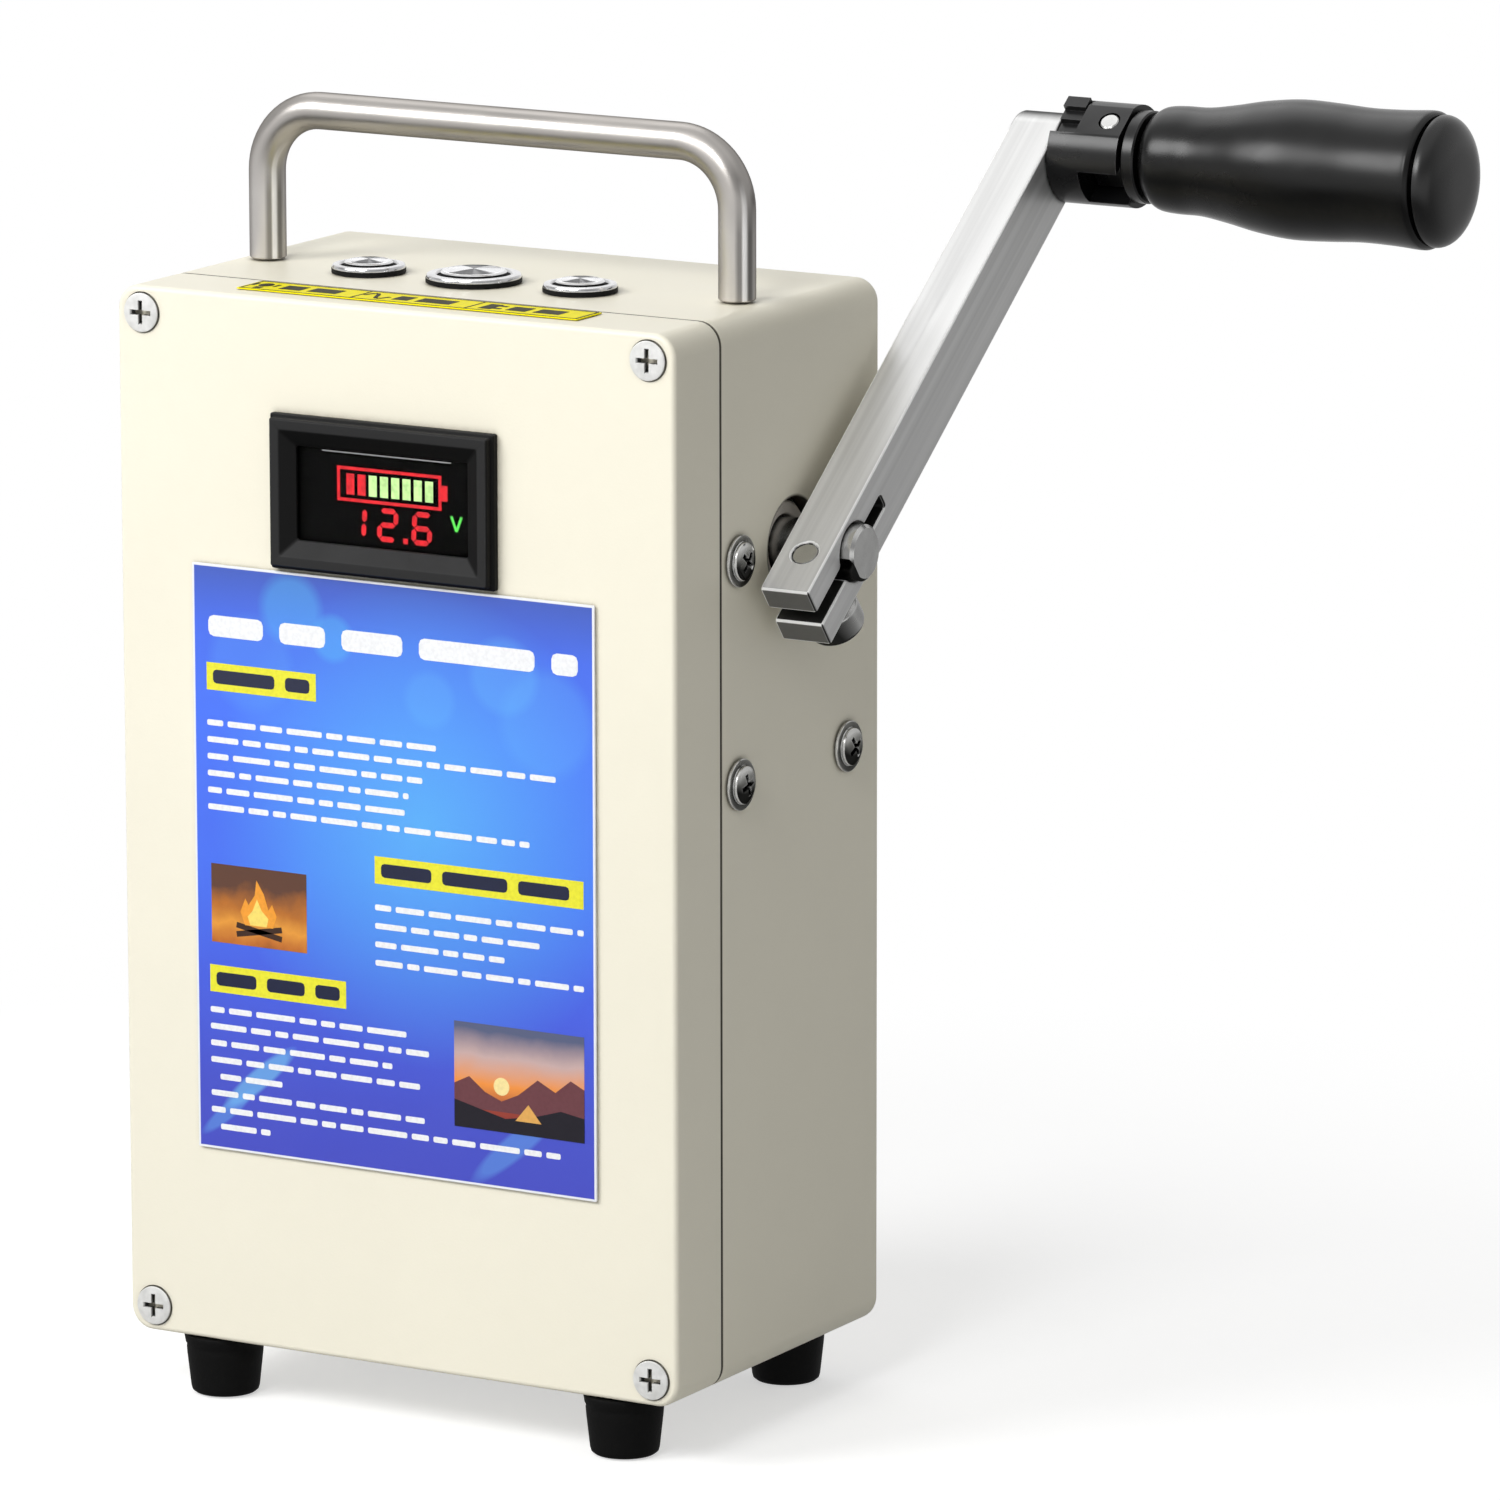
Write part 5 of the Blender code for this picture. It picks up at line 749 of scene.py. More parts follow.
frame_bars += [box_outline(left, BATTERY_LOW + BATTERY_LINE / 2, left + BATTERY_LINE, BATTERY_HIGH - BATTERY_LINE / 2)
               for left in (BATTERY_LEFT, BATTERY_RIGHT - BATTERY_LINE)]
frame_bars.append(box_outline(BATTERY_RIGHT, BATTERY_LOW + BATTERY_SHOULDER,
                              BATTERY_TIP, BATTERY_HIGH - BATTERY_SHOULDER))
bars = [box_outline(left, BATTERY_LOW + BAR_INSET, left + BAR_WIDTH, BATTERY_HIGH - BAR_INSET)
        for left in (BAR_START + BAR_PITCH * number for number in range(8))]
figures = []
for figure, left in (("1", -0.0086), ("2", -0.0018), ("6", 0.0056)):
    figures += digit(figure, left, FIGURES_LOW, FIGURE_WIDTH, FIGURE_HEIGHT, FIGURE_LINE)
figures.append(box_outline(0.0034, FIGURES_LOW - 0.0005, 0.0044, FIGURES_LOW + 0.0005))
unit = [stroke((top, WINDOW_TOP - 0.0106), (0.0149, WINDOW_TOP - 0.0134), 0.0005, False) for top in (0.0138, 0.0160)]
on_display("battery_outline", frame_bars, led_red)
on_display("battery_bars_low", bars[:2], led_red)
on_display("battery_bars_charged", bars[2:], led_green)
on_display("meter_digits", figures, led_red)
on_display("meter_unit", unit, led_leaf)
# Painted highlight: a thin glowing strip under the pane's top edge, where there is no lamp.
painted_edge_glow = lit_finish("painted pane edge highlight", (0.42, 0.42, 0.42), 1.0)
on_display("pane_edge_painted_highlight", [box_outline(-0.0140, 0.0080, 0.0138, 0.0082)], painted_edge_glow)

# Front label: a printed polycarbonate film stuck on the lid. Its ground is a deep blue with soft lights, its text
# stands as plain bars, and two small pictures, a camp fire and hills at dusk, are printed on it.
LABEL_WIDTH = 0.087
LABEL_HEIGHT = 0.1116
LABEL_X = -0.0002
LABEL_Z = 0.09325
LABEL_MARGIN = 0.0004
FILM_BACK = -0.0383
FILM_FRONT = -0.0387
FILM_CORNER = 0.0003
FILM_EDGE = 0.00006


def film(width, height, thickness):
    return lofted(tiers(width, height, [(0, FILM_CORNER, 0), (0, FILM_CORNER, thickness - FILM_EDGE),
                                        (FILM_EDGE, FILM_CORNER - FILM_EDGE, thickness)], 3))


def film_finish(name):
    return new_finish(name, Coat_Weight=0.35, Coat_Roughness=0.12)


def glow_at(tree, place, x, z, size, soft, long):
    """A soft light on the film, round or drawn out aslant: one in its middle, nothing past its size."""
    mapped = add_node(tree, "Mapping", {"Vector": place, "Location": (x, 0, z), "Rotation": (0, math.radians(-40), 0),
                                        "Scale": (size * long, 1, size)}, vector_type="TEXTURE").outputs[0]
    reach = vector_math(tree, "LENGTH", vector_math(tree, "MULTIPLY", mapped, (1.0, 0.0, 1.0)))
    return spread(tree, reach, 1.0, 1.0 - soft)


def colour_ramp(tree, value, stops):
    """Colours at set places along a value, the first at zero and the last at one."""
    ramp = add_node(tree, "ValToRGB", {"Fac": value})
    ramp.color_ramp.elements[0].color = (*stops[0][1], 1)
    ramp.color_ramp.elements[1].color = (*stops[-1][1], 1)
    for position, colour in stops[1:-1]:
        ramp.color_ramp.elements.new(position).color = (*colour, 1)
    return ramp.outputs["Color"]


blue_film, tree, shader = film_finish("blue printed film")
place = coordinate(tree)
on_film = axes(tree, place)
height = spread(tree, on_film["Z"], LABEL_Z - LABEL_HEIGHT / 2, LABEL_Z + LABEL_HEIGHT / 2)
ground = colour_ramp(tree, height, (
    (0, (0.060, 0.075, 0.56)), (0.12, (0.062, 0.085, 0.60)), (0.3, (0.060, 0.115, 0.76)),
    (0.5, (0.060, 0.175, 0.90)), (0.75, (0.060, 0.175, 0.92)), (0.9, (0.055, 0.150, 0.82)),
    (1, (0.050, 0.105, 0.50))))
for x, z, size, soft, long, share, colour in (
        (0.006, 0.104, 0.046, 1.0, 1, 0.85, (0.10, 0.46, 0.93)),
        (-0.040, 0.100, 0.022, 1.0, 1, 0.30, (0.06, 0.12, 0.80)),
        (-0.022, 0.142, 0.0075, 0.3, 1, 0.30, (0.10, 0.55, 0.95)),
        (-0.013, 0.1375, 0.005, 0.3, 1, 0.26, (0.10, 0.60, 0.95)),
        (0.024, 0.134, 0.008, 0.25, 1, 0.20, (0.15, 0.55, 0.98)),
        (0.033, 0.126, 0.011, 0.25, 1, 0.15, (0.15, 0.55, 0.98)),
        (-0.031, 0.131, 0.010, 0.25, 1, 0.12, (0.15, 0.55, 0.98)),
        (0.008, 0.128, 0.006, 0.3, 1, 0.15, (0.15, 0.55, 0.98)),
        (-0.030, 0.052, 0.0022, 0.3, 5, 0.50, (0.20, 0.60, 0.93)),
        (-0.037, 0.045, 0.0016, 0.3, 5, 0.35, (0.15, 0.45, 0.93)),
        (0.026, 0.046, 0.0026, 0.3, 5, 0.35, (0.15, 0.45, 0.93)),
        (0.034, 0.054, 0.0014, 0.3, 6, 0.30, (0.15, 0.45, 0.93))):
    ground = blended(tree, product(tree, glow_at(tree, place, x, z, size, soft, long), share), ground, colour)
margin = 0.0
for axis, middle, half in (("X", LABEL_X, LABEL_WIDTH / 2), ("Z", LABEL_Z, LABEL_HEIGHT / 2)):
    off_middle = math_node(tree, "ABSOLUTE", math_node(tree, "SUBTRACT", on_film[axis], middle))
    near_edge = spread(tree, off_middle, half - LABEL_MARGIN - 0.0001, half - LABEL_MARGIN)
    margin = math_node(tree, "MAXIMUM", near_edge, margin)
tree.links.new(blended(tree, margin, ground, (0.86, 0.88, 0.92)), shader.inputs["Base Color"])
marks = use_group(tree, HANDLING_MARKS, Scale=40)
roughened(tree, shader, 0.36, (marks["Smear"], 0.08), (marks["Scratch"], 0.15))
bumped(tree, shader, use_group(tree, MOULDED_GRAIN, Grain=4200)["Height"], 0.000004)
front_film = machined("front_film", film(LABEL_WIDTH, LABEL_HEIGHT, FILM_BACK - FILM_FRONT),
                      placed((LABEL_X, FILM_BACK, LABEL_Z), FRONTWARD))
dressed(front_film, blue_film, "case", "label_blue", "front_label")


def ink(name, colour, **shine):
    """Screen-printed ink: a dense coat with a faint mottle and soft shine."""
    material, tree, shader = new_finish(name, **shine) if shine else film_finish(name)
    mottle = noise(tree, coordinate(tree), 1400.0, 4.0)
    thin = tuple(channel * 0.9 for channel in colour)
    tree.links.new(blended(tree, spread(tree, mottle, 0.3, 0.6), thin, colour), shader.inputs["Base Color"])
    roughened(tree, shader, 0.34, (mottle, 0.14))
    bumped(tree, shader, mottle, 0.000003)
    return material


WORD_ROUND = 0.28
WORD_SPACE = 0.9


def greeked(left, middle, length, size, words):
    """A line of text as plain bars: word lengths in turn, in the given size, until the line is full."""
    outlines = []
    x = left
    while x < left + length - size:
        word = min(words[len(outlines) % len(words)] * size, left + length - x)
        outlines.append([(x + word / 2 + px, middle + py)
                         for px, py in rounded_rectangle(word, size, size * WORD_ROUND, 2)])
        x += word + size * WORD_SPACE
    return outlines


def on_label(name, outlines, material, lift=0.00003):
    item = machined(name, flat_shapes(outlines, lift), placed((LABEL_X, FILM_FRONT, LABEL_Z), FRONTWARD))
    return dressed(item, material, "case", "label_blue")


LEFT_COLUMN = -0.0405
LEFT_INDENT = -0.0385
RIGHT_COLUMN = -0.0040
TEXT_SIZE = 0.0011
TITLE_SIZE = 0.0026
TAG_BORDER = 0.0014
WORDS = ((3.2, 5.6, 4.4, 7.0), (6.2, 3.6, 5.0, 2.6, 4.2), (4.2, 7.4, 3.0), (5.4, 2.4, 6.6, 3.8),
         (2.8, 4.6, 7.8, 3.4), (7.2, 4.0, 2.6, 5.2))
ROWS = ((LEFT_COLUMN, 0.0258, 0.050), (LEFT_COLUMN, 0.0226, 0.076), (LEFT_COLUMN, 0.0194, 0.047),
        (LEFT_COLUMN, 0.0162, 0.044), (LEFT_COLUMN, 0.0130, 0.045), (LEFT_COLUMN, 0.0098, 0.070),
        (RIGHT_COLUMN, -0.0055, 0.045), (RIGHT_COLUMN, -0.0090, 0.036), (RIGHT_COLUMN, -0.0125, 0.028),
        (RIGHT_COLUMN, -0.0160, 0.045), (LEFT_COLUMN, -0.0290, 0.044), (LEFT_COLUMN, -0.0322, 0.048),
        (LEFT_COLUMN, -0.0354, 0.040), (LEFT_COLUMN, -0.0386, 0.046), (LEFT_INDENT, -0.0418, 0.014),
        (LEFT_COLUMN, -0.0450, 0.047), (LEFT_COLUMN, -0.0482, 0.078), (LEFT_INDENT, -0.0514, 0.011))
TAGS = ((LEFT_COLUMN, 0.0346, 0.024), (RIGHT_COLUMN, 0.0016, 0.045), (LEFT_COLUMN, -0.0230, 0.030))
rows = greeked(-0.0400, 0.0442, 0.0800, 0.0040, (3.0, 2.5, 3.3, 6.2))
for number, (left, middle, length) in enumerate(ROWS):
    rows += greeked(left, middle, length, TEXT_SIZE, WORDS[number % len(WORDS)])
on_label("label_lettering", rows, ink("white ink", (0.92, 0.93, 0.95)))
on_label("label_tags", [box_outline(left, middle - TITLE_SIZE, left + length, middle + TITLE_SIZE)
                        for left, middle, length in TAGS], ink("yellow ink", (0.87, 0.83, 0.03)))
titles = []
for (left, middle, length), words in zip(TAGS, ((5.2,), (4.2, 5.4), (3.4, 3.2))):
    titles += greeked(left + TAG_BORDER, middle, length - 2 * TAG_BORDER, TITLE_SIZE, words)
on_label("label_titles", titles, ink("dark ink", (0.012, 0.016, 0.05)), 0.00006)


def picture(name, left, bottom, right, top, colours, turn):
    """A small printed picture: soft bands of colour behind a plain pictogram."""
    material, tree, shader = film_finish(name.replace("_", " "))
    place = coordinate(tree)
    bent = noise(tree, place, 160.0, 5.0)
    along = spread(tree, axes(tree, place)["Z"], LABEL_Z + bottom, LABEL_Z + top)
    along = math_node(tree, "MULTIPLY_ADD", bent, turn, along)
    stops = [(number / (len(colours) - 1), colour) for number, colour in enumerate(colours)]
    tree.links.new(colour_ramp(tree, along, stops), shader.inputs["Base Color"])
    roughened(tree, shader, 0.34, (bent, 0.12))
    return on_label(name, [box_outline(left, bottom, right, top)], material, 0.00004)


def round_outline(x, y, wide, high, steps=20):
    return [(x + wide * math.cos(math.tau * step / steps), y + high * math.sin(math.tau * step / steps))
            for step in range(steps)]


def drawn(name, colour, lift, *outlines):
    return on_label(name, outlines, ink(name.replace("_", " ") + " ink", colour), lift)


picture("picture_fire", -0.0400, -0.0160, -0.0190, -0.0010,
        ((0.10, 0.03, 0.01), (0.55, 0.16, 0.02), (0.80, 0.33, 0.04), (0.50, 0.16, 0.02), (0.12, 0.05, 0.03)), 0.5)
drawn("fire_logs", (0.05, 0.02, 0.01), 0.00006,
      stroke((-0.0345, -0.0140), (-0.0245, -0.0122), 0.0011, False),
      stroke((-0.0345, -0.0122), (-0.0245, -0.0140), 0.0011, False))
drawn("fire_flame", (0.93, 0.36, 0.03), 0.00008,
      [(-0.0326, -0.0121), (-0.0264, -0.0121), (-0.0256, -0.0098), (-0.0266, -0.0076), (-0.0274, -0.0088),
       (-0.0284, -0.0058), (-0.0300, -0.0033), (-0.0304, -0.0062), (-0.0318, -0.0082), (-0.0325, -0.0070),
       (-0.0336, -0.0096)])
drawn("fire_heart", (0.98, 0.76, 0.16), 0.00010,
      [(-0.0314, -0.0120), (-0.0278, -0.0120), (-0.0274, -0.0104), (-0.0289, -0.0090), (-0.0299, -0.0069),
       (-0.0309, -0.0092), (-0.0320, -0.0104)])
picture("picture_dusk", 0.0130, -0.0450, 0.0410, -0.0250,
        ((0.03, 0.02, 0.03), (0.35, 0.05, 0.03), (0.90, 0.30, 0.05), (0.60, 0.42, 0.40), (0.10, 0.12, 0.22)), 0.12)
drawn("dusk_sun", (0.98, 0.80, 0.35), 0.00006, round_outline(0.0232, -0.0364, 0.0017, 0.0017))
drawn("dusk_far_hills", (0.16, 0.05, 0.06), 0.00008,
      [(0.0130, -0.0412), (0.0130, -0.0368), (0.0162, -0.0352), (0.0196, -0.0378), (0.0232, -0.0392),
       (0.0268, -0.0376), (0.0310, -0.0343), (0.0348, -0.0362), (0.0381, -0.0336), (0.0410, -0.0350),
       (0.0410, -0.0412)])
drawn("dusk_near_hills", (0.012, 0.010, 0.018), 0.00010,
      [(0.0130, -0.0450), (0.0130, -0.0398), (0.0180, -0.0410), (0.0240, -0.0424), (0.0300, -0.0414),
       (0.0360, -0.0396), (0.0410, -0.0404), (0.0410, -0.0450)])
drawn("dusk_tent", (0.80, 0.42, 0.10), 0.00012, [(0.0262, -0.0425), (0.0318, -0.0425), (0.0290, -0.0392)])

# Switch label: a strip of yellow film stuck in front of the switches, with a dark-ruled field for each, in which
# a lamp, a mains wave or a plug stands beside the bars of its text.
STRIP_WIDTH = 0.0735
STRIP_DEPTH = 0.009
STRIP_Y = -0.0285
STRIP_TOP = 0.20035
STRIP_THICKNESS = 0.0002
RULE_LINE = 0.0004
yellow_film = ink("yellow printed film", (0.97, 0.86, 0.010), Specular_IOR_Level=0.03)
strip = machined("switch_strip", film(STRIP_WIDTH, STRIP_DEPTH, STRIP_THICKNESS),
                 placed((LABEL_X, STRIP_Y, STRIP_TOP - STRIP_THICKNESS)))
dressed(strip, yellow_film, "case", "label_yellow", "switch_label")


def ruled(x, y, half_x, half_y):
    return box_outline(x - half_x, y - half_y, x + half_x, y + half_y)


rule_y = STRIP_DEPTH / 2 - 0.0005
marks = [ruled(0, side * rule_y, STRIP_WIDTH / 2 - 0.0004, RULE_LINE / 2) for side in (-1, 1)]
marks += [ruled(x, 0, RULE_LINE / 2, rule_y)
          for x in (-STRIP_WIDTH / 2 + 0.0006, -STRIP_WIDTH / 6, STRIP_WIDTH / 6, STRIP_WIDTH / 2 - 0.0006)]
lamp_x = -STRIP_WIDTH / 3 - 0.0088
marks += [round_outline(lamp_x, 0.0006, 0.0014, 0.0018), ruled(lamp_x, -0.0024, 0.0008, 0.0008)]
marks += [ruled(lamp_x + side * 0.0023, 0.0006, 0.0003, 0.0012) for side in (-1, 1)]
wave = [(-0.0116 + 0.0056 * step / 15, 0.0024 * math.sin(math.tau * step / 15)) for step in range(16)]
marks += [stroke(first, last, 0.0008, False) for first, last in zip(wave, wave[1:])]
plug_x = STRIP_WIDTH / 3 - 0.0085
marks += [box_outline(plug_x - 0.0016, -0.0026, plug_x + 0.0010, 0.0026),
          box_outline(plug_x + 0.0010, 0.0008, plug_x + 0.0026, 0.0018),
          box_outline(plug_x + 0.0010, -0.0018, plug_x + 0.0026, -0.0008)]
for middle, lengths in ((-1, (0.0046, 0.0062)), (0, (0.0034, 0.0074)), (1, (0.0042, 0.0056))):
    start = middle * STRIP_WIDTH / 3 - 0.0046
    for length in lengths:
        marks.append(box_outline(start, -0.0020, start + length, 0.0020))
        start += length + 0.0016
strip_marks = machined("switch_marks", flat_shapes(marks, 0.00004), placed((LABEL_X, STRIP_Y, STRIP_TOP)))
dressed(strip_marks, ink("olive black ink", (0.030, 0.027, 0.006), Specular_IOR_Level=0.03), "case", "label_yellow")

# Push switches: three metal momentary switches through the case top, each a turned and chromed collar on a rubber
# seal, with a sprung cap in a dark guide. The caps are spun; dark wedges of reflection are painted over their
# tops, and their sides are painted dark.
COLLAR_RISE = 0.0018
CAP_HEIGHT = 0.006
CAP_RISE = 0.0008
bright_chrome = plated_metal("turned chrome", (0.80, 0.80, 0.81), (0.66, 0.66, 0.67), 0.16,
                             lines=(1500, 1500, 300), depth=0.000002)
spun_chrome_painted_wedges = plated_metal("spun chrome with painted wedges", (0.88, 0.88, 0.89), (0.80, 0.80, 0.81), 0.24, lines=(1500, 1500, 300),
                           depth=0.000002, Anisotropic=0.7, Specular_IOR_Level=0.05)
tree, shader, base = reopened(spun_chrome_painted_wedges)
tree.links.new(add_node(tree, "Tangent", direction_type="RADIAL", axis="Z").outputs[0], shader.inputs["Tangent"])
# Painted reflection: dark wedges fanning round each cap's top; metallic drops there.
spun = axes(tree, vector_math(tree, "SUBTRACT", coordinate(tree, "Generated"), (0.5, 0.5, 0.0)))
round_about = math_node(tree, "ARCTAN2", spun["Y"], spun["X"])
broad_fan, fine_fan = [math_node(tree, "SINE", math_node(tree, "MULTIPLY_ADD", round_about, wedges, turn))
                       for wedges, turn in ((2.0, 0.9), (5.0, 0.4))]
painted_fans = math_node(tree, "ADD", broad_fan, product(tree, fine_fan, 0.5))
facing_up = axes(tree, coordinate(tree, "Normal"))["Z"]
# Painted dark reflection on the caps' sides.
top_face, painted_dark_side = spread(tree, facing_up, 0.9, 0.97), spread(tree, facing_up, 0.7, 0.35)
shade = product(tree, spread(tree, painted_fans, 0.1, -0.5), product(tree, top_face, 0.94))
base = blended(tree, painted_dark_side, blended(tree, shade, base, (0.04, 0.04, 0.045)), (0.012, 0.012, 0.012))
tree.links.new(base, shader.inputs["Base Color"])
dark_share = math_node(tree, "MAXIMUM", shade, painted_dark_side)
tree.links.new(spread(tree, dark_share, 0.0, 0.94, 1.0, 0.0), shader.inputs["Metallic"])
for name, x, collar, barrel, cap in SWITCHES:
    bore = cap + 0.0007
    for kind, inner, outer, low, high in (("_switch_seal", barrel, collar, 0.0002, 0.0010),
                                          ("_switch_guide", cap + 0.0001, bore + 0.0001, -0.002, 0.0012)):
        ring = machined(name + kind, turned([(inner, low), (outer, low), (outer, high), (inner, high)], 72),
                        placed((x, SWITCH_Y, CASE_HEIGHT)))
        dressed(ring, black_rubber, "case", "black_rubber")
    rim = collar - 0.0001
    profile = [(0, -0.0053), (bore, -0.0053), (bore, 0.0014), (bore + 0.0004, COLLAR_RISE), (rim - 0.0006, COLLAR_RISE),
               (rim - 0.0002, 0.0017), (rim, 0.0014), (rim, 0.0010), (barrel, 0.0010), (barrel, -0.021),
               (0.0012, -0.021), (0.0012, -0.025), (0, -0.025)]
    body = machined(name + "_switch_collar", turned(profile, 72), placed((x, SWITCH_Y, CASE_HEIGHT)), sharp=40)
    dressed(body, bright_chrome, "case", "bright_chrome", name + "_switch")
    profile = [(0, 0), (cap, 0), (cap, 0.0054), (cap - 0.0003, 0.0057), (cap - 0.0008, 0.00585),
               (cap - 0.0011, 0.00575), (cap * 0.5, 0.0059), (0, CAP_HEIGHT)]
    button = machined(name + "_switch_cap", turned(profile, 72),
                      placed((x, SWITCH_Y, CASE_HEIGHT + COLLAR_RISE + CAP_RISE - CAP_HEIGHT)), sharp=40)
    dressed(button, spun_chrome_painted_wedges, name + "_key", "bright_chrome", name + "_button")

# Gearbox screws: four flange-head machine screws in nickel-plated steel, through the right wall into the gearbox
# behind it. Their cross recesses carry painted shade with some grime, their upward faces are painted lighter and
# their downward faces darker, and a painted highlight runs round their front and lower rims.
SCREW_TOP = 0.0023
DOME_RADIUS = 0.0036
nickel_painted_light = plated_metal("nickel with painted light and shade", (0.30, 0.30, 0.28), (0.17, 0.17, 0.16), 0.17, depth=0.000002, wear=0.0005,
                           Specular_Tint=(0.4, 0.4, 0.4, 1))
tree, shader, base = reopened(nickel_painted_light)
facing = axes(tree, coordinate(tree, "Normal"))
# Painted light and shade: upward faces lighter, downward faces darker.
base = blended(tree, spread(tree, facing["Z"], 0.05, 0.35), base, (0.70, 0.70, 0.68))
base = blended(tree, spread(tree, facing["Z"], 0.05, -0.12), base, (0.035, 0.035, 0.033))
# Painted highlight on the rims facing front and down, and painted shade with some grime in the recesses.
to_front = math_node(tree, "ADD", product(tree, facing["Y"], -0.87), product(tree, facing["Z"], -0.5))
sunk_shade = spread(tree, use_group(tree, RECESS_SHADE_AND_GRIME, Reach=0.0012)["Mask"], 0.25, 0.5)
painted_rim_highlight = product(tree, spread(tree, to_front, 0.3, 0.5), spread(tree, facing["X"], 0.8, 0.6),
                  spread(tree, sunk_shade, 0.0, 1.0, 1.0, 0.0))
base = blended(tree, painted_rim_highlight, base, (0.90, 0.90, 0.88))
tree.links.new(blended(tree, sunk_shade, base, (0.008, 0.008, 0.008)), shader.inputs["Base Color"])
tree.links.new(math_node(tree, "SUBTRACT", 1.0, product(tree, painted_rim_highlight, 0.8)), shader.inputs["Metallic"])


def dome(radius, foot, rise, steps, fullness=1):
    """Profile points over a dome, from its foot up to the axis."""
    angles = [math.pi / 2 * step / steps for step in range(steps)]
    points = [(radius * math.cos(angle) ** fullness, foot + rise * math.sin(angle)) for angle in angles]
    return points + [(0, foot + rise)]


profile = [(0, -0.004), (0.0016, -0.004), (0.0016, 0.0003), (0.0047, 0.0003), (0.0048, 0.0004), (0.0048, 0.0008),
           (0.0047, 0.0009), (0.0037, 0.00095), (DOME_RADIUS, 0.0011), *dome(DOME_RADIUS, 0.0014, 0.0009, 6)]
for number, (y, z) in enumerate(SIDE_SCREWS, 1):
    turn = Matrix.Rotation(0.3 * number, 4, "Z")
    screw = machined("gearbox_screw_%d" % number, turned(profile), placed((CASE_RIGHT, y, z), RIGHTWARD),
                     cuts=[(cross_recess(SCREW_TOP, 0.0005, 0.0012),
                            placed((CASE_RIGHT + SCREW_TOP, y, z), RIGHTWARD) @ turn)])
    dressed(screw, nickel_painted_light, "case", "zinc_steel", "side_screw_%d" % number)

# Shaft bush: a sleeve of sintered bronze pressed into the gearbox housing, seen as a ring in the case's right
# wall. Its colour is painted far paler than bronze, as light on it in the shaded hole.
BUSH_START = 0.0499
# Painted light: the colour is much paler than bronze so that the bush reads light in its shaded hole.
bronze = plated_metal("sintered bronze", (0.88, 0.83, 0.76), (0.76, 0.71, 0.65), 0.4, lines=(900, 2200, 2200),
                      depth=0.00001, bright=(0.88, 0.80, 0.68), reach=0.0001, Metallic=0.1)
bush_profile = [(0.0057, 0), (0.0082, 0), (0.0082, 0.0080), (0.0079, 0.0083), (0.006, 0.0083), (0.0057, 0.008)]
bush = machined("bronze_bush", turned(bush_profile, 64), placed((BUSH_START, SHAFT_Y, SHAFT_Z), RIGHTWARD))
dressed(bush, bronze, "case", "bronze", "shaft_bush")

# Drive shaft: a turned stainless bar through the bush, with a flat for the arm's clamp and a chamfered end. The
# whole crank stands on it, leaning as it does in the photo.
CRANK_LEAN = math.radians(-52.2)
CRANK = Matrix.Translation((0, SHAFT_Y, SHAFT_Z)) @ Matrix.Rotation(CRANK_LEAN, 4, "X")
SHAFT_RADIUS = 0.0053
SHAFT_FLAT = 0.0044
ARM_INNER = 0.0631
ARM_OUTER = 0.0733
ARM_MIDDLE = (ARM_INNER + ARM_OUTER) / 2
ARM_WIDTH = 0.014
ARM_THROW = 0.104
CLAMP_STATION = 0.0072


def on_crank(x, y, z, direction=RIGHTWARD):
    return CRANK @ placed((x, y, z), direction)


turned_steel = plated_metal("turned steel", (0.66, 0.66, 0.65), (0.54, 0.54, 0.53), 0.2, depth=0.0000015,
                            Specular_Tint=(0.4, 0.4, 0.4, 1))
tree, shader, base = reopened(turned_steel)
# Painted shade: faces turned downwards are darkened.
painted_underside_shade = spread(tree, axes(tree, coordinate(tree, "Normal"))["Z"], -0.05, -0.5)
tree.links.new(blended(tree, painted_underside_shade, base, (0.05, 0.05, 0.048)), shader.inputs["Base Color"])
shaft_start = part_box("drive_shaft")[0].x
shaft_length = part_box("drive_shaft")[1].x - shaft_start
profile = [(0, 0), (0.005, 0), (SHAFT_RADIUS, 0.0003), (SHAFT_RADIUS, shaft_length - 0.0006), (0.0047, shaft_length),
           (0, shaft_length)]
shaft = machined("turned_shaft", turned(profile, 56), on_crank(shaft_start, 0, 0),
                 cuts=[(block(0.014, 0.004, 0.02), on_crank(ARM_INNER - 0.0003, 0, -SHAFT_FLAT - 0.002))])
dressed(shaft, turned_steel, "crank", "stainless", "drive_shaft")

# Crank arm: a solid aluminium bar, brushed along its length, with broken edges. It is rounded at the grip end and
# split at the shaft end, where one cross bolt pinches it on the shaft. Its broken edges carry a painted highlight;
# its end face, rounded end, downturned faces and split are painted dark as shade, with some grime in its recesses.
ARM_END = -0.0169
SPLIT = 0.0016
SPLIT_TOP = 0.013
SHAFT_SEAT = 0.0056
ARM_EDGE = 0.0005
EDGE_MIDDLE = 0.29
CLAMP_HOLE = 0.0026
BRACKET_BOLT_HOLE = 0.0023


def edges_broken(outline, size):
    """The outline with each corner taken off over this size, in three points."""
    points = []
    for index, corner in enumerate(outline):
        corner = Vector(corner)
        before = Vector(outline[index - 1]) - corner
        after = Vector(outline[(index + 1) % len(outline)]) - corner
        if before.angle(after) > math.radians(130):
            points.append(tuple(corner))
            continue
        before, after = before.normalized() * size, after.normalized() * size
        points += [tuple(corner + before), tuple(corner + (before + after) * EDGE_MIDDLE), tuple(corner + after)]
    return points


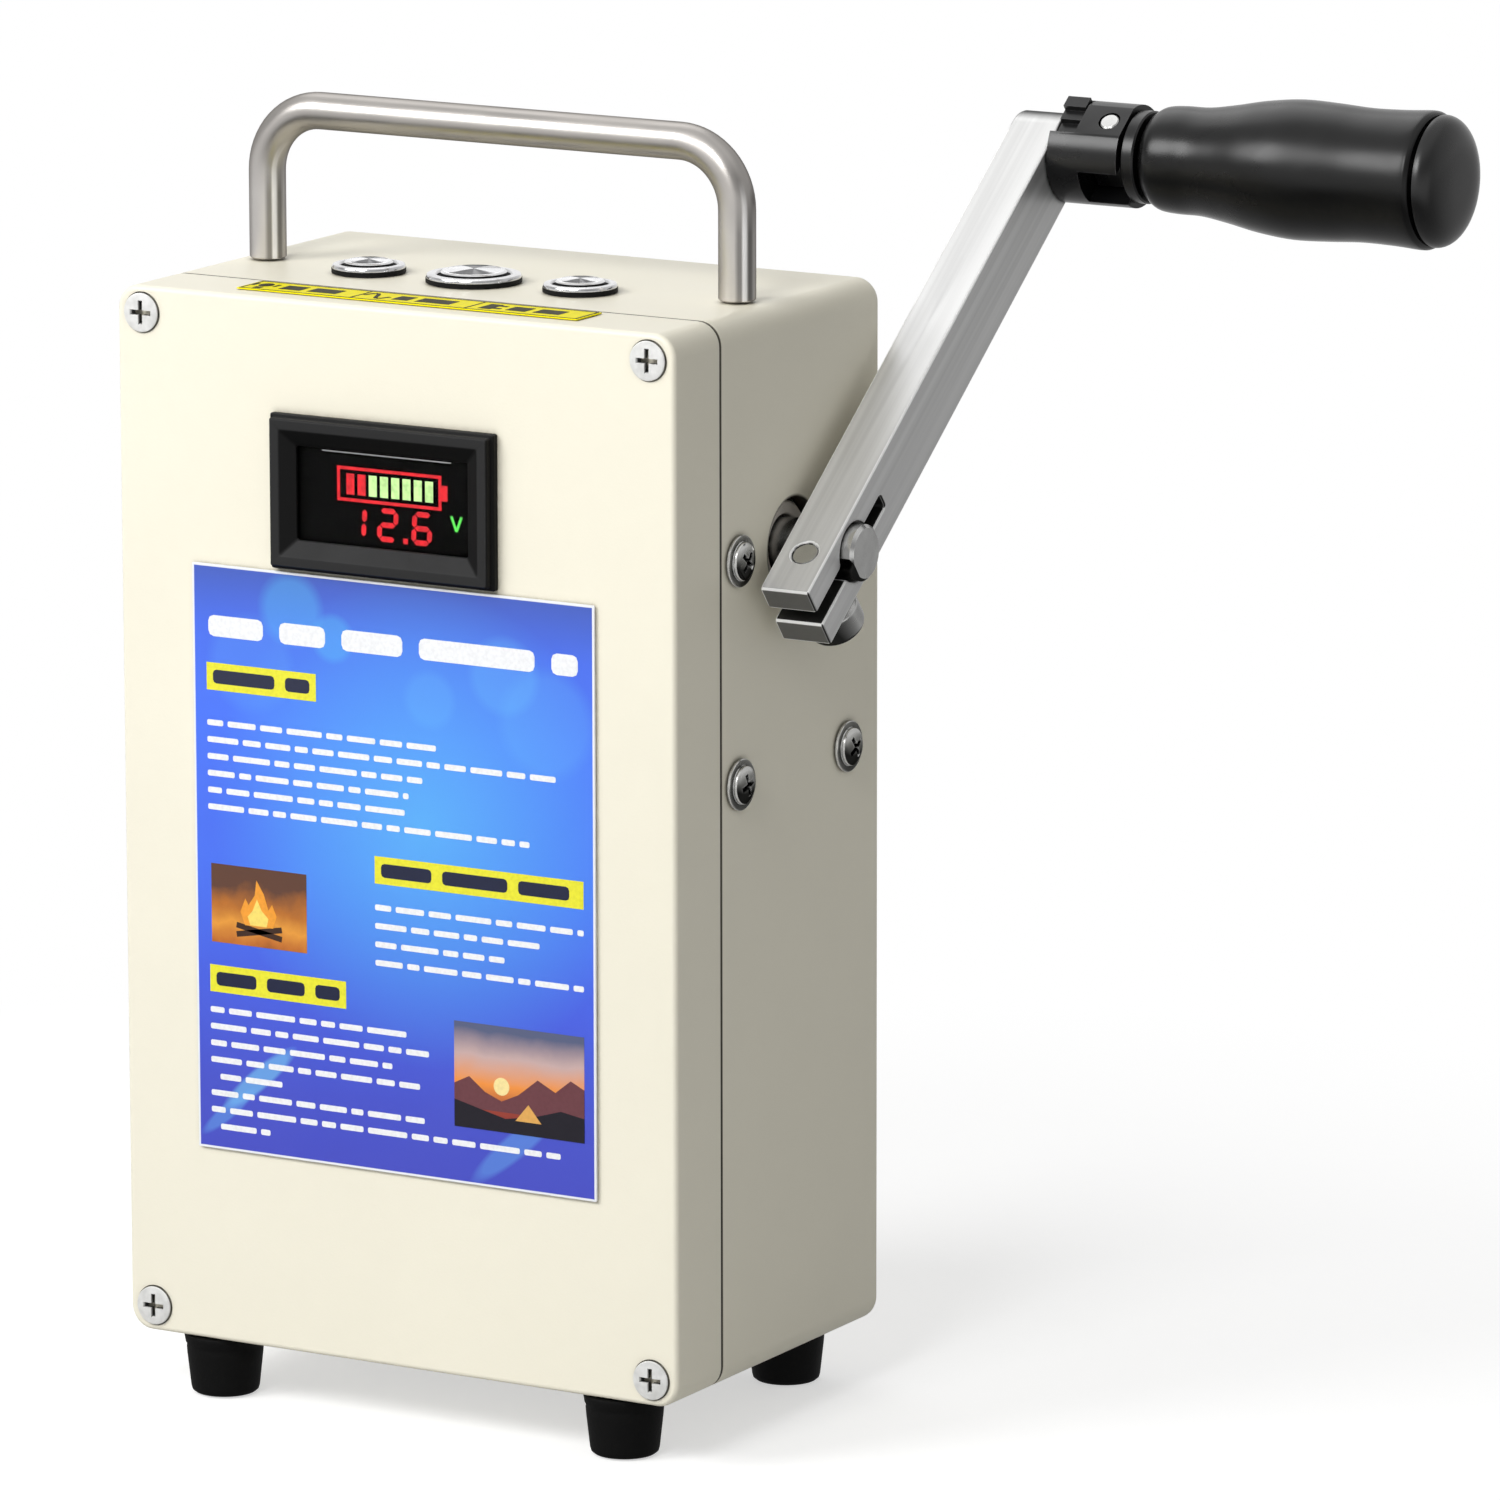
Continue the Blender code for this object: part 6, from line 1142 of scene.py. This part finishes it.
def drawn_in(outline, amount):
    """An anticlockwise outline moved inwards, square to its sides."""
    points = []
    for index, corner in enumerate(outline):
        before = (Vector(corner) - Vector(outline[index - 1])).normalized()
        after = (Vector(outline[(index + 1) % len(outline)]) - Vector(corner)).normalized()
        first, second = Vector((-before.y, before.x)), Vector((-after.y, after.x))
        mitre = (first + second).normalized()
        points.append(tuple(Vector(corner) + mitre * amount / max(mitre.dot(first), 0.5)))
    return points


meet = math.asin(SPLIT / SHAFT_SEAT)
near_seat = [3 * math.pi / 2 - meet - (math.pi - 2 * meet) * step / 18 for step in range(19)]
arm_outline = [(-ARM_WIDTH / 2, ARM_END), (-SPLIT, ARM_END)]
arm_outline += [(SHAFT_SEAT * math.cos(angle), SHAFT_SEAT * math.sin(angle)) for angle in near_seat]
arm_outline += [(-SPLIT, SPLIT_TOP), (SPLIT, SPLIT_TOP)]
arm_outline += [(SHAFT_SEAT * math.cos(angle - math.pi), SHAFT_SEAT * math.sin(angle - math.pi)) for angle in near_seat]
arm_outline += [(SPLIT, ARM_END), (ARM_WIDTH / 2, ARM_END)]
arm_outline += [(ARM_WIDTH / 2 * math.cos(angle), ARM_THROW + ARM_WIDTH / 2 * math.sin(angle))
                for angle in (math.pi * step / 28 for step in range(29))]
arm_outline = edges_broken(arm_outline, ARM_EDGE * 1.2)
arm_length = ARM_OUTER - ARM_INNER
arm_sections = [(drawn_in(arm_outline, ARM_EDGE), 0),
                (drawn_in(arm_outline, ARM_EDGE * EDGE_MIDDLE), ARM_EDGE * EDGE_MIDDLE), (arm_outline, ARM_EDGE)]
arm_sections += [(outline, arm_length - rise) for outline, rise in reversed(arm_sections)]
arm = machined("pinch_arm", lofted(arm_sections), on_crank(ARM_INNER, 0, 0),
               cuts=[(drill(CLAMP_HOLE, 0.018, 40), on_crank(ARM_MIDDLE, -0.009, -CLAMP_STATION, BACKWARD)),
                     (turned([(0, 0), (0.0032, 0), (0.0025, 0.0006), (0, 0.0006)], 40),
                      on_crank(ARM_MIDDLE, -ARM_WIDTH / 2 - 0.0001, -CLAMP_STATION, BACKWARD)),
                     (drill(BRACKET_BOLT_HOLE, 0.015, 32), on_crank(ARM_INNER - 0.002, 0, ARM_THROW))], sharp=50)
brushed_aluminium, tree, shader = new_finish("brushed aluminium", Anisotropic=0.5, Specular_Tint=(0.3, 0.3, 0.3, 1))
place = add_node(tree, "Mapping", {"Vector": coordinate(tree), "Location": (0, SHAFT_Y, SHAFT_Z),
                                   "Rotation": (CRANK_LEAN, 0, 0)}, vector_type="TEXTURE").outputs[0]
on_arm = axes(tree, place)
stretched = vector_math(tree, "MULTIPLY", place, (3200.0, 3200.0, 30.0))
lines = noise(tree, stretched, 1.0, 5.0, Roughness=0.7)
tone = spread(tree, noise(tree, stretched, 0.2), 0.3, 0.7)
base = blended(tree, tone, (0.66, 0.66, 0.655), (0.80, 0.80, 0.795))
# Painted shade on the end face at the shaft end.
painted_end_shade = spread(tree, on_arm["Z"], ARM_END + 0.0006, ARM_END + 0.0002)
base = blended(tree, painted_end_shade, base, (0.20, 0.20, 0.195))
turned_normal = add_node(tree, "VectorRotate", {"Vector": coordinate(tree, "Normal"), "Angle": -CRANK_LEAN},
                         rotation_type="X_AXIS").outputs[0]
signed = axes(tree, turned_normal)
facing = axes(tree, vector_math(tree, "ABSOLUTE", turned_normal))
# Painted shade over the rounded grip end.
painted_round_end_shade = product(tree, spread(tree, facing["Z"], 0.05, 0.6),
                    spread(tree, on_arm["Z"], ARM_THROW, ARM_THROW + 0.0015))
base = blended(tree, painted_round_end_shade, base, (0.10, 0.10, 0.10))
# Painted shade, with some grime, in the recesses.
recess_shading = use_group(tree, RECESS_SHADE_AND_GRIME, Reach=0.001)["Mask"]
base = blended(tree, recess_shading, base, (0.03, 0.03, 0.03))
# Painted highlight: the broken edges are near white and not metallic.
squarest = math_node(tree, "MAXIMUM", facing["X"], math_node(tree, "MAXIMUM", facing["Y"], facing["Z"]))
painted_edge_highlight = product(tree, spread(tree, squarest, 0.985, 0.93),
                      spread(tree, on_arm["Z"], ARM_THROW - 0.0005, ARM_THROW - 0.0025))
base = blended(tree, painted_edge_highlight, base, (0.98, 0.98, 0.97))
# Painted shade on faces turned down and outwards.
painted_under_shade = product(tree, spread(tree, signed["X"], 0.2, 0.45), spread(tree, signed["Z"], -0.2, -0.45))
base = blended(tree, painted_under_shade, base, (0.03, 0.03, 0.029))
# Painted shade inside the split.
painted_split_shade = product(tree, math_node(tree, "LESS_THAN", math_node(tree, "ABSOLUTE", on_arm["Y"]), SPLIT + 0.00005),
                   math_node(tree, "LESS_THAN", on_arm["X"], ARM_OUTER - 0.0004),
                   math_node(tree, "LESS_THAN", on_arm["Z"], SPLIT_TOP + 0.001))
tree.links.new(blended(tree, painted_split_shade, base, (0.05, 0.05, 0.048)), shader.inputs["Base Color"])
# Less metallic towards the shaft end, so that it takes more diffuse light.
metal_share = spread(tree, on_arm["Z"], 0.0, 0.035, 0.55, 0.85)
tree.links.new(product(tree, metal_share, spread(tree, painted_edge_highlight, 0.0, 1.0, 1.0, 0.0)), shader.inputs["Metallic"])
roughened(tree, shader, 0.36, (tone, 0.06), (use_group(tree, HANDLING_MARKS, Scale=50)["Smear"], 0.05))
bumped(tree, shader, lines, 0.00001)
dressed(arm, brushed_aluminium, "crank", "brushed_aluminium", "crank_arm")

# Clamp bolt: a stainless socket bolt across the split, its end sunk in the near cheek and its thick round head
# standing on the far one.
SOCKET_REACH = 0.0024
SOCKET_FLOOR = 0.0173
profile = [(0, 0.0004), (0.0023, 0.0004), (0.0025, 0.0006), (0.0025, 0.0143), (0.0046, 0.0143), (0.0052, 0.0148),
           (0.0054, 0.0153), (0.0054, 0.0192), (0.0052, 0.0198), (0.0048, 0.0202), (0.0042, 0.0203), (0, 0.0203)]
hexagon = [(SOCKET_REACH * math.cos(math.tau * side / 6), SOCKET_REACH * math.sin(math.tau * side / 6))
           for side in range(6)]
bolt = machined("pinch_bolt", turned(profile, 56), on_crank(ARM_MIDDLE, -ARM_WIDTH / 2, -CLAMP_STATION, BACKWARD),
                cuts=[(lofted([(hexagon, 0), (hexagon, 0.005)]),
                       on_crank(ARM_MIDDLE, -ARM_WIDTH / 2 + SOCKET_FLOOR, -CLAMP_STATION, BACKWARD))])
dressed(bolt, turned_steel, "crank", "stainless", "clamp_bolt")

# Grip bracket: a turned block with flats, black anodised, stepped where it seats on the arm's end and forked
# for the spindle's tongue; its bolt comes through the arm and its cross pin through the fork.
BRACKET_START = 0.0736
BRACKET_LENGTH = 0.0147
BRACKET_RADIUS = 0.0098
FLAT = 0.0091
POCKET_FLOOR = FLAT - 0.0022
POCKET_REACH = 0.0118
PIN_STATION = BRACKET_START + BRACKET_LENGTH - 0.0036
PIN_HOLE = 0.00215
gloss_black = moulded_plastic("gloss black", (0.004, 0.004, 0.0044), 0.3, grain=900, depth=0.000003,
                              worn=(0.07, 0.07, 0.072), wear=0.0003, drift=0.1, Specular_IOR_Level=0.45)
pocket_low = math.sqrt(BRACKET_RADIUS ** 2 - FLAT ** 2)
pocket_height = pocket_low + POCKET_REACH
steps = [(-POCKET_FLOOR / 2, 0.0006), (-POCKET_FLOOR / 2, 0.0056), (-FLAT, 0.0056), (-FLAT, 0.003),
         (-(FLAT + POCKET_FLOOR) / 2, 0.003), (-(FLAT + POCKET_FLOOR) / 2, 0.0006)]
profile = [(0, 0), (BRACKET_RADIUS, 0), (BRACKET_RADIUS, BRACKET_LENGTH), (0, BRACKET_LENGTH)]
flats = [(block(0.003, 0.0236, 0.019), on_crank(BRACKET_START - 0.002, side * (FLAT + 0.0015), ARM_THROW))
         for side in (-1, 1)]
bracket = machined("bracket_block", turned(profile, 72), on_crank(BRACKET_START, 0, ARM_THROW), cuts=flats)
pocket = [(block(0.0072, pocket_height, POCKET_REACH - POCKET_FLOOR),
           on_crank(BRACKET_START + 0.0016, -POCKET_FLOOR, ARM_THROW - pocket_low + pocket_height / 2, FRONTWARD))]
slots = [(block(0.008, 0.0168, 0.0103), on_crank(BRACKET_START + BRACKET_LENGTH - 0.0083, 0, ARM_THROW - 0.0034)),
         (drill(PIN_HOLE, 0.024, 40), on_crank(PIN_STATION, 0.012, ARM_THROW, FRONTWARD))]


def worked(item, cuts=(), joins=(), **finish):
    """A second machining of a piece that is already made."""
    mesh = bmesh.new()
    mesh.from_mesh(item.data)
    name = item.name
    bpy.data.objects.remove(item)
    return machined(name, mesh, cuts=cuts, joins=joins, **finish)


bracket = worked(bracket, cuts=pocket)
bracket = worked(bracket, joins=[(lofted([(steps, 0), (steps, 0.0048)]), on_crank(BRACKET_START, 0, ARM_THROW))],
                 cuts=slots, edge=0.00025)
dressed(bracket, gloss_black, "crank", "gloss_black", "grip_bracket")

# Bracket bolt and cross pin: a stainless bolt whose round head shows on the arm's case side, and a chromed
# dowel through the fork, flush with its flats.
profile = [(0, -0.0025), (0.0026, -0.0025), (0.003, -0.0024), (0.00325, -0.0021), (0.00325, -0.0003), (0.002, -0.0003),
           (0.002, 0.015), (0, 0.015)]
bracket_bolt = machined("bracket_bolt_head", turned(profile), on_crank(ARM_INNER, 0, ARM_THROW))
dressed(bracket_bolt, turned_steel, "crank", "stainless", "bracket_bolt")
pin_profile = [(0, 0), (0.0016, 0), (0.00185, 0.0002), (0.00185, 0.018), (0.0016, 0.0182), (0, 0.0182)]
pin = machined("dowel_pin", turned(pin_profile, 40), on_crank(PIN_STATION, FLAT, ARM_THROW, FRONTWARD))
dressed(pin, turned_steel, "crank", "bright_chrome", "cross_pin")

# Spindle: blackened steel, pinned in the fork by its tongue; its collar shows as a thin disc between the bracket
# and the grip, and its end takes the screw that keeps the grip on.
NECK_START = 0.0886
COLLAR_LENGTH = 0.0026
GRIP_LENGTH = 0.059
CAP_BORE = 0.011
spindle_length = COLLAR_LENGTH + 0.0006 + GRIP_LENGTH - CAP_BORE
profile = [(0, 0), (0.0085, 0), (0.0088, 0.0003), (0.0088, 0.0023), (0.0085, COLLAR_LENGTH), (0.004, COLLAR_LENGTH),
           (0.004, spindle_length), (0, spindle_length)]
spindle = machined("grip_spindle_collar", turned(profile, 64), on_crank(NECK_START, 0, ARM_THROW),
                   joins=[(block(0.0074, 0.0094, 0.0093), on_crank(NECK_START - 0.0083, 0, ARM_THROW))],
                   cuts=[(drill(PIN_HOLE, 0.012, 32), on_crank(PIN_STATION, 0.006, ARM_THROW, FRONTWARD)),
                         (drill(0.0021, 0.013, 32), on_crank(NECK_START + spindle_length - 0.0123, 0, ARM_THROW))])
dressed(spindle, gloss_black, "crank", "gloss_black", "grip_spindle")

# Grip: a hard glossy black sleeve that spins on the spindle, swelling towards the hand's middle, with a domed
# cap pressed into its end.
GRIP_START = 0.0915
GRIP_RADIUS = 0.01315
GRIP_SHAPE = ((0.000, 0.50), (0.010, 0.62), (0.028, 0.70), (0.055, 0.755), (0.110, 0.775), (0.190, 0.780),
              (0.290, 0.85), (0.400, 0.945), (0.520, 1.0), (0.640, 0.985), (0.760, 0.955), (0.880, 0.965),
              (0.970, 0.990), (0.992, 0.970), (1.000, 0.930))


def eased(points, between):
    """A smooth line through the points, with this many steps from each to the next."""
    line = []
    for number in range(len(points) - 1):
        before = points[max(number - 1, 0)]
        first, last = points[number], points[number + 1]
        after = points[min(number + 2, len(points) - 1)]
        for step in range(between):
            t = step / between
            line.append(tuple(
                0.5 * (2 * b + (c - a) * t + (2 * a - 5 * b + 4 * c - d) * t ** 2 + (3 * b - a - 3 * c + d) * t ** 3)
                for a, b, c, d in zip(before, first, last, after)))
    return line + [points[-1]]


outline = [(GRIP_RADIUS * share, GRIP_LENGTH * station) for station, share in eased(GRIP_SHAPE, 5)]
outline = [(0.0044, 0), (0.0058, 0)] + outline + [(0.0085, GRIP_LENGTH), (0.0085, GRIP_LENGTH - CAP_BORE),
                                                 (0.0044, GRIP_LENGTH - CAP_BORE)]
grip_black = moulded_plastic("polished grip plastic", (0.002, 0.002, 0.0021), 0.3, grain=1400, depth=0.000002,
                             worn=(0.006, 0.006, 0.006), wear=0.0008, drift=0.1, Specular_IOR_Level=0.36)
cap_black = moulded_plastic("polished cap plastic", (0.004, 0.004, 0.0042), 0.3, grain=1400, depth=0.000002,
                            worn=(0.012, 0.012, 0.012), wear=0.0008, drift=0.1, Specular_IOR_Level=0.6)
sleeve = machined("spinning_grip", turned(outline, 80), on_crank(GRIP_START, 0, ARM_THROW), sharp=50)
dressed(sleeve, grip_black, "grip", "gloss_black", "grip_sleeve")
profile = [(0, -0.004), (0.0082, -0.004), (0.0082, 0.0003), (0.0103, 0.0003), (0.0103, 0.0009),
           *dome(0.0124, 0.0009, 0.0045, 14, 0.6)]
cap = machined("domed_cap", turned(profile, 80), on_crank(GRIP_START + GRIP_LENGTH, 0, ARM_THROW), sharp=50)
dressed(cap, cap_black, "grip", "gloss_black", "grip_cap")

# Left wall: a mains outlet, a socket for charging by cable and a charging jack, moulded in black plastic, and the
# lamp, a chromed reflector behind a clear lens. Each is pressed into its own cut-out from outside.
LEFT_FACE = -0.0603
PLATE_DEPTH = 0.0025
PLATE_CORNER = 0.002
BODY_START = LEFT_FACE - PLATE_DEPTH / 2
SLOT_START = LEFT_FACE - 0.0045
BLADE_Z = 0.1215
EARTH_Z = 0.111


def wall_plate(width, height):
    rows = [(inset, PLATE_CORNER, level) for inset, level in (
        (0, 0), (0, PLATE_DEPTH - 0.0005), (0.00015, PLATE_DEPTH - 0.00015), (0.0005, PLATE_DEPTH))]
    return lofted(tiers(width, height, rows, 6))


outlet_cuts = [(block(0.0018, 0.007, 0.018), placed((SLOT_START, SHAFT_Y + side * 0.00635, BLADE_Z), RIGHTWARD))
               for side in (-1, 1)]
outlet_cuts.append((drill(0.0025, 0.018, 32), placed((SLOT_START, SHAFT_Y, EARTH_Z), RIGHTWARD)))
usb_cuts = [(block(0.0125, 0.0016, 0.013), placed((SLOT_START, SHAFT_Y, USB_Z + side * 0.0017), RIGHTWARD))
            for side in (-1, 1)]
for name, node, z, plate, body, cuts in (
        ("mains_outlet", "ac_outlet", OUTLET_Z, (0.034, 0.028), (0.028, 0.022, 0.021), outlet_cuts),
        ("charging_socket", "usb_socket", USB_Z, (0.021, 0.013), (0.017, 0.009, 0.015), usb_cuts)):
    socket = machined(name, wall_plate(*plate), placed((LEFT_FACE, SHAFT_Y, z), LEFTWARD),
                      joins=[(block(*body), placed((BODY_START, SHAFT_Y, z), RIGHTWARD))], cuts=cuts)
    dressed(socket, black_plastic, "case", "black_plastic", node)
profile = [(0, 0.00125), (0.0008, 0.00125), (0.00105, 0.001), (0.00105, -0.0065), (0.0032, -0.0065),
           (0.0032, 0.0022), (0.0035, 0.0025), (0.0071, 0.0025), (0.0075, 0.0021), (0.0075, 0), (0.0055, 0),
           (0.0055, -0.011), (0, -0.011)]
jack = machined("round_jack", turned(profile), placed((LEFT_FACE, JACK_Y, JACK_Z), LEFTWARD))
dressed(jack, black_plastic, "case", "black_plastic", "charge_jack")
profile = [(0, -0.010), (0.002, -0.0098), (0.0038, -0.0085), (0.005, -0.0055), (0.0057, 0), (0.0066, 0),
           (0.0066, 0.002), (0.0101, 0.002), (0.0105, 0.0016), (0.0105, 0), (0.008, 0), (0.008, -0.012), (0, -0.012)]
bezel = machined("lamp_reflector", turned(profile, 64), placed((LEFT_FACE, SHAFT_Y, LAMP_Z), LEFTWARD), sharp=40)
dressed(bezel, bright_chrome, "case", "bright_chrome", "lamp_bezel")
clear_lens, tree, shader = new_finish("clear lens", Base_Color=(0.95, 0.97, 0.98, 1), Transmission_Weight=1.0,
                                      IOR=1.49)
marks = use_group(tree, HANDLING_MARKS, Scale=120)
roughened(tree, shader, 0.03, (marks["Smear"], 0.06), (marks["Scratch"], 0.1))
profile = [(0, 0.0003), (0.0063, 0.0003), (0.0063, 0.0019), *dome(0.0063, 0.002, 0.0008, 8)]
lens = machined("lamp_lens_cover", turned(profile, 56), placed((LEFT_FACE, SHAFT_Y, LAMP_Z), LEFTWARD), sharp=40)
dressed(lens, clear_lens, "case", "clear_lens", "lamp_lens")

# Inside the case: gasket, fixings, gearbox, generator, battery and inverter board keep their solid shapes and
# take the finishes of their metals, rubber, laminate and wrap.
zinc_steel = plated_metal("zinc plated steel", (0.66, 0.66, 0.64), (0.50, 0.50, 0.48), 0.3)
cast_alloy = plated_metal("die cast alloy", (0.50, 0.50, 0.49), (0.40, 0.40, 0.39), 0.55, lines=(600, 600, 600),
                          depth=0.00003, Metallic=0.8)
gear_steel = plated_metal("hobbed gear steel", (0.46, 0.47, 0.49), (0.33, 0.34, 0.36), 0.34, lines=(300, 2500, 2500))
copper_iron = plated_metal("copper windings", (0.60, 0.27, 0.11), (0.34, 0.15, 0.08), 0.45, lines=(2600, 300, 2600),
                           depth=0.00003, bright=(0.8, 0.45, 0.25), Metallic=0.6)
pack_wrap = moulded_plastic("blue shrink wrap", (0.04, 0.13, 0.48), 0.3, grain=300, depth=0.00004,
                            worn=(0.2, 0.35, 0.7))
board_green = moulded_plastic("green board laminate", (0.02, 0.16, 0.06), 0.45, grain=2200, depth=0.00001,
                              worn=(0.35, 0.42, 0.2))
INNER_FINISHES = (
    (black_rubber, ("lid_gasket",)), (stainless, ("idler_axle",)), (copper_iron, ("generator_stator",)),
    (pack_wrap, ("battery_pack",)), (board_green, ("inverter_board",)),
    (cast_alloy, ("gearbox_housing", "gearbox_cover")), (gear_steel, ("main_gear", "idler_gear", "generator_rotor")),
    (zinc_steel, ("generator_can", "spindle_screw", "handle_screw_left", "handle_screw_right",
                  "foot_screw_1", "foot_screw_2", "foot_screw_3", "foot_screw_4")))
for material, nodes in INNER_FINISHES:
    for node in nodes:
        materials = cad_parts[node].data.materials
        materials.clear()
        materials.append(material)

# Floor, backdrop, lamps and camera: a pale sheet that fades into white and is clear from below, a large soft key
# from the front left, a soft fill, a small light above, and a long lens that looks a little down.
FEET_LOW = -0.012
FLOOR_GAP = 0.0002
FLOOR_REACH = 6
floor_mesh = bmesh.new()
bmesh.ops.create_circle(floor_mesh, cap_ends=True, segments=96, radius=FLOOR_REACH)
floor = stood("pale_floor", floor_mesh, placed((0, 0, FEET_LOW - FLOOR_GAP)))


def seen_as_white(tree, across):
    """How far a ray sees the white backdrop: fully from the camera and through glass, and in reflections
    wherever they look towards the back of the studio."""
    path = add_node(tree, "LightPath").outputs
    behind = product(tree, path["Is Glossy Ray"], across)
    seen = math_node(tree, "ADD", path["Is Camera Ray"], behind, clamp=True)
    return math_node(tree, "ADD", seen, path["Is Transmission Ray"], clamp=True)


def glow(tree, strength):
    return add_node(tree, "Emission", {"Color": (1, 1, 1, 1), "Strength": strength}).outputs[0]


def mixed(tree, share, first, second):
    return add_node(tree, "MixShader", {0: share, 1: first, 2: second}).outputs[0]


floor_white, tree, shader = new_finish("pale floor", Roughness=0.9, Specular_IOR_Level=0.1)
place = coordinate(tree)
on_floor = axes(tree, place)
reach = vector_math(tree, "LENGTH", place)
speckle = noise(tree, place, 220.0, 4.0)
tree.links.new(blended(tree, speckle, (0.61, 0.61, 0.605), (0.64, 0.64, 0.64)), shader.inputs["Base Color"])
backdrop = seen_as_white(tree, 0.0)
lifted = add_node(tree, "AddShader", {0: shader.outputs[0], 1: glow(tree, product(tree, backdrop, 0.55))}).outputs[0]
surface = mixed(tree, product(tree, spread(tree, reach, 0.12, 0.34), backdrop), lifted, glow(tree, 1.0))
far_side = product(tree, spread(tree, on_floor["Y"], -0.3, 0.5), spread(tree, on_floor["X"], -0.2, 0.4, 1.0, 0.45))
near_side = product(tree, spread(tree, reach, 0.45, 0.9, 0.03, 0.9), spread(tree, on_floor["Y"], 0.2, -0.2))
reflected = glow(tree, math_node(tree, "MAXIMUM", far_side, near_side))
surface = mixed(tree, add_node(tree, "LightPath").outputs["Is Glossy Ray"], surface, reflected)
from_below = add_node(tree, "NewGeometry").outputs["Backfacing"]
surface = mixed(tree, from_below, surface, add_node(tree, "BsdfTransparent").outputs[0])
tree.links.new(surface, tree.nodes["Material Output"].inputs["Surface"])
floor.data.materials.append(floor_white)

world = bpy.data.worlds.new("studio")
bpy.context.scene.world = world
world.use_nodes = True
tree = world.node_tree
facing = axes(tree, coordinate(tree, "Generated"))
far_side = product(tree, spread(tree, facing["Y"], -0.35, 0.4), spread(tree, facing["X"], -0.2, 0.4, 1.0, 0.45))
near_side = product(tree, spread(tree, facing["Z"], 0.25, 0.05, 0.04, 0.9), spread(tree, facing["Y"], 0.2, -0.2))
overhead = spread(tree, facing["Z"], 0.45, 0.8, 0.0, 0.8)
across = math_node(tree, "MAXIMUM", math_node(tree, "MAXIMUM", far_side, near_side), overhead)
background = tree.nodes["Background"].inputs
background["Color"].default_value = (1, 1, 1, 1)
tree.links.new(spread(tree, seen_as_white(tree, across), 0.0, 1.0, 0.3, 1.0), background["Strength"])


def soft_lamp(name, location, aim, size, watts):
    light = bpy.data.lights.new(name, "AREA")
    light.shape = "DISK"
    light.size = size
    light.energy = watts
    lamp = bpy.data.objects.new(name, light)
    lamp.location = location
    lamp.rotation_euler = (Vector(aim) - Vector(location)).to_track_quat("-Z", "Y").to_euler()
    bpy.context.scene.collection.objects.link(lamp)


soft_lamp("key_lamp", (-0.72, -1.0, 0.95), (0, 0, 0.11), 0.7, 11.4)
soft_lamp("fill_lamp", (0.12, -1.0, 0.90), (0, 0, 0.11), 0.5, 6.5)
soft_lamp("top_lamp", (-0.30, 0.38, 0.80), (0.07, 0.05, 0.2), 0.6, 0.85)

TARGET = Vector((0.05358, 0, 0.11640))
DISTANCE = 1.9264
AZIMUTH = math.radians(30.06)
ELEVATION = math.radians(11.73)
ROLL = math.radians(-0.07)
back = Vector((math.sin(AZIMUTH) * math.cos(ELEVATION), -math.cos(AZIMUTH) * math.cos(ELEVATION), math.sin(ELEVATION)))
camera_data = bpy.data.cameras.new("camera")
camera_data.lens = 250.1
camera_data.sensor_width = 36
camera_data.clip_end = 20
camera = bpy.data.objects.new("camera", camera_data)
camera.location = TARGET + back * DISTANCE
camera.rotation_mode = "QUATERNION"
camera.rotation_quaternion = back.to_track_quat("Z", "Y") @ Euler((0, 0, ROLL)).to_quaternion()
bpy.context.scene.collection.objects.link(camera)
bpy.context.scene.camera = camera
bpy.context.scene.view_settings.view_transform = "Standard"
